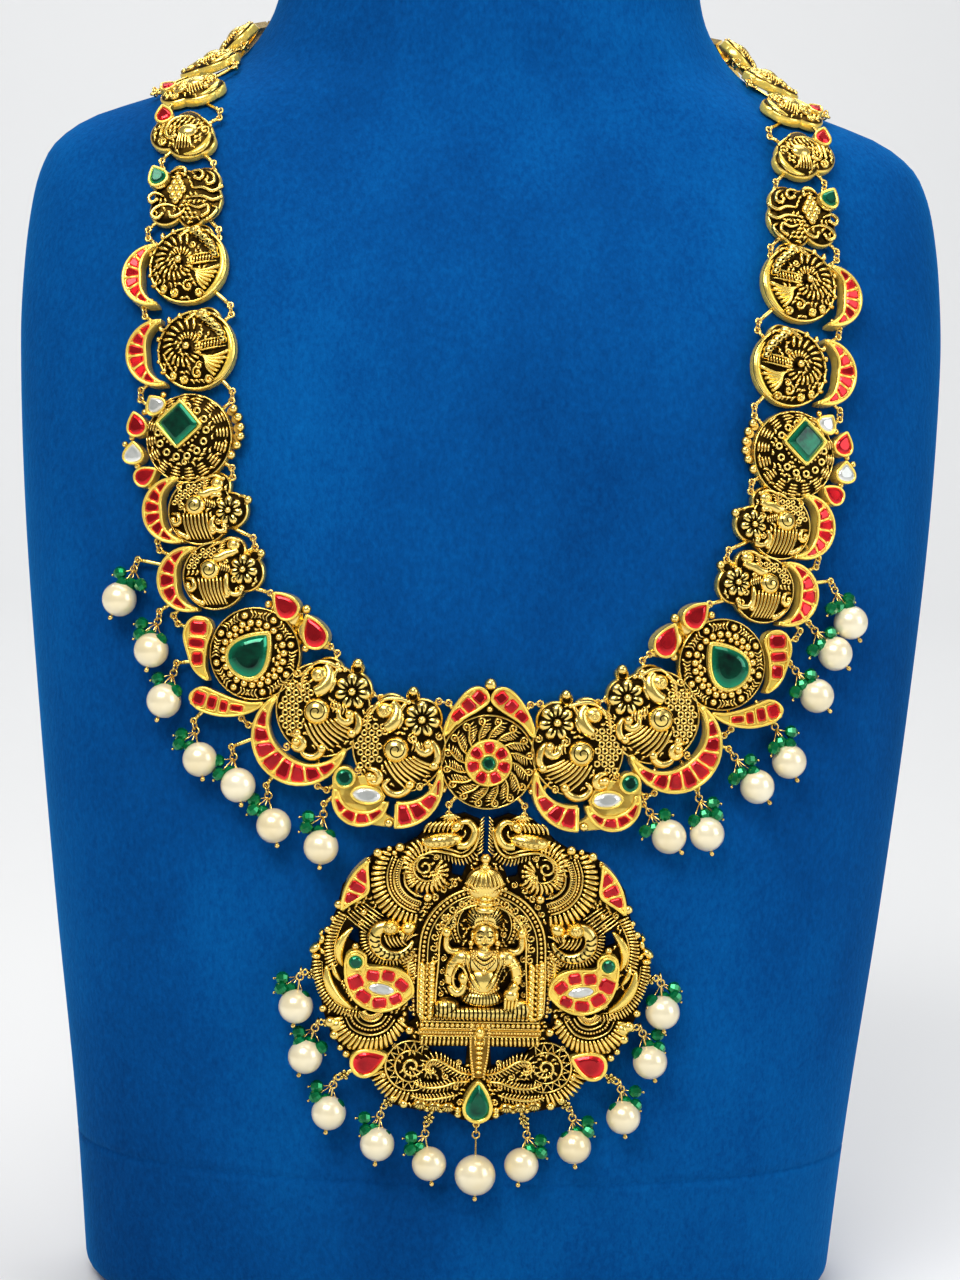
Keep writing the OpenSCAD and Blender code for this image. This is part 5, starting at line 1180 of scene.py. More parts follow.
def birdLink(i, gold, gems):
    w, l = smallBirds[i]["size"]
    for k, (x, y, r) in enumerate(((0.1 * w, 0, 0.5 * l), (-0.22 * w, -0.1 * l, 0.4 * l),
            (0.3 * w, 0, 0.3 * l), (-0.05 * w, 0.25 * l, 0.32 * l))):
        puck(gold, x, y, r, 1.6 + 0.02 * k, 1.3 if k == 0 else 0.6, 1.6, 0.12, sides=26)
    over = domed(0.1 * w, 0, 0.5 * l, 1.3, 2.1)
    f = l / 11.6
    knob(gold, 1.2 * f, 0.6 * f, 2.6 * f, 2 * f, 1.2, 30, over, 2)
    for k in range(7):  # wing
        t = k / 6
        a = radians(150 - 150 * t)
        ridge(gold, [around(0.6 * f, 0.4 * f, a, 1, 0.6), (1.9 * f + 2.2 * f * cos(a + 0.5),
            -0.9 * f - 1.4 * f * t + 1.6 * f * sin(a)), (0.8 * f + 4.2 * f * t, -4.6 * f
            + 0.4 * f * k * 0.9)], 0.55, 0.9, over, (0.4, 0.6), 7, 1.25)
    for k in range(6):  # feathers over the back
        t = k / 5
        x = -3.4 * f + 6.4 * f * t
        ridge(gold, [(x, 1.6 * f), (x + 0.6 * f, 3 * f), (x + 0.4 * f, 4.4 * f - 1.2 * f * abs(t - 0.5))],
            0.6, 0.8, over, (0.5, 0.6), 6, 1.25)
    scroll(gold, grown(f, (0.4, 4.6), (-2.4, 4.2), (-4.6, 2), (-4.4, -1), (-2.6, -2.6), (-1, -1.8)), 1.1 * f,
        1.1, over, finishAndShade=1.4, cuts=16)
    for q in (0.9, 1.8):
        strand(gold, [(-4.9 * f - 0.55 * q, 3 * f), (-5.4 * f - 0.3 * q, 0), (-4.4 * f - 0.3 * q, -3 * f)],
            0.6, 0.7, 2.3, 1.3)
    scroll(gold, spiralPath(-3.4 * f, -3.9 * f, 1.3 * f, 0.3, 120, 1.3, 12), 0.7 * f, 0.9, 2.3, finishAndShade=1.4,
        cuts=12)
    scroll(gold, spiralPath(4.6 * f, 2.6 * f, 1.3 * f, 0.3, -60, 1.2, 12), 0.7 * f, 0.9, 2.5, finishAndShade=1.4,
        cuts=12)
    scroll(gold, grown(f, (1.2, 5.6), (3.2, 5), (5, 4.4)), 0.8 * f, 0.9, 2.2, finishAndShade=1.4)
    strand(gold, arcPath(0.1 * w, 0, 0.5 * l - 0.9, -75, 40, 10), 2 * f, 1, 2.1, 1.9, (0.2, 0.2), 20)
    if smallBirds[i]["ruby"]:
        x, y, spin, dl, dw = smallBirds[i]["ruby"]
        bezel(gold, gems, placed(dropOutline(dl, dw, 18), x, y, spin), "ruby", 1.2, 0.7, 0.7)
    fillGround(gold, ((0.45, 1.1),), 1.35)


def standing(d):  # a turn that lays the Z axis along a direction
    return d.to_track_quat("Z", "Y").to_matrix().to_4x4()


# Rings join the stations; each link keeps an eyelet for each of its rings
jointXZ = [((-64.5, 282.6), (-77, 282.9)), ((-65.5, 270.3), (-77.5, 270.6)), ((-63.8, 255), (-80, 254.6)),
    ((-60.5, 237.8), (-80.2, 236.8)), ((-59.7, 218.5), (-80.5, 218)), ((-59.2, 201.3), (-80, 199)),
    ((-53.9, 185.8), (-75.5, 184)), ((-49.4, 173.6), (-71.2, 167.4)), ((-35.4, 162.3), (-55, 145.2)),
    ((-25.6, 152.3), (-37.3, 130.9)), ((-10.4, 151.3), (-11.4, 131.6))]
ringRadius = 1.1


def jointsAfter(i):  # [turn, height] of the rings between station i and the next
    if i >= napeCount + 3:
        return [(turnOf(*p), p[1]) for p in jointXZ[i - napeCount - 3]]
    spread = 4 if i > napeCount else 0
    a, b = stations[i], stations[i + 1]
    t, z = (a[0] + b[0]) / 2, (a[1] + b[1]) / 2
    f = frameAt(t, z)
    d = (stationPoint(i) - stationPoint(i + 1)).normalized()
    e = d.cross(f.col[2].xyz)
    per = (bustPoint(t + 0.5, z) - bustPoint(t - 0.5, z)).length
    return [(t + s * e.dot(f.col[0].xyz) / per, z + s * e.dot(f.col[1].xyz))
        for s in ([-spread, spread] if spread else [0])]


eyeletSizes = {"ring": 0.95, "bar": 0.95, "barHigh": 0.35, "from": 0.7, "ball": 0.55, "least": 1.6,
    "step": 0.4, "most": 9,
               "near": 0.3, "past": 0.8}


def eyelet(gold, place, centre, normal, out, reachTo):  # a ring's eyelet, with a bar that runs on to the body
    s = eyeletSizes
    body = BVHTree.FromBMesh(gold)
    e = centre + ringRadius * out
    local = place.inverted()
    p, q = local @ e, local @ reachTo
    n = (local.to_3x3() @ normal).normalized()
    stamp(gold, "ringlet", 8, Matrix.Translation(p) @ standing(n) @ Matrix.Diagonal((s["ring"], s["ring"], 1,
        1)))
    d = Vector((q.x - p.x, q.y - p.y)).normalized()
    at = lambda far: (p.x + d.x * far, p.y + d.y * far)
    reach = s["least"]
    while reach < s["most"] and (body.find_nearest((*at(reach), p.z))[3] or 0) > s["near"]:
        reach += s["step"]
    reach += s["past"]
    bar = [at(s["from"]), at((s["from"] + reach) / 2), at(reach)]
    ridge(gold, bar, s["bar"], s["barHigh"], p.z, (0.9, 0.9), 6, 1.3, sink=s["barHigh"])
    ball(gold, *at(s["least"]), s["ball"], p.z, 0.2, 1)


def ringEyelets(gold, place, k, side, here):  # the eyelets at the rings between station k and the next
    for p in jointsAfter(k):
        f = frameAt(*p, eyeHeight)
        n = f.col[2].xyz
        eyelet(gold, place, f.translation, n, side * inPlane(stationPoint(k) - stationPoint(k + 1), n), here)


def stationEyelets(gold, i, place):
    for side, k in ((-1, i - 1), (1, i)):
        if 0 <= k < len(stations) - 1:
            ringEyelets(gold, place, k, side, stationPoint(i))


# Where each drop hangs and where it ends: link, x, height, x, height
dropsLeft = [(10, -80.5, 179.5, -83, 171.3), (10, -75, 168, -75.6, 160.2), (11, -71, 156.5, -72.5, 149),
    (11, -66.3, 143.6, -64.2, 136.2), (12, -57.6, 138.2, -55.6, 130.9), (12, -49.6, 129.8, -47.5, 122.1),
    (13, -36.8, 126.2, -36.9, 117.7)]
dropsRight = [(10, -79.4, 178.7, -82.8, 170.1), (10, -74.4, 169.3, -79.2, 163), (11, -70, 160.1, -75, 153.4),
    (11, -65.7, 147.5, -68.9, 138.4), (12, -56, 140.5, -61.5, 132.8), (12, -48.4, 131.3, -50.2, 122.1),
    (13, -36.5, 127.9, -41.4, 121.6)]


def dropEyelets(gold, i, place, right):
    for link, x, z, px, pz in (dropsRight if right else dropsLeft):
        if link == i:
            f = pinned(x, z)
            n = f.col[2].xyz
            d = inPlane(pinned(px, pz).translation - f.translation, n)
            eyelet(gold, place, f.translation, n, -d, stationPoint(i + napeCount))


gemWorks = {}
looksOf = {"ruby": (ruby, "ruby"), "emerald": (emerald, "emerald"), "whiteStone": (whiteStone, "white_stone")}


def keepGems(gems, place, side):
    for kind, work in gems.items():
        c = work.copy()
        bmesh.ops.transform(c, matrix=place, verts=c.verts)
        into(gemWorks.setdefault((kind, side), smallMesh()), flip(c) if side == "Right" else c)


makers = {1: birdLink, 2: birdLink, 3: birdLink, 4: birdLink, 5: floralLink, 6: curledLink, 7: curledLink,
    8: squareLink,
          9: peacockLink, 10: peacockLink, 11: pearLink, 12: peacockLink, 13: peacockLink}
for i, maker in makers.items():
    gold, gems = smallMesh(), {}
    maker(i, gold, gems)
    place = linkPlace(i)
    stationEyelets(gold, i + napeCount, place)
    for side in ("Left", "Right"):
        copy = gold.copy()
        dropEyelets(copy, i, place, side == "Right")
        finish(copy, f"goldLink{side}{i}", antiqueGold, place, side == "Right",
            [f"link_{side.lower()}_{i}"])
        copy.free()
        keepGems(gems, place, side)
    gold.free()
print("links made")

# Stones of each side
for (kind, side), work in gemWorks.items():
    look, slotName = looksOf[kind]
    names = {"ruby": ["rubies_" + side.lower()], "emerald": [f"emerald_disc_{side.lower()}",
        f"emerald_pear_{side.lower()}"], "whiteStone": []}[kind]
    finish(work, f"{kind}Stones{side}", look, nodes=names)
    work.free()


# Middle disc: curled fronds round a rosette, and two ruby wings that meet under a ball
middleDisc = {"r": 11, "rosette": 5.4, "fronds": 16, "emerald": 1.55,
              "wing": [(-10.5, 6.2), (-9.6, 9.6), (-7.6, 13.4), (-5.2, 16.2), (-3, 17.2), (-1.2, 16.7),
                  (-0.35, 15.3), (-0.5, 13.9), (-2.7, 12.1), (-5, 10.7), (-7.6, 9), (-9.6, 6.6)],
              "stones": [(-7.2, 10.7, 1.5, 1.1, 44), (-4.85, 13, 1.3, 1.5, 46), (-2.5, 14.9, 1.3, 1.45, 50)],
              "cell": [(2.35, -15), (2.9, -19), (4.2, -17.5), (4.75, -12), (4.9, 0), (4.75, 12), (4.2, 17.5),
                  (2.9, 19), (2.35, 15)]}
pendantLoopX, discLoopZ = 8.6, 127


def pendantRing():  # where the pendant's upper rings pass on the left: point, outward and up
    f = pinned(-pendantLoopX, discLoopZ, eyeHeight + 0.4)
    n = f.col[2].xyz
    return f.translation, n, inPlane(Vector((0, 0, 1)), n)


def makeMiddleDisc():
    gold, gems = smallMesh(), {}
    s = middleDisc
    over = domed(0, 0, s["r"], 0.9)
    puck(gold, 0, 0, s["r"], 1.5, 0.9)
    collar(gold, circleOutline(s["r"] - 0.3, 24), 0.5, 0.55, 1.9, 48, 1.3)
    for a in turns(s["fronds"], 5):  # plumes with barbs on one side and a ring at the curled end
        at = lambda r, w: around(0, 0, a + radians(w), r)
        frond(gold, [at(5.2, 20), at(6.8, 14), at(8.2, 6.5), at(9.3, 1.5), at(10.1, 1.5)], 1.9, 7, over, 1,
            (-1,), 0.42, 0.55)
        ridge(gold, [at(9.5, 1.4), at(10.25, 3.4), at(10.1, 8), at(9.3, 9.5), at(8.7, 7)], 0.5, 1.2, over,
            (0.8, 0.6), 12, 1.2)
        ball(gold, *at(9.45, 5.6), 0.4, over, 1, 1)
    for sign in (1, -1):
        half = smallMesh()
        leafSlab(half, s["wing"], (-4.8, 11.6), 3.4, 0.85)
        if sign > 0:
            setStones(half, gems, 3.4, s["stones"])
        into(gold, half if sign > 0 else flip(half))
    other = flip(gems["ruby"].copy())
    # the slab between the wings has its top painted near black as shade
    slab(gold, [(-7, 8.6), (0, 10.2), (7, 8.6), (6.6, 11.4), (1.6, 16.2), (0, 17.6), (-1.6, 16.2),
        (-6.6, 11.4)], 0, 2, 0.15, 1, 0.05)
    ball(gold, 0, 17.9, 1.4, 2.4, 0.4)
    ball(gold, 0, 12.2, 0.8, 2.3, 0.4)
    balls(gold, 1.8, (-10, -6.6, 0.7), (10, -6.6, 0.7), sit=0.4)
    slab(gold, circleOutline(s["rosette"], 36), 1.5, 4.3, 0.35, 1.8)
    collar(gold, circleOutline(s["rosette"] - 0.35, 24), 0.5, 0.35, 4.2, 40)
    for k in range(7):
        a = 90 + 360 / 7 * k
        gem(gemWork(gems, "ruby"), [around(0, 0, radians(a + w), q) for q, w in s["cell"]], 4.1, 0.75, 0.62,
            0.5)
        ridge(gold, [around(0, 0, radians(a + 180 / 7), q) for q in (2.2, 4.7)], 0.6, 0.3, 4.2, (0.8, 0.9), 4,
            1.9)
    collar(gold, circleOutline(s["emerald"] + 0.35, 16), 0.55, 0.75, 4.2, 28)
    gem(gemWork(gems, "emerald"), circleOutline(s["emerald"], 12), 4.1, 1.1, 0.6, 0.5)
    into(gems["ruby"], other)
    place = linkPlace(14)
    stationEyelets(gold, napeCount + 14, place)
    spot, n, up = pendantRing()
    here = stationPoint(napeCount + 14)
    for side in ("Left", "Right"):
        loops, rings = smallMesh(), smallMesh()
        eyelet(loops, place, spot, n, up, here)
        if side == "Right":  # the left side has its rings' eyelets already
            ringEyelets(rings, place, napeCount + 13, -1, here)
            flip(loops)
            flip(rings)
        into(gold, loops)
        into(gold, rings)
    finish(gold, "goldMiddleDisc", antiqueGold, place, nodes=["centre_disc"])
    finish(gems["ruby"], "rubyStonesMiddle", ruby, place, nodes=["rubies_centre"])
    finish(gems["emerald"], "emeraldStoneMiddle", emerald, place, nodes=["emerald_centre"])


# Pendant: outline and gaps of its left half, from the top middle to the bottom middle
pendant = {
    "thick": 1.4,
    "edge": [(0, 24.5), (-2, 27), (-1, 34.8), (-5, 36.4), (-11, 35), (-15, 31), (-19, 28.5), (-24, 27.6),
        (-28, 24.5), (-32.4, 19), (-33.6, 13.6), (-35.2, 9), (-38.6, 4.4), (-39.2, -1), (-37, -6), (-36, -11),
        (-34.2, -16), (-31.5, -19.5), (-29.6, -22.5), (-26.5, -25.6), (-22.4, -28), (-19.4, -32.6),
        (-13, -34), (-6.5, -34.4), (-3.6, -36), (0, -36.4)],
    "gaps": [[(-17.6, 23.6), (-16, 21), (-12.8, 17.4), (-14.4, 15.4), (-17.4, 19)],
        [(-17.8, 8), (-15.4, 8.4), (-15.6, 6.9), (-17.4, 6.6)], [(-15.2, -5), (-14.9, -12), (-16.4, -13),
        (-16.6, -8)], [(-2.6, -18.4), (-11.8, -18.6), (-13, -20.4), (-9, -20.2), (-5, -23), (-3, -23)],
        [(-27.8, 8.6), (-30.3, 9.8), (-30.6, 6.4), (-28.4, 5.4)], [(-33.4, 3.2), (-34.4, 0.2), (-33, -1.2)],
        [(-4, 25), (-9, 24.8), (-7.2, 22), (-5.2, 21.6)], [(-16.8, -14.9), (-15.8, -16.6), (-19.2, -19),
        (-21.6, -19.4), (-20.6, -17.4)]],
    "drops": [(-41.5, -1.5, -41.6, 80.3), (-37.5, -13.6, -39.2, 68.5), (-33.2, -27, -33.6, 55.3),
        (-22.2, -34, -22.5, 48.3), (-12, -38.3, -10.6, 43.9)],
    "tip": (0, -31, 10.4, 7.4), "tipDrop": (0, -38.4),
}


def pendantPlate(gold):
    bm = smallMesh()
    left, gaps = pendant["edge"], pendant["gaps"]
    for loop in [left + sided(-1, *left[-2:0:-1])] + gaps + [sided(-1, *g) for g in gaps]:
        ring = [bm.verts.new((x, y, 0)) for x, y in loop]
        for a, b in zip(ring, ring[1:] + ring[:1]):
            bm.edges.new((a, b))
    bmesh.ops.triangle_fill(bm, use_beauty=True, use_dissolve=True, edges=bm.edges)
    pull(bm, bm.faces[:], pendant["thick"])
    bmesh.ops.recalc_face_normals(bm, faces=bm.faces)
    # the plate is painted near black as the shade between ornaments
    setTone(bm, 0.06)
    into(gold, bm)


def peafowl(gold):
    over = hills(1.5, (-10.6, 30, 5.6, 1.4), (-13.4, 23.6, 6, 1.5), (-4, 31, 3.6, 1.1))
    paintedShadeMound(gold, -10.6, 29.8, 1.3, 5.6, 3.8, 1.5, 12)
    paintedShadeMound(gold, -13.4, 23.6, 1.3, 6, 5.6, 1.5)
    paintedShadeMound(gold, -4, 31, 1.3, 3.4, 4.2, 1.1, detail=2)
    knob(gold, -10, 30.2, 5, 2.1, 3, 8, 2)  # body with its rows of scales
    for row in range(2):
        for k in range(6):
            x = -13.2 + 1.25 * k + 0.6 * row
            y = 30.4 + 0.13 * (x + 10) + (0.75 if row else -0.6)
            ridge(gold, [(x - 0.45, y + 0.4), (x + 0.3, y), (x - 0.45, y - 0.4)], 0.3, 0.28,
                bulge(-10, 30.2, 5, 2.2, 1.9, 3, 0.05), (0.8, 0.8), 5, 0.5)
    for k in range(9):  # wing feathers above the body
        x = -14.2 + 1.05 * k
        ridge(gold, [(x, 32 + 0.1 * k), (x + 0.5, 33.4 + 0.08 * k), (x + 1.7, 34.4 + 0.1 * k)], 0.72, 0.85,
            over, (0.7, 0.5), 6, 1.15)
    neck = [(-6.6, 29.2), (-4.6, 29.2), (-3.2, 30.6), (-2.7, 32.8), (-4.2, 34.7), (-6.2, 34.4)]
    strand(gold, neck, 2, 1.7, 2.4, 1.3, (1, 0.6), 22)
    strand(gold, [(-5.9, 30.8), (-4.9, 31.6), (-4.9, 32.8)], 0.6, 1.4, 2.4, 1.2)
    knob(gold, -6.9, 33.5, 1.5, 1.15, 1.6, 40, 2.8, 2)  # head
    ringlet(gold, -6.7, 33.6, 4.1, 0.5, 0.4)
    strand(gold, [(-7.4, 32.9), (-7.9, 32.2), (-7.7, 31.2)], 0.7, 1.2, 2.6)
    wave = [(-16.4, 24.6), (-14.6, 26.6), (-11.7, 27.8), (-8.2, 27.3), (-5.3, 26.4), (-3.1, 27.9), (-1.8, 31),
        (-1.6, 33.6)]
    strand(gold, wave, 0.85, 1.2, over, 1.25, cuts=26)
    strand(gold, offset(wave[1:6], 0.95), 0.6, 1.1, over, 1.15, cuts=20)
    bandRibs(gold, offset(wave[2:6], -0.5), offset(wave[2:6], -2.1), 13, 0.5, 1.7, 0.8)
    for k in range(10):  # barbs towards the middle
        y = 27 + 0.84 * k
        ridge(gold, [(-2 + 0.04 * k, y), (-1.2, y + 0.4), (-0.5, y + 1.2)], 0.5, 0.9, 1.6, (0.7, 0.4), 5, 1.1)
    bandRibs(gold, arcPath(-13.2, 24, 3.4, 85, 330), arcPath(-13, 24.2, 6.7, 92, 318), 20, 0.86, over, 1,
        1.15, 0.12, (0.5, 0.9))
    ridge(gold, arcPath(-13.2, 24, 3.2, 60, 330, 14), 0.55, 1.1, over, finishAndShade=1.25)
    scroll(gold, spiralPath(-13.9, 24.2, 2.2, 0.5, 60, 1.3), 0.7, 1, over, finishAndShade=1.25, cuts=20)
    for a in fan(7, -88, 24):  # small palm in the tail
        tip = around(-11.9, 23, a, 3.3, 3)
        ridge(gold, [around(-11.9, 23, a, 0.5), tip], 0.72, 0.95, over, (0.3, 1), 5, 1.2)
        ball(gold, *tip, 0.5, over, 0.9, 1)


def plumeBand(gold):  # feather band between the paisley and the peafowl
    over = hills(1.4, (-21, 19, 9, 1.7))
    paintedShadeMound(gold, -21.4, 18.6, 1, 4.8, 8.8, 1.9, 16)
    outer = [(-23.4, 27.2), (-25.6, 23.4), (-25.5, 18.2), (-23.4, 13.6), (-19.8, 10.9), (-15.7, 9.7)]
    inner = [(-21.6, 26.6), (-22.8, 22.8), (-22.4, 18.8), (-20.6, 15.8), (-18, 13.8), (-15.4, 12.8)]
    bandRibs(gold, inner, outer, 18, 1, over, 1.05, 1.2, 0, (0.6, 0.9), 0.5)
    for far in (0.5, 2, 3.2, 4.4):
        strand(gold, offset(inner, far), 0.6, 1, over, 1.2, cuts=24)
    beadRow(gold, offset(inner, 1.25), 24, 0.38, over)
    bandRibs(gold, offset(inner, 2.2), offset(inner, 3.2), 26, 0.36, over, 0.8)
    bandRibs(gold, offset(inner, 4.8)[:9], offset(inner, 6.6)[:9], 9, 0.5, over, 0.9, end=0.36)
    knob(gold, -17.2, 9.6, 2.2, 1.8, 2.6, 20, 1.6)
    balls(gold, 1.8, (-24.6, 27, 1.1), (-19.6, 28.4, 1.1), (-33.2, 14.8, 1.1), (-12.9, 16.8, 1.1),
        (-22, 28, 0.7), (-20.8, 27, 0.7), (-27.4, 13, 0.8), (-17.6, 27, 0.7), (-18.4, 25.4, 0.6),
        (-16.4, 14.9, 0.7))
    curls(gold, 1.6, (-17.4, 23.4, 1.1, 90), (-11.2, 16.6, 1.1, 200, -1.2), (-9.2, 18.6, 1, 30),
        (-6.8, 20, 0.9, 120), (-15.4, 17.4, 1, 0), (-26.6, 25, 0.8, 40, 1.1))


def smallBird(gold):  # bird over the navette, with its banded body and fine ribs
    over = hills(1.4, (-21.8, 7.4, 6.6, 1.9))
    paintedShadeMound(gold, -22, 7.4, 1, 6.6, 5.2, 2, -10)
    spine = [(-21.8, 10.3), (-24, 9.6), (-24.8, 7.6), (-24.2, 5.2), (-22.2, 3.6), (-19.5, 3.3), (-17.2, 4.7),
        (-15.9, 6.8)]
    strand(gold, spine, 3.3, 2, over, 1.2, (0.9, 0.25), 28)
    points = evenPoints(spine, 15)
    for k in range(3, 13):  # bands over the body, painted near black as the shade of grooves
        (x, y), (px, py) = points[k], points[k - 1]
        d = dist((x, y), (px, py))
        nx, ny = -(y - py) / d, (x - px) / d
        wide = 1.5 - 0.08 * k
        ridge(gold, [(x + nx * wide, y + ny * wide), (x + (x - px) * 0.4, y + (y - py) * 0.4),
            (x - nx * wide, y - ny * wide)], 0.46, 0.5, lambda u, v: over(u, v) + 1.72, (0.8, 0.8), 5,
            finishAndShade=0.03)
    knob(gold, -21.3, 9.9, 2.2, 1.9, 3, 0, over)
    ringlet(gold, -21.4, 10, over(-21.4, 10) + 2.7, 1, 0.7, 10)
    ball(gold, -21.4, 10, 0.4, over(-21.4, 10) + 2.8, 0.3, 1)
    strand(gold, [(-19.8, 9.4), (-18.4, 8.4), (-18.6, 7)], 1, 1.6, over, 1.2)
    outer = [(-28.2, 8.4), (-27.6, 4.4), (-24.8, 1.4), (-21, 0.5), (-17.6, 1.6), (-14.8, 4.6)]
    inner = [(-26.2, 8.2), (-25.8, 5.2), (-23.9, 3), (-21, 2.2), (-18.4, 2.6), (-16.3, 4.6)]
    bandRibs(gold, inner, outer, 24, 0.5, 1.7, 1, 1.1)
    ridge(gold, inner, 0.4, 1.2, 1.7, finishAndShade=1.2, cuts=22)
    for k in range(7):  # hatched wing
        ridge(gold, [(-31.8 + 0.75 * k, 12.4 + 0.45 * k), (-29.2 + 0.7 * k, 10.2 + 0.55 * k),
            (-26.6 + 0.62 * k, 8.6 + 0.62 * k)], 0.5, 1, over, (0.7, 0.7), 6, 1.1)
    for k in range(5):  # feathers within the curve of the body
        ridge(gold, [(-22.6 + 0.9 * k, 8.2 - 0.1 * k), (-22 + 0.9 * k, 6.6), (-21 + 0.9 * k, 5.2 + 0.1 * k)],
            0.62, 1.2, over, (0.7, 0.5), 6, 1.1)
    bandRibs(gold, [(-19.8, 8), (-18, 6.2), (-16.6, 7.6)], [(-18.6, 10.4), (-16.4, 8.4), (-14.9, 8.2)], 9,
        0.42, 2.2, 0.9)
    bandRibs(gold, [(-18.8, 1.4), (-17.4, -0.8), (-15.9, -2.2)], [(-15.9, 3), (-14.9, 0.6), (-14.5, -1.6)], 8,
        0.62, 1.6, 0.9)
    curls(gold, 1.6, (-15.8, 3.4, 0.8, 60), (-27.9, 10.6, 0.8, 200), (-16.2, -6.4, 0.9, 90, -1.2),
        (-15.9, -9.4, 0.9, 90, -1.2), (-25, 11.4, 0.9, 20))


def outerLeaves(gold):  # roped crescents and polished leaves down the outer side
    rope = [(-33.4, 13), (-35.2, 9.4), (-36.2, 5.4), (-35.9, 1.2), (-35, -0.6)]
    bandRibs(gold, offset(rope, 2.3), rope, 17, 0.66, 1.7, 1.05, 1.1)
    ridge(gold, offset(rope, 2.4), 0.5, 1.2, 1.7, finishAndShade=1.25, cuts=18)
    low = [(-38.9, 1.2), (-38.4, -3), (-36.8, -7.2), (-33.2, -11), (-28, -12.2)]
    bandRibs(gold, offset(low, 2), low, 24, 0.62, 1.6, 1.05, 1.1)
    ridge(gold, offset(low, 2.2), 0.5, 1.2, 1.6, finishAndShade=1.25, cuts=22)
    leaves = [([(-29.8, 9.4), (-32, 6.8), (-32.9, 3.4), (-32, 0.2)], 2.4),
        ([(-31.6, 8.4), (-33.2, 5.4), (-33.4, 2)], 1.2), ([(-35.6, 0.4), (-35, -3.6), (-32.8, -7.2),
        (-29.4, -9.8)], 2.9), ([(-34.4, 1.4), (-33.6, -1.2), (-32.2, -3.4)], 1.4)]
    for path, width in leaves:
        strand(gold, path, width, 2, 1.6, 1.5, (0.25, 0.25), 16)
    for x, y, r, turn in ((-38.3, 4.3, 1.7, 40), (-36.8, 6.4, 1.3, 80), (-38, 2.4, 1.3, 0),
            (-36.6, 3.6, 1, 120), (-37, 8, 0.9, 60)):
        knob(gold, x, y, r, r * 0.6, 1.6, turn, 1.2, 2)
    balls(gold, 1.6, (-35.6, 8.8, 0.8), (-34.4, -12.9, 1.35), (-36.2, -9.8, 0.9), (-33.4, -16, 1.15),
        (-34.4, 11.4, 0.7))


def lowerFan(gold):
    over = hills(1.4, (-25.6, -12.6, 9.4, 1.5))
    paintedShadeMound(gold, -25.4, -14.2, 1, 8, 4.2, 1.8)
    outer = [(-34.2, -12.4), (-32.9, -16.6), (-29.2, -19), (-24.6, -19.4), (-20.2, -17.6), (-17, -13.6)]
    inner = [(-31.6, -11.8), (-30.2, -14.4), (-27.4, -15.9), (-24.4, -16.2), (-21.2, -14.9), (-19, -12)]
    bandRibs(gold, inner, outer, 19, 1, over, 1.05, 1.2, 0, (0.6, 0.9), 0.5)
    toHub = lambda t: [between(p, (-25, -9.4), t) for p in inner]
    for t in (0.1, 0.42, 0.58):
        strand(gold, toHub(t), 0.55, 1, over, 1.2, cuts=22)
    beadRow(gold, toHub(0.26), 18, 0.36, over)
    bandRibs(gold, toHub(0.6), toHub(0.8), 15, 0.4, over, 0.8)
    knob(gold, -33, -13.6, 1.9, 1.5, 2.2, 50, 1.6, 2)
    balls(gold, 1.6, (-16.2, -14.6, 1.05), (-30.6, -20.5, 0.9), (-32, -19, 0.8), (-22, -25.4, 0.8),
        (-29.8, -18.9, 0.6), (-18, -12.2, 0.9), (-17.4, -10.8, 0.6))
    curls(gold, 1.6, (-30.6, -10.4, 0.9, 150), (-19.4, -18.6, 0.8, 0))


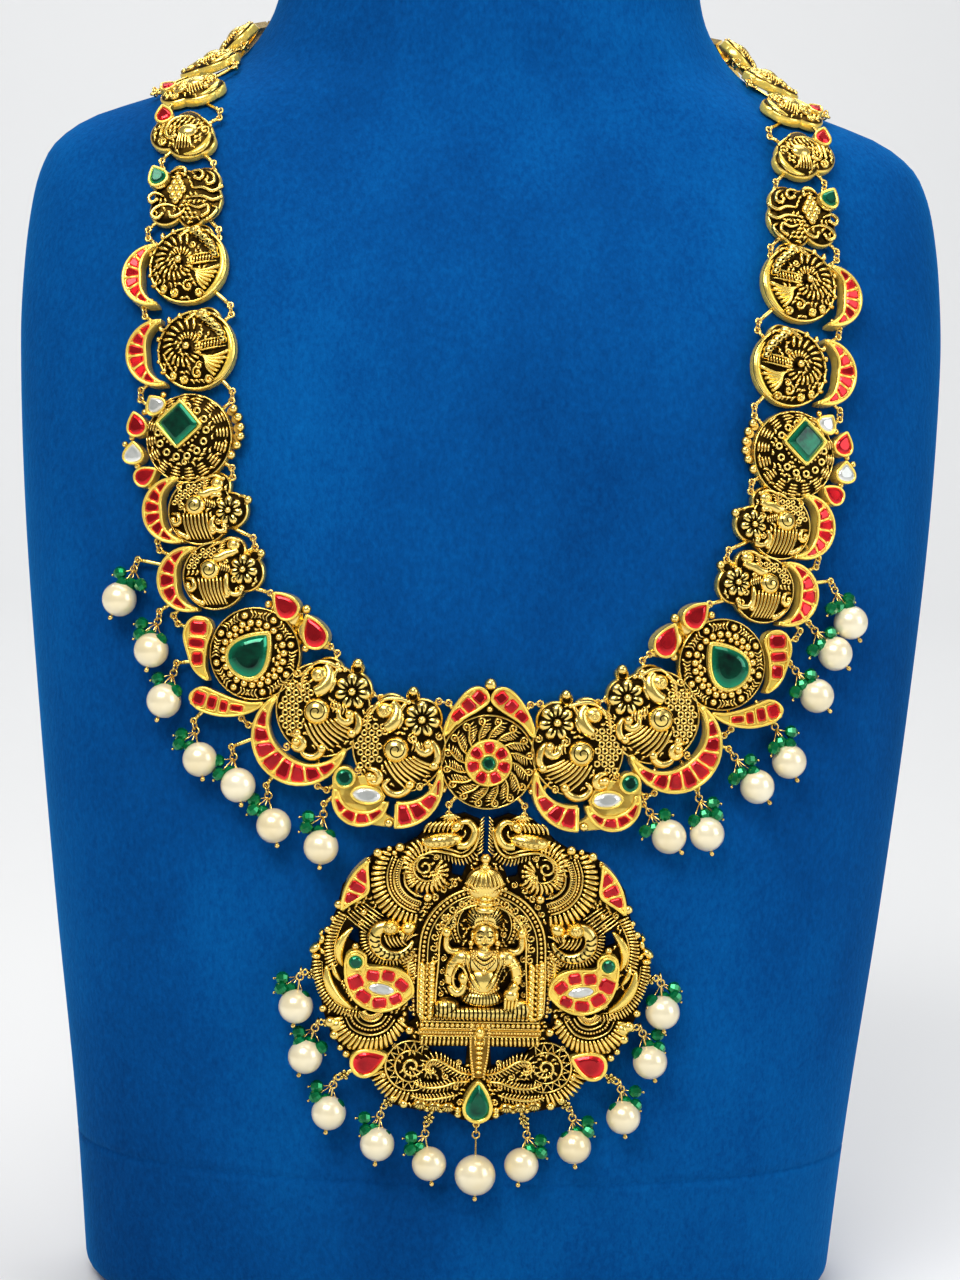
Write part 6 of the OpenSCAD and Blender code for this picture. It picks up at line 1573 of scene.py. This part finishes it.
def wheelAndTails(gold):
    cx, cy = -15.6, -23
    over = hills(1.4, (cx, cy, 6.4, 1), (-8.4, -24.2, 6.4, 1.3), (-9.6, -29, 8, 0.9))
    paintedShadeMound(gold, cx, cy, 1, 5.8, 5.8, 1.4)
    paintedShadeMound(gold, -8.2, -24.6, 1, 5.8, 3.8, 1.5, -20)
    paintedShadeMound(gold, -10.4, -29.2, 1, 8.8, 3.2, 1.2, 8)
    for r in (5.9, 3.7):
        ridge(gold, arcPath(cx, cy, r, 45, 310, 14), 0.62, 1, over, finishAndShade=1.2)
    for k in range(12):  # pointed cells of the wheel
        a = 52 + 255 / 12 * k
        p = [arcPath(cx, cy, r, w, w, 1)[0] for r, w in ((3.9, a), (5.6, a + 10), (3.9, a + 20))]
        ridge(gold, [p[0], between(p[0], p[1], 0.9), p[1], between(p[2], p[1], 0.9), p[2]], 0.42, 0.8, over,
            (0.7, 0.7), 10, 1.1)
    scroll(gold, spiralPath(cx + 0.2, cy, 2.8, 0.5, 20, -1.4), 0.85, 1.1, over, finishAndShade=1.25, cuts=18)
    for a in fan(5, 200, 30):
        ridge(gold, [around(cx, cy, a, 1.2), around(cx, cy, a + 0.2, 3.1)], 0.6, 0.8, over, (0.4, 0.9), 5)
    long = [(-1.2, -25), (-4, -24.4), (-6.9, -22.7), (-9.4, -21.3), (-11.6, -21.6), (-12.3, -23.6),
        (-11, -24.6), (-9.8, -23.8)]
    middle = [(-1.8, -26.6), (-5.2, -26.6), (-8.2, -27.6), (-11.6, -28), (-14.6, -27.2)]
    low = [(-4.6, -29.6), (-8.2, -30.4), (-12, -30.8), (-15.6, -30)]
    for spine, wide, n in ((long, 1.75, 19), (middle, 1.35, 14), (low, 1.3, 12)):
        frond(gold, spine, wide, n, over, 1, (-1, 1), 0.52)
    curls(gold, over, (-7.6, -25.2, 0.9, 100), (-5, -28, 0.8, 20), (-4, -31.6, 0.9, 0),
        (-4.6, -22, 0.8, 190, -1.2))
    bandRibs(gold, arcPath(cx, cy, 6.3, 168, 268), arcPath(cx, cy, 9.5, 174, 262), 13, 0.86, 1.5, 1.05, 1.15,
        end=0.42)
    for x, y in ((-13.2, -32.2), (-9.9, -32.6), (-6.8, -32.8)):  # half shells on the lower edge, their ribs painted dark as shade
        knob(gold, x, y, 1.9, 1.5, 1.9, 0, 1.4)
        for a in fan(5, 205, 32):
            ridge(gold, [(x, y + 0.9), around(x, y, a, 1.8, 1.4)], 0.26, 0.26, hills(1.4, (x, y, 2, 1.8)),
                (0.8, 0.8), 5, 0.3)
    balls(gold, 1.6, (-17, -32.2, 1.05), (-11.6, -33.4, 0.7), (-8.4, -33.6, 0.7), (-4.4, -33.4, 0.9),
        (-19.6, -30.9, 0.8))


def settingsOnPendant(gold, gems):
    # Comma of seven rubies round a white marquise, with a green cabochon at its head
    comma = [(-31.2, 3.2), (-31.6, -0.6), (-30.6, -5), (-28.6, -8), (-25.6, -9.6), (-22.2, -10),
        (-18.8, -8.8), (-16.6, -7), (-15.4, -5.2), (-16.2, -2.2), (-18.6, -0.2), (-21.8, 0.6), (-25.6, 0.6),
        (-26.8, 1.4), (-27, 3.4), (-29.1, 4.4)]
    leafSlab(gold, comma, (-23.4, -4), 3.4)
    setStones(gold, gems, 3.4, [(-28.9, -3.1, 1.75, 1.55, 25), (-25, -1.5, 1.45, 1.2, -5),
        (-21.4, -1.5, 1.45, 1.2, -12), (-18.3, -3.6, 1.5, 1.2, -40), (-19.6, -6.9, 1.4, 1.1, 25),
        (-23.3, -7.9, 1.65, 1.15, 4), (-27, -6.4, 1.7, 1.3, -35)])
    leaf = [(2.9 * cos(a), 1.2 * sin(a) * (0.75 + 0.25 * abs(sin(a)))) for a in turns(16)]
    collar(gold, placed([(x * 1.12, y * 1.25) for x, y in leaf], -22.9, -4.7, -10), 0.45, 0.42, 3.4, 26)
    gem(gemWork(gems, "whiteStone"), placed(leaf, -22.9, -4.7, -10), 3.3, 0.8, 0.55, 0.5)
    bezel(gold, gems, placed(circleOutline(2.2), -29, 1.7), "emerald", 1.9, 0.75, 0.9)
    ball(gold, -29.1, 5, 0.9, 1.8, 0.7)
    # Paisley of three rubies at the shoulder
    stoneRow(gold, gems, *around(-28.9, 18.6, radians(-24), 11), 14, 126, 182, 5.6, 3, ends=(0.12, 0.12),
        lift=1.3)
    bezel(gold, gems, placed(dropOutline(9.2, 7.2, 28), -25.3, -21.9, -68), "ruby", 1.5, 1, 0.9)


def shrine(gold):
    arch = [(-14.4, -11.2), (-14.6, -5), (-14.5, 1)] + arcPath(0, 5.2, 14.4, 180, 0, 12) + [(14.5, 1),
        (14.6, -5), (14.4, -11.2)]
    inner = [(-10.6, -11.2), (-10.4, -4), (-10, 2)] + arcPath(0, 5.6, 10, 180, 0, 12) + [(10, 2), (10.4, -4),
        (10.6, -11.2)]
    # the arch's top is painted near black as the shade between its ornaments
    slab(gold, arch + inner[::-1], 1.2, 3, 0.2, 0.8, 0.06)
    across = lambda t: [between(p, q, t) for p, q in zip(arch, inner)]
    for t, width, high in ((0, 0.6, 0.9), (0.42, 0.4, 0.8), (1, 0.62, 1)):
        ridge(gold, across(t), width, high, 2.9, (0.9, 0.9), 60, 1.2)
    beadRow(gold, across(0.21)[2:-2], 48, 0.48, 3)
    beadRow(gold, across(0.86)[2:-2], 46, 0.3, 3)
    for k, a in enumerate(fan(17, -14, 13)):  # scrolls between the two rims
        x, y = 11.3 * cos(a), 5.5 + 11.4 * sin(a)
        side = 1 if k < 8 else -1
        curl = spiralPath(x, y, 1.15, 0.25, degrees(a) + 90 * side, 1.15 * side, 12)
        scroll(gold, curl, 0.5, 0.85, 2.9, finishAndShade=1.2, cuts=12)
    for side in (-1, 1):  # leafy columns
        for k in range(10):
            y = -10.8 + 1.3 * k
            for sx in (-1, 1):
                knob(gold, side * 12.6 + sx * 1.05, y + (0.4 if sx > 0 else 0), 0.8, 1.3, 1.5, -32 * sx, 3, 2)
            ball(gold, side * 12.6, y + 0.8, 0.42, 3.5, 0.9, 1)
        beadRow(gold, sided(side, (15.3, -10.8), (15.5, -4), (15.1, 3)), 14, 0.52, 1.9)
        scroll(gold, sided(side, (15.2, 3.2), (16.8, 1.4), (16.6, -1.8), (15.6, -2.6)), 0.9, 1.1, 1.5, True,
            1.2)
    # the base slabs have their tops painted darker as shade
    slab(gold, [(-13.8, -17.3), (13.8, -17.3), (13.8, -10.6), (-13.8, -10.6)], 0.6, 2.9, 0.15, 1, 0.1)
    slab(gold, [(-14.1, -15.3), (14.1, -15.3), (14.1, -13.9), (-14.1, -13.9)], 0.6, 3.5, 0.3, 1.1, 0.5)
    for y, half, r, n, z in ((-11.3, 12.6, 0.5, 27, 3.3), (-12.9, 13.4, 0.62, 24, 3.2)):
        beadRow(gold, [(-half, y), (0, y), (half, y)], n, r, z, sit=0.4)
    beadRow(gold, [(-13.6, -14.6), (0, -14.6), (13.6, -14.6)], 40, 0.34, 3.7, sit=0.3)
    for y, z in ((-13.7, 3.1), (-12.1, 3.2), (-15.5, 3.1)):
        ridge(gold, [(-13.7, y), (0, y), (13.7, y)], 0.5, 0.6, z, (0.9, 0.9), 20, 1.25)
    bandRibs(gold, [(-13.2, -15.7), (13.2, -15.7)], [(-13.4, -17.6), (13.4, -17.6)], 27, 0.8, 2.9, 0.9, 1.2,
        end=0.4)
    # Parasol with its ribs, bead edge and finial
    cap = bulge(0, 19.8, 4.7, 4.4, 2.4, 2.8, 0.02)
    # the slab under the parasol has its top painted near black as shade
    slab(gold, [(-4.5, 19.8)] + arcPath(0, 19.9, 4.4, 172, 8, 10) + [(4.5, 19.8), (0, 19.2)], 1.2, 2.6, 0.1,
        0.6, 0.1)
    for a in fan(11, 168, -15.6):
        foot = around(0, 19.9, a, 4.5, 0.4)
        ridge(gold, [(0.5 * cos(a), 24), (3 * cos(a), 22.6), foot], 0.7, 0.6, cap, (0.5, 1), 8, 1.25,
            sink=1.2)
    stamp(gold, "ball", 3, sized(0, 19.9, 2.2, 4.5, 4.1, 2.7))
    beadRow(gold, [(-4.7, 19.5), (-2.4, 18.9), (0, 18.7), (2.4, 18.9), (4.7, 19.5)], 13, 0.5, 4, sit=0.6)
    beadRow(gold, [(-4.4, 20.5), (-2.2, 20), (0, 19.9), (2.2, 20), (4.4, 20.5)], 13, 0.32, lambda u,
        v: cap(u, v) + 0.1, sit=0.6)
    knob(gold, 0, 24.2, 1.5, 0.8, 1.6, 0, 2.6, 2)
    ball(gold, 0, 26.2, 1.2, 2.2, 0.6)
    ball(gold, 0, 25, 0.75, 2.6, 0.6)


def seatedFigure(gold):  # a generic calm deity, cross-legged, with two hands raised and two lowered
    part = smallMesh()
    for r, z in ((7.6, 2.2), (6.2, 2.4)):  # halo
        ridge(part, arcPath(0, 10.4, r, -34, 214, 18), 0.55, 1, z, cuts=40, finishAndShade=1.15)
    beadRow(part, arcPath(0, 10.4, 6.9, -32, 212, 14), 34, 0.42, 2.7)
    for a in fan(15, -22, 16):
        ridge(part, [around(0, 10.4, a, 7.8), around(0, 10.4, a + 0.05, 9.3, 8.9)], 0.95, 0.9, 1.8,
            (0.5, 0.9), 5, 1.1)
    knob(part, 0, 12.5, 4.5, 4.1, 3.4, 0, 1.8)  # hair
    hair = bulge(0, 12.5, 4.6, 4.2, 1.7, 3.4, 0.03)
    # strands of the hair, painted near black as the shade between locks
    for a in fan(17, -20, 13.75):
        ridge(part, [around(0, 11.4, a, 2.5, 2), around(0, 12.4, a, 4.3, 3.8)], 0.42, 0.34, hair, (0.7, 0.7),
            7, 0.02)
    stamp(part, "ball", 3, sized(0, 8.6, 3.9, 2.7, 3.3, 2.7))  # head
    tiers = [(14.4, 3.1, 1.3), (15.8, 2.6, 1), (17, 2.1, 0.85), (18, 1.5, 0.75), (18.8, 0.8, 0.6)]  # crown
    for k, (y, w, h) in enumerate(tiers):
        knob(part, 0, y, w, h, 3.4 - 0.3 * k, 0, 2.4, 2)
        if k < 3:
            beadRow(part, [(-w * 0.9, y - h * 0.7), (0, y - h * 0.9), (w * 0.9, y - h * 0.7)], 9 - k, 0.28,
                4.9 - 0.3 * k, sit=0.4)
    beadRow(part, [(-2.7, 10.8), (-1.4, 11.7), (0, 12), (1.4, 11.7), (2.7, 10.8)], 11, 0.4, 5.3, sit=0.6)
    ball(part, 0, 12.9, 0.7, 5.4, 0.4)
    front = hills(3.9, (0, 8.6, 3.4, 2.65))
    for side in (-1, 1):
        # brow, painted dark as shade
        ridge(part, sided(side, (0.4, 9.7), (1.1, 10), (2, 9.5)), 0.34, 0.3, front, (0.6, 0.4), 6, 0.05)
        stamp(part, "ball", 1, sized(side * 1.1, 9, front(1.1, 9) - 0.14, 0.72, 0.4, 0.34))  # closed eye; the line below it is painted near black as shade
        ridge(part, sided(side, (0.4, 8.85), (1.1, 8.55), (1.85, 8.85)), 0.34, 0.3, front, (0.6, 0.6), 6,
            0.02)
        knob(part, side * 2.75, 8.4, 0.55, 1.2, 1.5, 0, 3.5, 2)  # ear
        ball(part, side * 3, 6.7, 0.75, 3.6, 0.4, 2)
        ball(part, side * 3, 5.6, 0.5, 3.5, 0.4, 1)
        knob(part, side * 1.2, 7.6, 0.8, 0.8, 0.35, 0, lambda x, y: front(x, y) - 0.1, 2)  # cheek
        ball(part, side * 0.3, 7.75, 0.22, front, 0.5, 1)
    for path, wide, high, tips, finishAndShade in (          # nose, lips and the line between them, which is painted near black as shade
            ([(0, 9.2), (0, 8.3), (0, 7.75)], 0.44, 0.5, (0.4, 1.1), 1.35),
            ([(-0.8, 7.1), (0, 7.2), (0.8, 7.1)], 0.3, 0.3, (0.3, 0.3), 1.3),
            ([(-1, 6.95), (0, 6.82), (1, 6.95)], 0.22, 0.36, (0.3, 0.3), 0.02),
            ([(-0.6, 6.6), (0, 6.45), (0.6, 6.6)], 0.34, 0.34, (0.3, 0.3), 1.3)):
        ridge(part, path, wide, high, front, tips, 6, finishAndShade)
    knob(part, 0, 5.95, 0.7, 0.5, 0.4, 0, lambda x, y: front(0, 6.3) - 0.1, 2)
    knob(part, 0, 5, 1.7, 1.6, 2.6, 0, 2.8, 2)  # neck
    masses = ((0, 2.4, 5, 3.4, 3), (-4.7, 3, 2.9, 2.3, 2.7), (4.7, 3, 2.9, 2.3, 2.7), (0, -2.6, 4, 3.9, 2.8),
        (0, -6.4, 5.2, 2.2, 2.6))
    tops = []
    for x, y, rx, ry, h in masses:  # chest, shoulders, waist and lap
        stamp(part, "ball", 3, sized(x, y, 2.8, rx, ry, h))
        tops.append(bulge(x, y, rx, ry, 2.6, h))
    chest = lambda u, v: max(top(u, v) for top in tops)
    # each bead swag has a line beneath it painted near black as shade
    for drop, wide, r in ((3.6, 1.8, 0.34), (2.5, 2.4, 0.4), (1, 3, 0.36)):
        swag = lambda y, low, far: [(-wide, y), (-wide * 0.75, low), (0, far), (wide * 0.75, low), (wide, y)]
        beadRow(part, swag(4.8, (4.8 + drop) / 2 - 0.1, drop), 15, r, chest, sit=0.7)
        ridge(part, swag(4.5, (4.5 + drop) / 2 - 0.5, drop - 0.6), 0.42, 0.32, chest, finishAndShade=0.02, cuts=16)
    ball(part, 0, 0.4, 0.8, chest, 0.5)
    for side in (-1, 1):
        sash = sided(side, (3.6, 4.8), (3.7, 1.4), (2.4, -1.6), (0.9, -4))
        strand(part, sash, 0.8, 0.8, chest, 1.25, cuts=16)
        # lines beside each sash, painted near black as shade
        for d in (0.62, -0.62):
            ridge(part, offset(sash, d), 0.42, 0.34, chest, finishAndShade=0.02, cuts=14)
        beadRow(part, sided(side, (4.5, 4.4), (4.6, 1.2), (3.2, -2.2), (1.6, -4.4)), 16, 0.34, chest, sit=0.6)
    beadRow(part, [(-3.6, -4), (0, -5), (3.6, -4)], 13, 0.42, chest, sit=0.6)
    for k in range(15):  # pleats of the lap, lines painted near black as shade
        x = -5.2 + 10.4 * k / 14
        ridge(part, [(x * 0.8, -4.9), (x, -6.4), (x * 1.1, -7.9)], 0.4, 0.34, chest, (0.7, 0.7), 7, 0.02)
    for side in (-1, 1):
        arm = sided(side, (5.6, 3.6), (7.4, 0.6), (7.7, -3))
        strand(part, arm, 3, 2.4, 2.8, 1.15, (0.9, 0.75), 14)
        for t in (0.3, 0.42, 0.72):
            x, y = alongPath(arm, t)
            ridge(part, [(x - 1.4, y - 0.5 * side), (x, y + 0.1), (x + 1.4, y + 0.5 * side)], 0.42, 0.36, 4.9,
                cuts=6, finishAndShade=1.3)
        strand(part, sided(side, (5.4, 4.6), (7.4, 4.4), (8.6, 5.6), (8.6, 8.2)), 1.9, 1.6, 2.4, 1.15,
            (0.9, 0.8), 14)
        knob(part, side * 8.6, 8.8, 1.3, 1.4, 1.8, 0, 2.6, 2)
        flower(part, side * 8.4, 11.2, 2.1, 7, 2.6)
        spots = ((9.2, 2.6, 0.9, 90), (9.4, -0.4, 0.9, 90), (9.4, -3.2, 0.8, 90), (9.6, -5.8, 0.8, 90),
            (7, 15.6, 0.9, 60), (4.6, 17.8, 0.8, 60))
        curls(part, 2, *((side * x, y, r, start, side * 1.2) for x, y, r, start in spots))
        stamp(part, "ball", 3, sized(side * 8.4, -8.6, 3, 3.2, 2.2, 2.7, side * -10))  # knee
    seat = [(-11, -9.6), (-5.6, -9.9), (0, -9.9), (5.6, -9.9), (10.6, -9.6)]
    strand(part, seat, 3.4, 2.7, 2.6, 1.15, (0.85, 0.85), 26)
    knees = bulge(8.4, -8.6, 3.2, 2.3, 3.05, 2.75)
    seatTop = lambda u, v: max(2.75 + 2.6 * sqrt(max(0.05, 1 - ((v + 9.9) / 1.9) ** 2)), knees(abs(u), v))
    for k in range(22):  # folds over the crossed legs, lines painted near black as shade
        x = -11 + k
        top = -7.2 if abs(x) > 5.8 else -8.3
        ridge(part, [(x - 0.2, top), (x, (top - 11.3) / 2), (x - 0.1, -11.3)], 0.42, 0.22, seatTop,
            (0.6, 0.6), 9, 0.02)
    strand(part, [(-7.6, -3.2), (-6.6, -4.8), (-5, -4.6), (-4.5, -2.8)], 2.2, 2, 3.9, 1.2, (0.8, 0.8), 12)
    knob(part, -4.7, -1.5, 1.25, 1.7, 1.9, 0, 4.2, 2)
    collar(part, [(-6.4, -3.6), (-7, -1), (-5.6, 1.6), (-3.9, -0.6), (-4.6, -3.4)], 0.6, 0.8, 4.9, 20, 1.25)
    strand(part, [(7.7, -2.8), (7, -3.6), (6.6, -5)], 2.6, 2.3, 3.9, 1.25, (0.9, 0.9), 10)
    knob(part, 6.5, -5.2, 1.9, 1.7, 2, 0, 4.4, 2)
    for k in range(4):
        ridge(part, [(5.2 + 0.85 * k, -5.8), (5.1 + 0.78 * k, -9 + 0.25 * abs(k - 1.5))], 0.82, 0.95, 5,
            (0.9, 0.7), 6, 1.35)
    into(gold, part, Matrix.Translation((0.3, 0, 0)))


def tongueAndTip(gold, gems):
    # the tongue's top is painted darker as shade
    slab(gold, [(-2.5, -12.4), (2.5, -12.4), (2.2, -20), (1.5, -25.4), (-1.5, -25.4), (-2.2, -20)], 0.8, 3.5,
        0.3, 1, 0.3)
    for side in (-1, 1):
        beadRow(gold, sided(side, (2.1, -12.6), (2, -19), (1.1, -25)), 20, 0.36, 3.5, sit=0.4)
    knob(gold, 0, -14.6, 1.3, 1.5, 1.5, 0, 3.4, 2)
    ringlet(gold, 0, -14.6, 4.7, 0.8, 0.6, 10)
    for k in range(7):
        y = -17 - 1.15 * k
        knob(gold, 0, y, 1.2 - 0.06 * k, 0.55, 1.1, 0, 3.4, 2)
    x, y, l, w = pendant["tip"]
    bezel(gold, gems, placed(dropOutline(l, w, 32), x, y), "emerald", 2, 1.05, 1.2)
    for side in (-1, 1):
        for k in range(5):
            ball(gold, side * (1.4 + 0.75 * k), -25.9 - 0.25 * k, 0.42 - 0.03 * k, 2, 0.5, 1)
        ball(gold, side * 4.4, -34.6, 0.9, 1.5, 0.5)


def pendantEyelets(gold):
    place = pendantPlace
    n = place.col[2].xyz
    spots = [(d[0], d[1], (d[0] * 0.55, d[1] * 0.55 - 4)) for d in pendant["drops"]] + [(*pendant["tipDrop"],
        (0, -30))]
    for x, y, toward in spots:
        for side in ((1, -1) if x else (1,)):
            c = place @ Vector((side * x, y, 0.7))
            to = place @ Vector((side * toward[0], toward[1], 0.7))
            d = inPlane(to - c, n)
            eyelet(gold, place, c, n, d, to)
            flower(gold, side * x + 2.6 * d.dot(place.col[0].xyz), y + 2.6 * d.dot(place.col[1].xyz), 1.3, 5,
                1.2)
    spot, n, up = pendantRing()
    half = smallMesh()
    eyelet(half, place, spot, n, -up, place @ Vector((-8.6, 30, 0.7)))
    for a in fan(7, 200, 23):
        tip = around(-8.2, 36, a, 2.6, 2)
        ridge(half, [(-8.2, 36.2), tip], 0.7, 0.9, 1.6, (0.9, 0.4), 5, 1.3)
    intoBoth(gold, half)


def makePendant():
    gold, gems = smallMesh(), {}
    pendantPlate(gold)
    half, stones = smallMesh(), {}
    for part in (peafowl, plumeBand, smallBird, outerLeaves, lowerFan, wheelAndTails):
        part(half)
    settingsOnPendant(half, stones)
    intoBoth(gold, half)
    for kind, work in stones.items():
        intoBoth(gemWork(gems, kind), work)
    shrine(gold)
    seatedFigure(gold)
    tongueAndTip(gold, gems)
    fillGround(gold, ((0.95, 1.9), (0.48, 1.1)))
    pendantEyelets(gold)
    finish(gold, "goldPendant", antiqueGold, pendantPlace, nodes=["pendant"])
    finish(gems["ruby"], "rubyStonesPendant", ruby, pendantPlace, nodes=["rubies_pendant"])
    finish(gems["emerald"], "emeraldStonesPendant", emerald, pendantPlace,
        nodes=["emerald_pendant", "emeralds_small"])
    finish(gems["whiteStone"], "whiteStonesPendant", whiteStone, pendantPlace,
        nodes=["white_stones"])


makeMiddleDisc()
makePendant()
print("middle disc and pendant made")


# Clusters of small green beads at each drop, on short pins with ball ends
beadCluster = {"bead": 1.6, "turns": (-82, -50, -18, 20), "end": 0.36, "pin": 0.16, "reach": 3.3,
    "stagger": 1.1, "past": 2}


def makeClusters():
    green, wire = smallMesh(), smallMesh()
    heads = [(*d[1:], 1) for d in dropsLeft] + [(*d[1:], -1) for d in dropsRight]
    for x, y, px, pz in pendant["drops"]:
        c = pendantPlace @ Vector((x, y, 0))
        heads += [(c.x, c.z, px, pz, 1), (c.x, c.z, px, pz, -1)]
    s = beadCluster
    for x, z, px, pz, side in heads:
        if (x, z) == (-80.5, 179.5):  # the top drop's beads hang straight down
            px, pz = x, z - 6
        f = pinned(x, z)
        origin = pinned(x * 0.8 + px * 0.2, z * 0.8 + pz * 0.2, 2.4).translation
        out = f.col[2].xyz
        swing = rng.uniform(-8, 8)
        for k, away in enumerate(s["turns"]):
            a = radians(away + swing + rng.uniform(-6, 6))
            d = sin(a) * f.col[0].xyz - cos(a) * f.col[1].xyz
            reach = s["reach"] + s["stagger"] * (k % 2) + rng.uniform(-0.3, 0.3)
            c = origin + reach * d + (0.9 + 1 * (k % 2)) * out
            start = origin + 0.4 * out
            along = c + s["past"] * d - start
            bead, end, pin = (stampOf(*kind).copy() for kind in (("cutBead", 8), ("ball", 1), ("pin", 6)))
            bead.transform(Matrix.Translation(c) @ standing(d) @ Matrix.Scale(s["bead"], 4))
            end.transform(Matrix.Translation(start + along) @ Matrix.Scale(s["end"], 4))
            pin.transform(Matrix.Translation(start) @ standing(along) @ Matrix.Diagonal((s["pin"], s["pin"],
                along.length, 1)))
            for m, work in ((bead, green), (end, wire), (pin, wire)):
                if side < 0:
                    m.transform(mirrored)
                    m.flip_normals()
                work.from_mesh(m)
                bpy.data.meshes.remove(m)
    finish(green, "greenBeadClusters", greenBead)
    finish(wire, "clusterPins", goldWire)


makeClusters()
print("bead clusters made")


# CAD nodes whose shapes are right get their finishes
for name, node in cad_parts.items():
    look = (goldWire if name.startswith(("rings", "pins", "clasp", "nape")) else creamPearl
        if name.startswith("pearls") else ruby if name.startswith("rubies") else whiteStone
        if name.startswith("white") else emerald if name.startswith("emerald") else antiqueGold)
    node.data.materials.clear()
    node.data.materials.append(look)

# Camera as fitted to the photograph's angle
view = {"azimuth": -3.5, "elevation": 7, "roll": 1.75, "distance": 0.75, "target": (0, -0.02, 0.15),
        "lens": 87.6, "shift": (1 / 1280, 47 / 1280)}


def makeCamera():
    az, el, roll = (radians(view[k]) for k in ("azimuth", "elevation", "roll"))
    back = Vector((sin(az) * cos(el), -cos(az) * cos(el), sin(el)))
    right = (-back).cross(Vector((0, 0, 1))).normalized()
    up = right.cross(-back)
    r2 = cos(roll) * right + sin(roll) * up
    u2 = -sin(roll) * right + cos(roll) * up
    data = bpy.data.cameras.new("camera")
    data.lens, data.sensor_width = view["lens"], 36
    data.shift_x, data.shift_y = view["shift"]
    data.clip_start, data.clip_end = 0.05, 20
    cam = bpy.data.objects.new("camera", data)
    m = Matrix((r2, u2, back)).transposed().to_4x4()
    m.translation = Vector(view["target"]) + view["distance"] * back
    cam.matrix_world = m
    scene.collection.objects.link(cam)
    scene.camera = cam


makeCamera()


# Pale floor that sweeps up into a wall well behind the bust, in metres
stage = {"half": 3.2, "front": -2.4, "flat": 4.1, "bend": 0.8, "wall": 0.9, "steps": 48,
         "paper": (0.735, 0.74, 0.745, 1), "sky": (0.8, 0.82, 0.85, 1), "skyLight": 0.34}

# Studio lights, in metres: place, size, watts, tint, aim
bustMiddle, wallFoot = (0, -0.02, 0.17), (0, 2.3, 0.35)
lamps = {"key": ((-0.35, -0.75, 0.95), (0.7, 0.45), 10.5, (1, 0.97, 0.92), bustMiddle),
         "fill": ((0.9, -0.6, 0.5), (0.5, 0.7), 3.6, (0.95, 0.97, 1), bustMiddle),
         "top": ((0.1, 0.1, 1.2), (1, 0.6), 5.5, (1, 1, 1), bustMiddle),
         "wall": ((0, 1.1, 1.9), (2.4, 0.5), 32, (1, 1, 1), wallFoot)}


def makeStage():
    bm = bmesh.new()
    bmesh.ops.create_grid(bm, x_segments=1, y_segments=stage["steps"], size=1)
    quarter = stage["bend"] * pi / 2
    for v in bm.verts:
        # along the sweep from its front edge
        run = (v.co.y + 1) / 2 * (stage["flat"] + quarter + stage["wall"])
        turn = min(max(run - stage["flat"], 0) / stage["bend"], pi / 2)
        y = stage["front"] + min(run, stage["flat"]) + stage["bend"] * sin(turn)
        z = stage["bend"] * (1 - cos(turn)) + max(run - stage["flat"] - quarter, 0)
        v.co = (v.co.x * stage["half"], y, z)
    for f in bm.faces:
        f.smooth = True
    m = bpy.data.meshes.new("floor")
    bm.to_mesh(m)
    bm.free()
    floor = bpy.data.objects.new("floor", m)
    scene.collection.objects.link(floor)
    mat, tree, shader = newMaterial("palePaper")
    setAll(shader, {"Base Color": stage["paper"], "Roughness": 0.8})
    m.materials.append(mat)
    world = bpy.data.worlds.new("studio")
    world.use_nodes = True
    setAll(world.node_tree.nodes["Background"], {"Color": stage["sky"], "Strength": stage["skyLight"]})
    scene.world = world
    for name, (place, size, watts, tint, aim) in lamps.items():
        data = bpy.data.lights.new(name, "AREA")
        data.shape, data.size, data.size_y = "RECTANGLE", *size
        data.energy, data.color = watts, tint
        lamp = bpy.data.objects.new(name, data)
        lamp.location = place
        lamp.rotation_euler = (Vector(aim) - Vector(place)).to_track_quat("-Z", "Y").to_euler()
        scene.collection.objects.link(lamp)


makeStage()
scene.view_settings.view_transform = "Standard"

print("scene made")
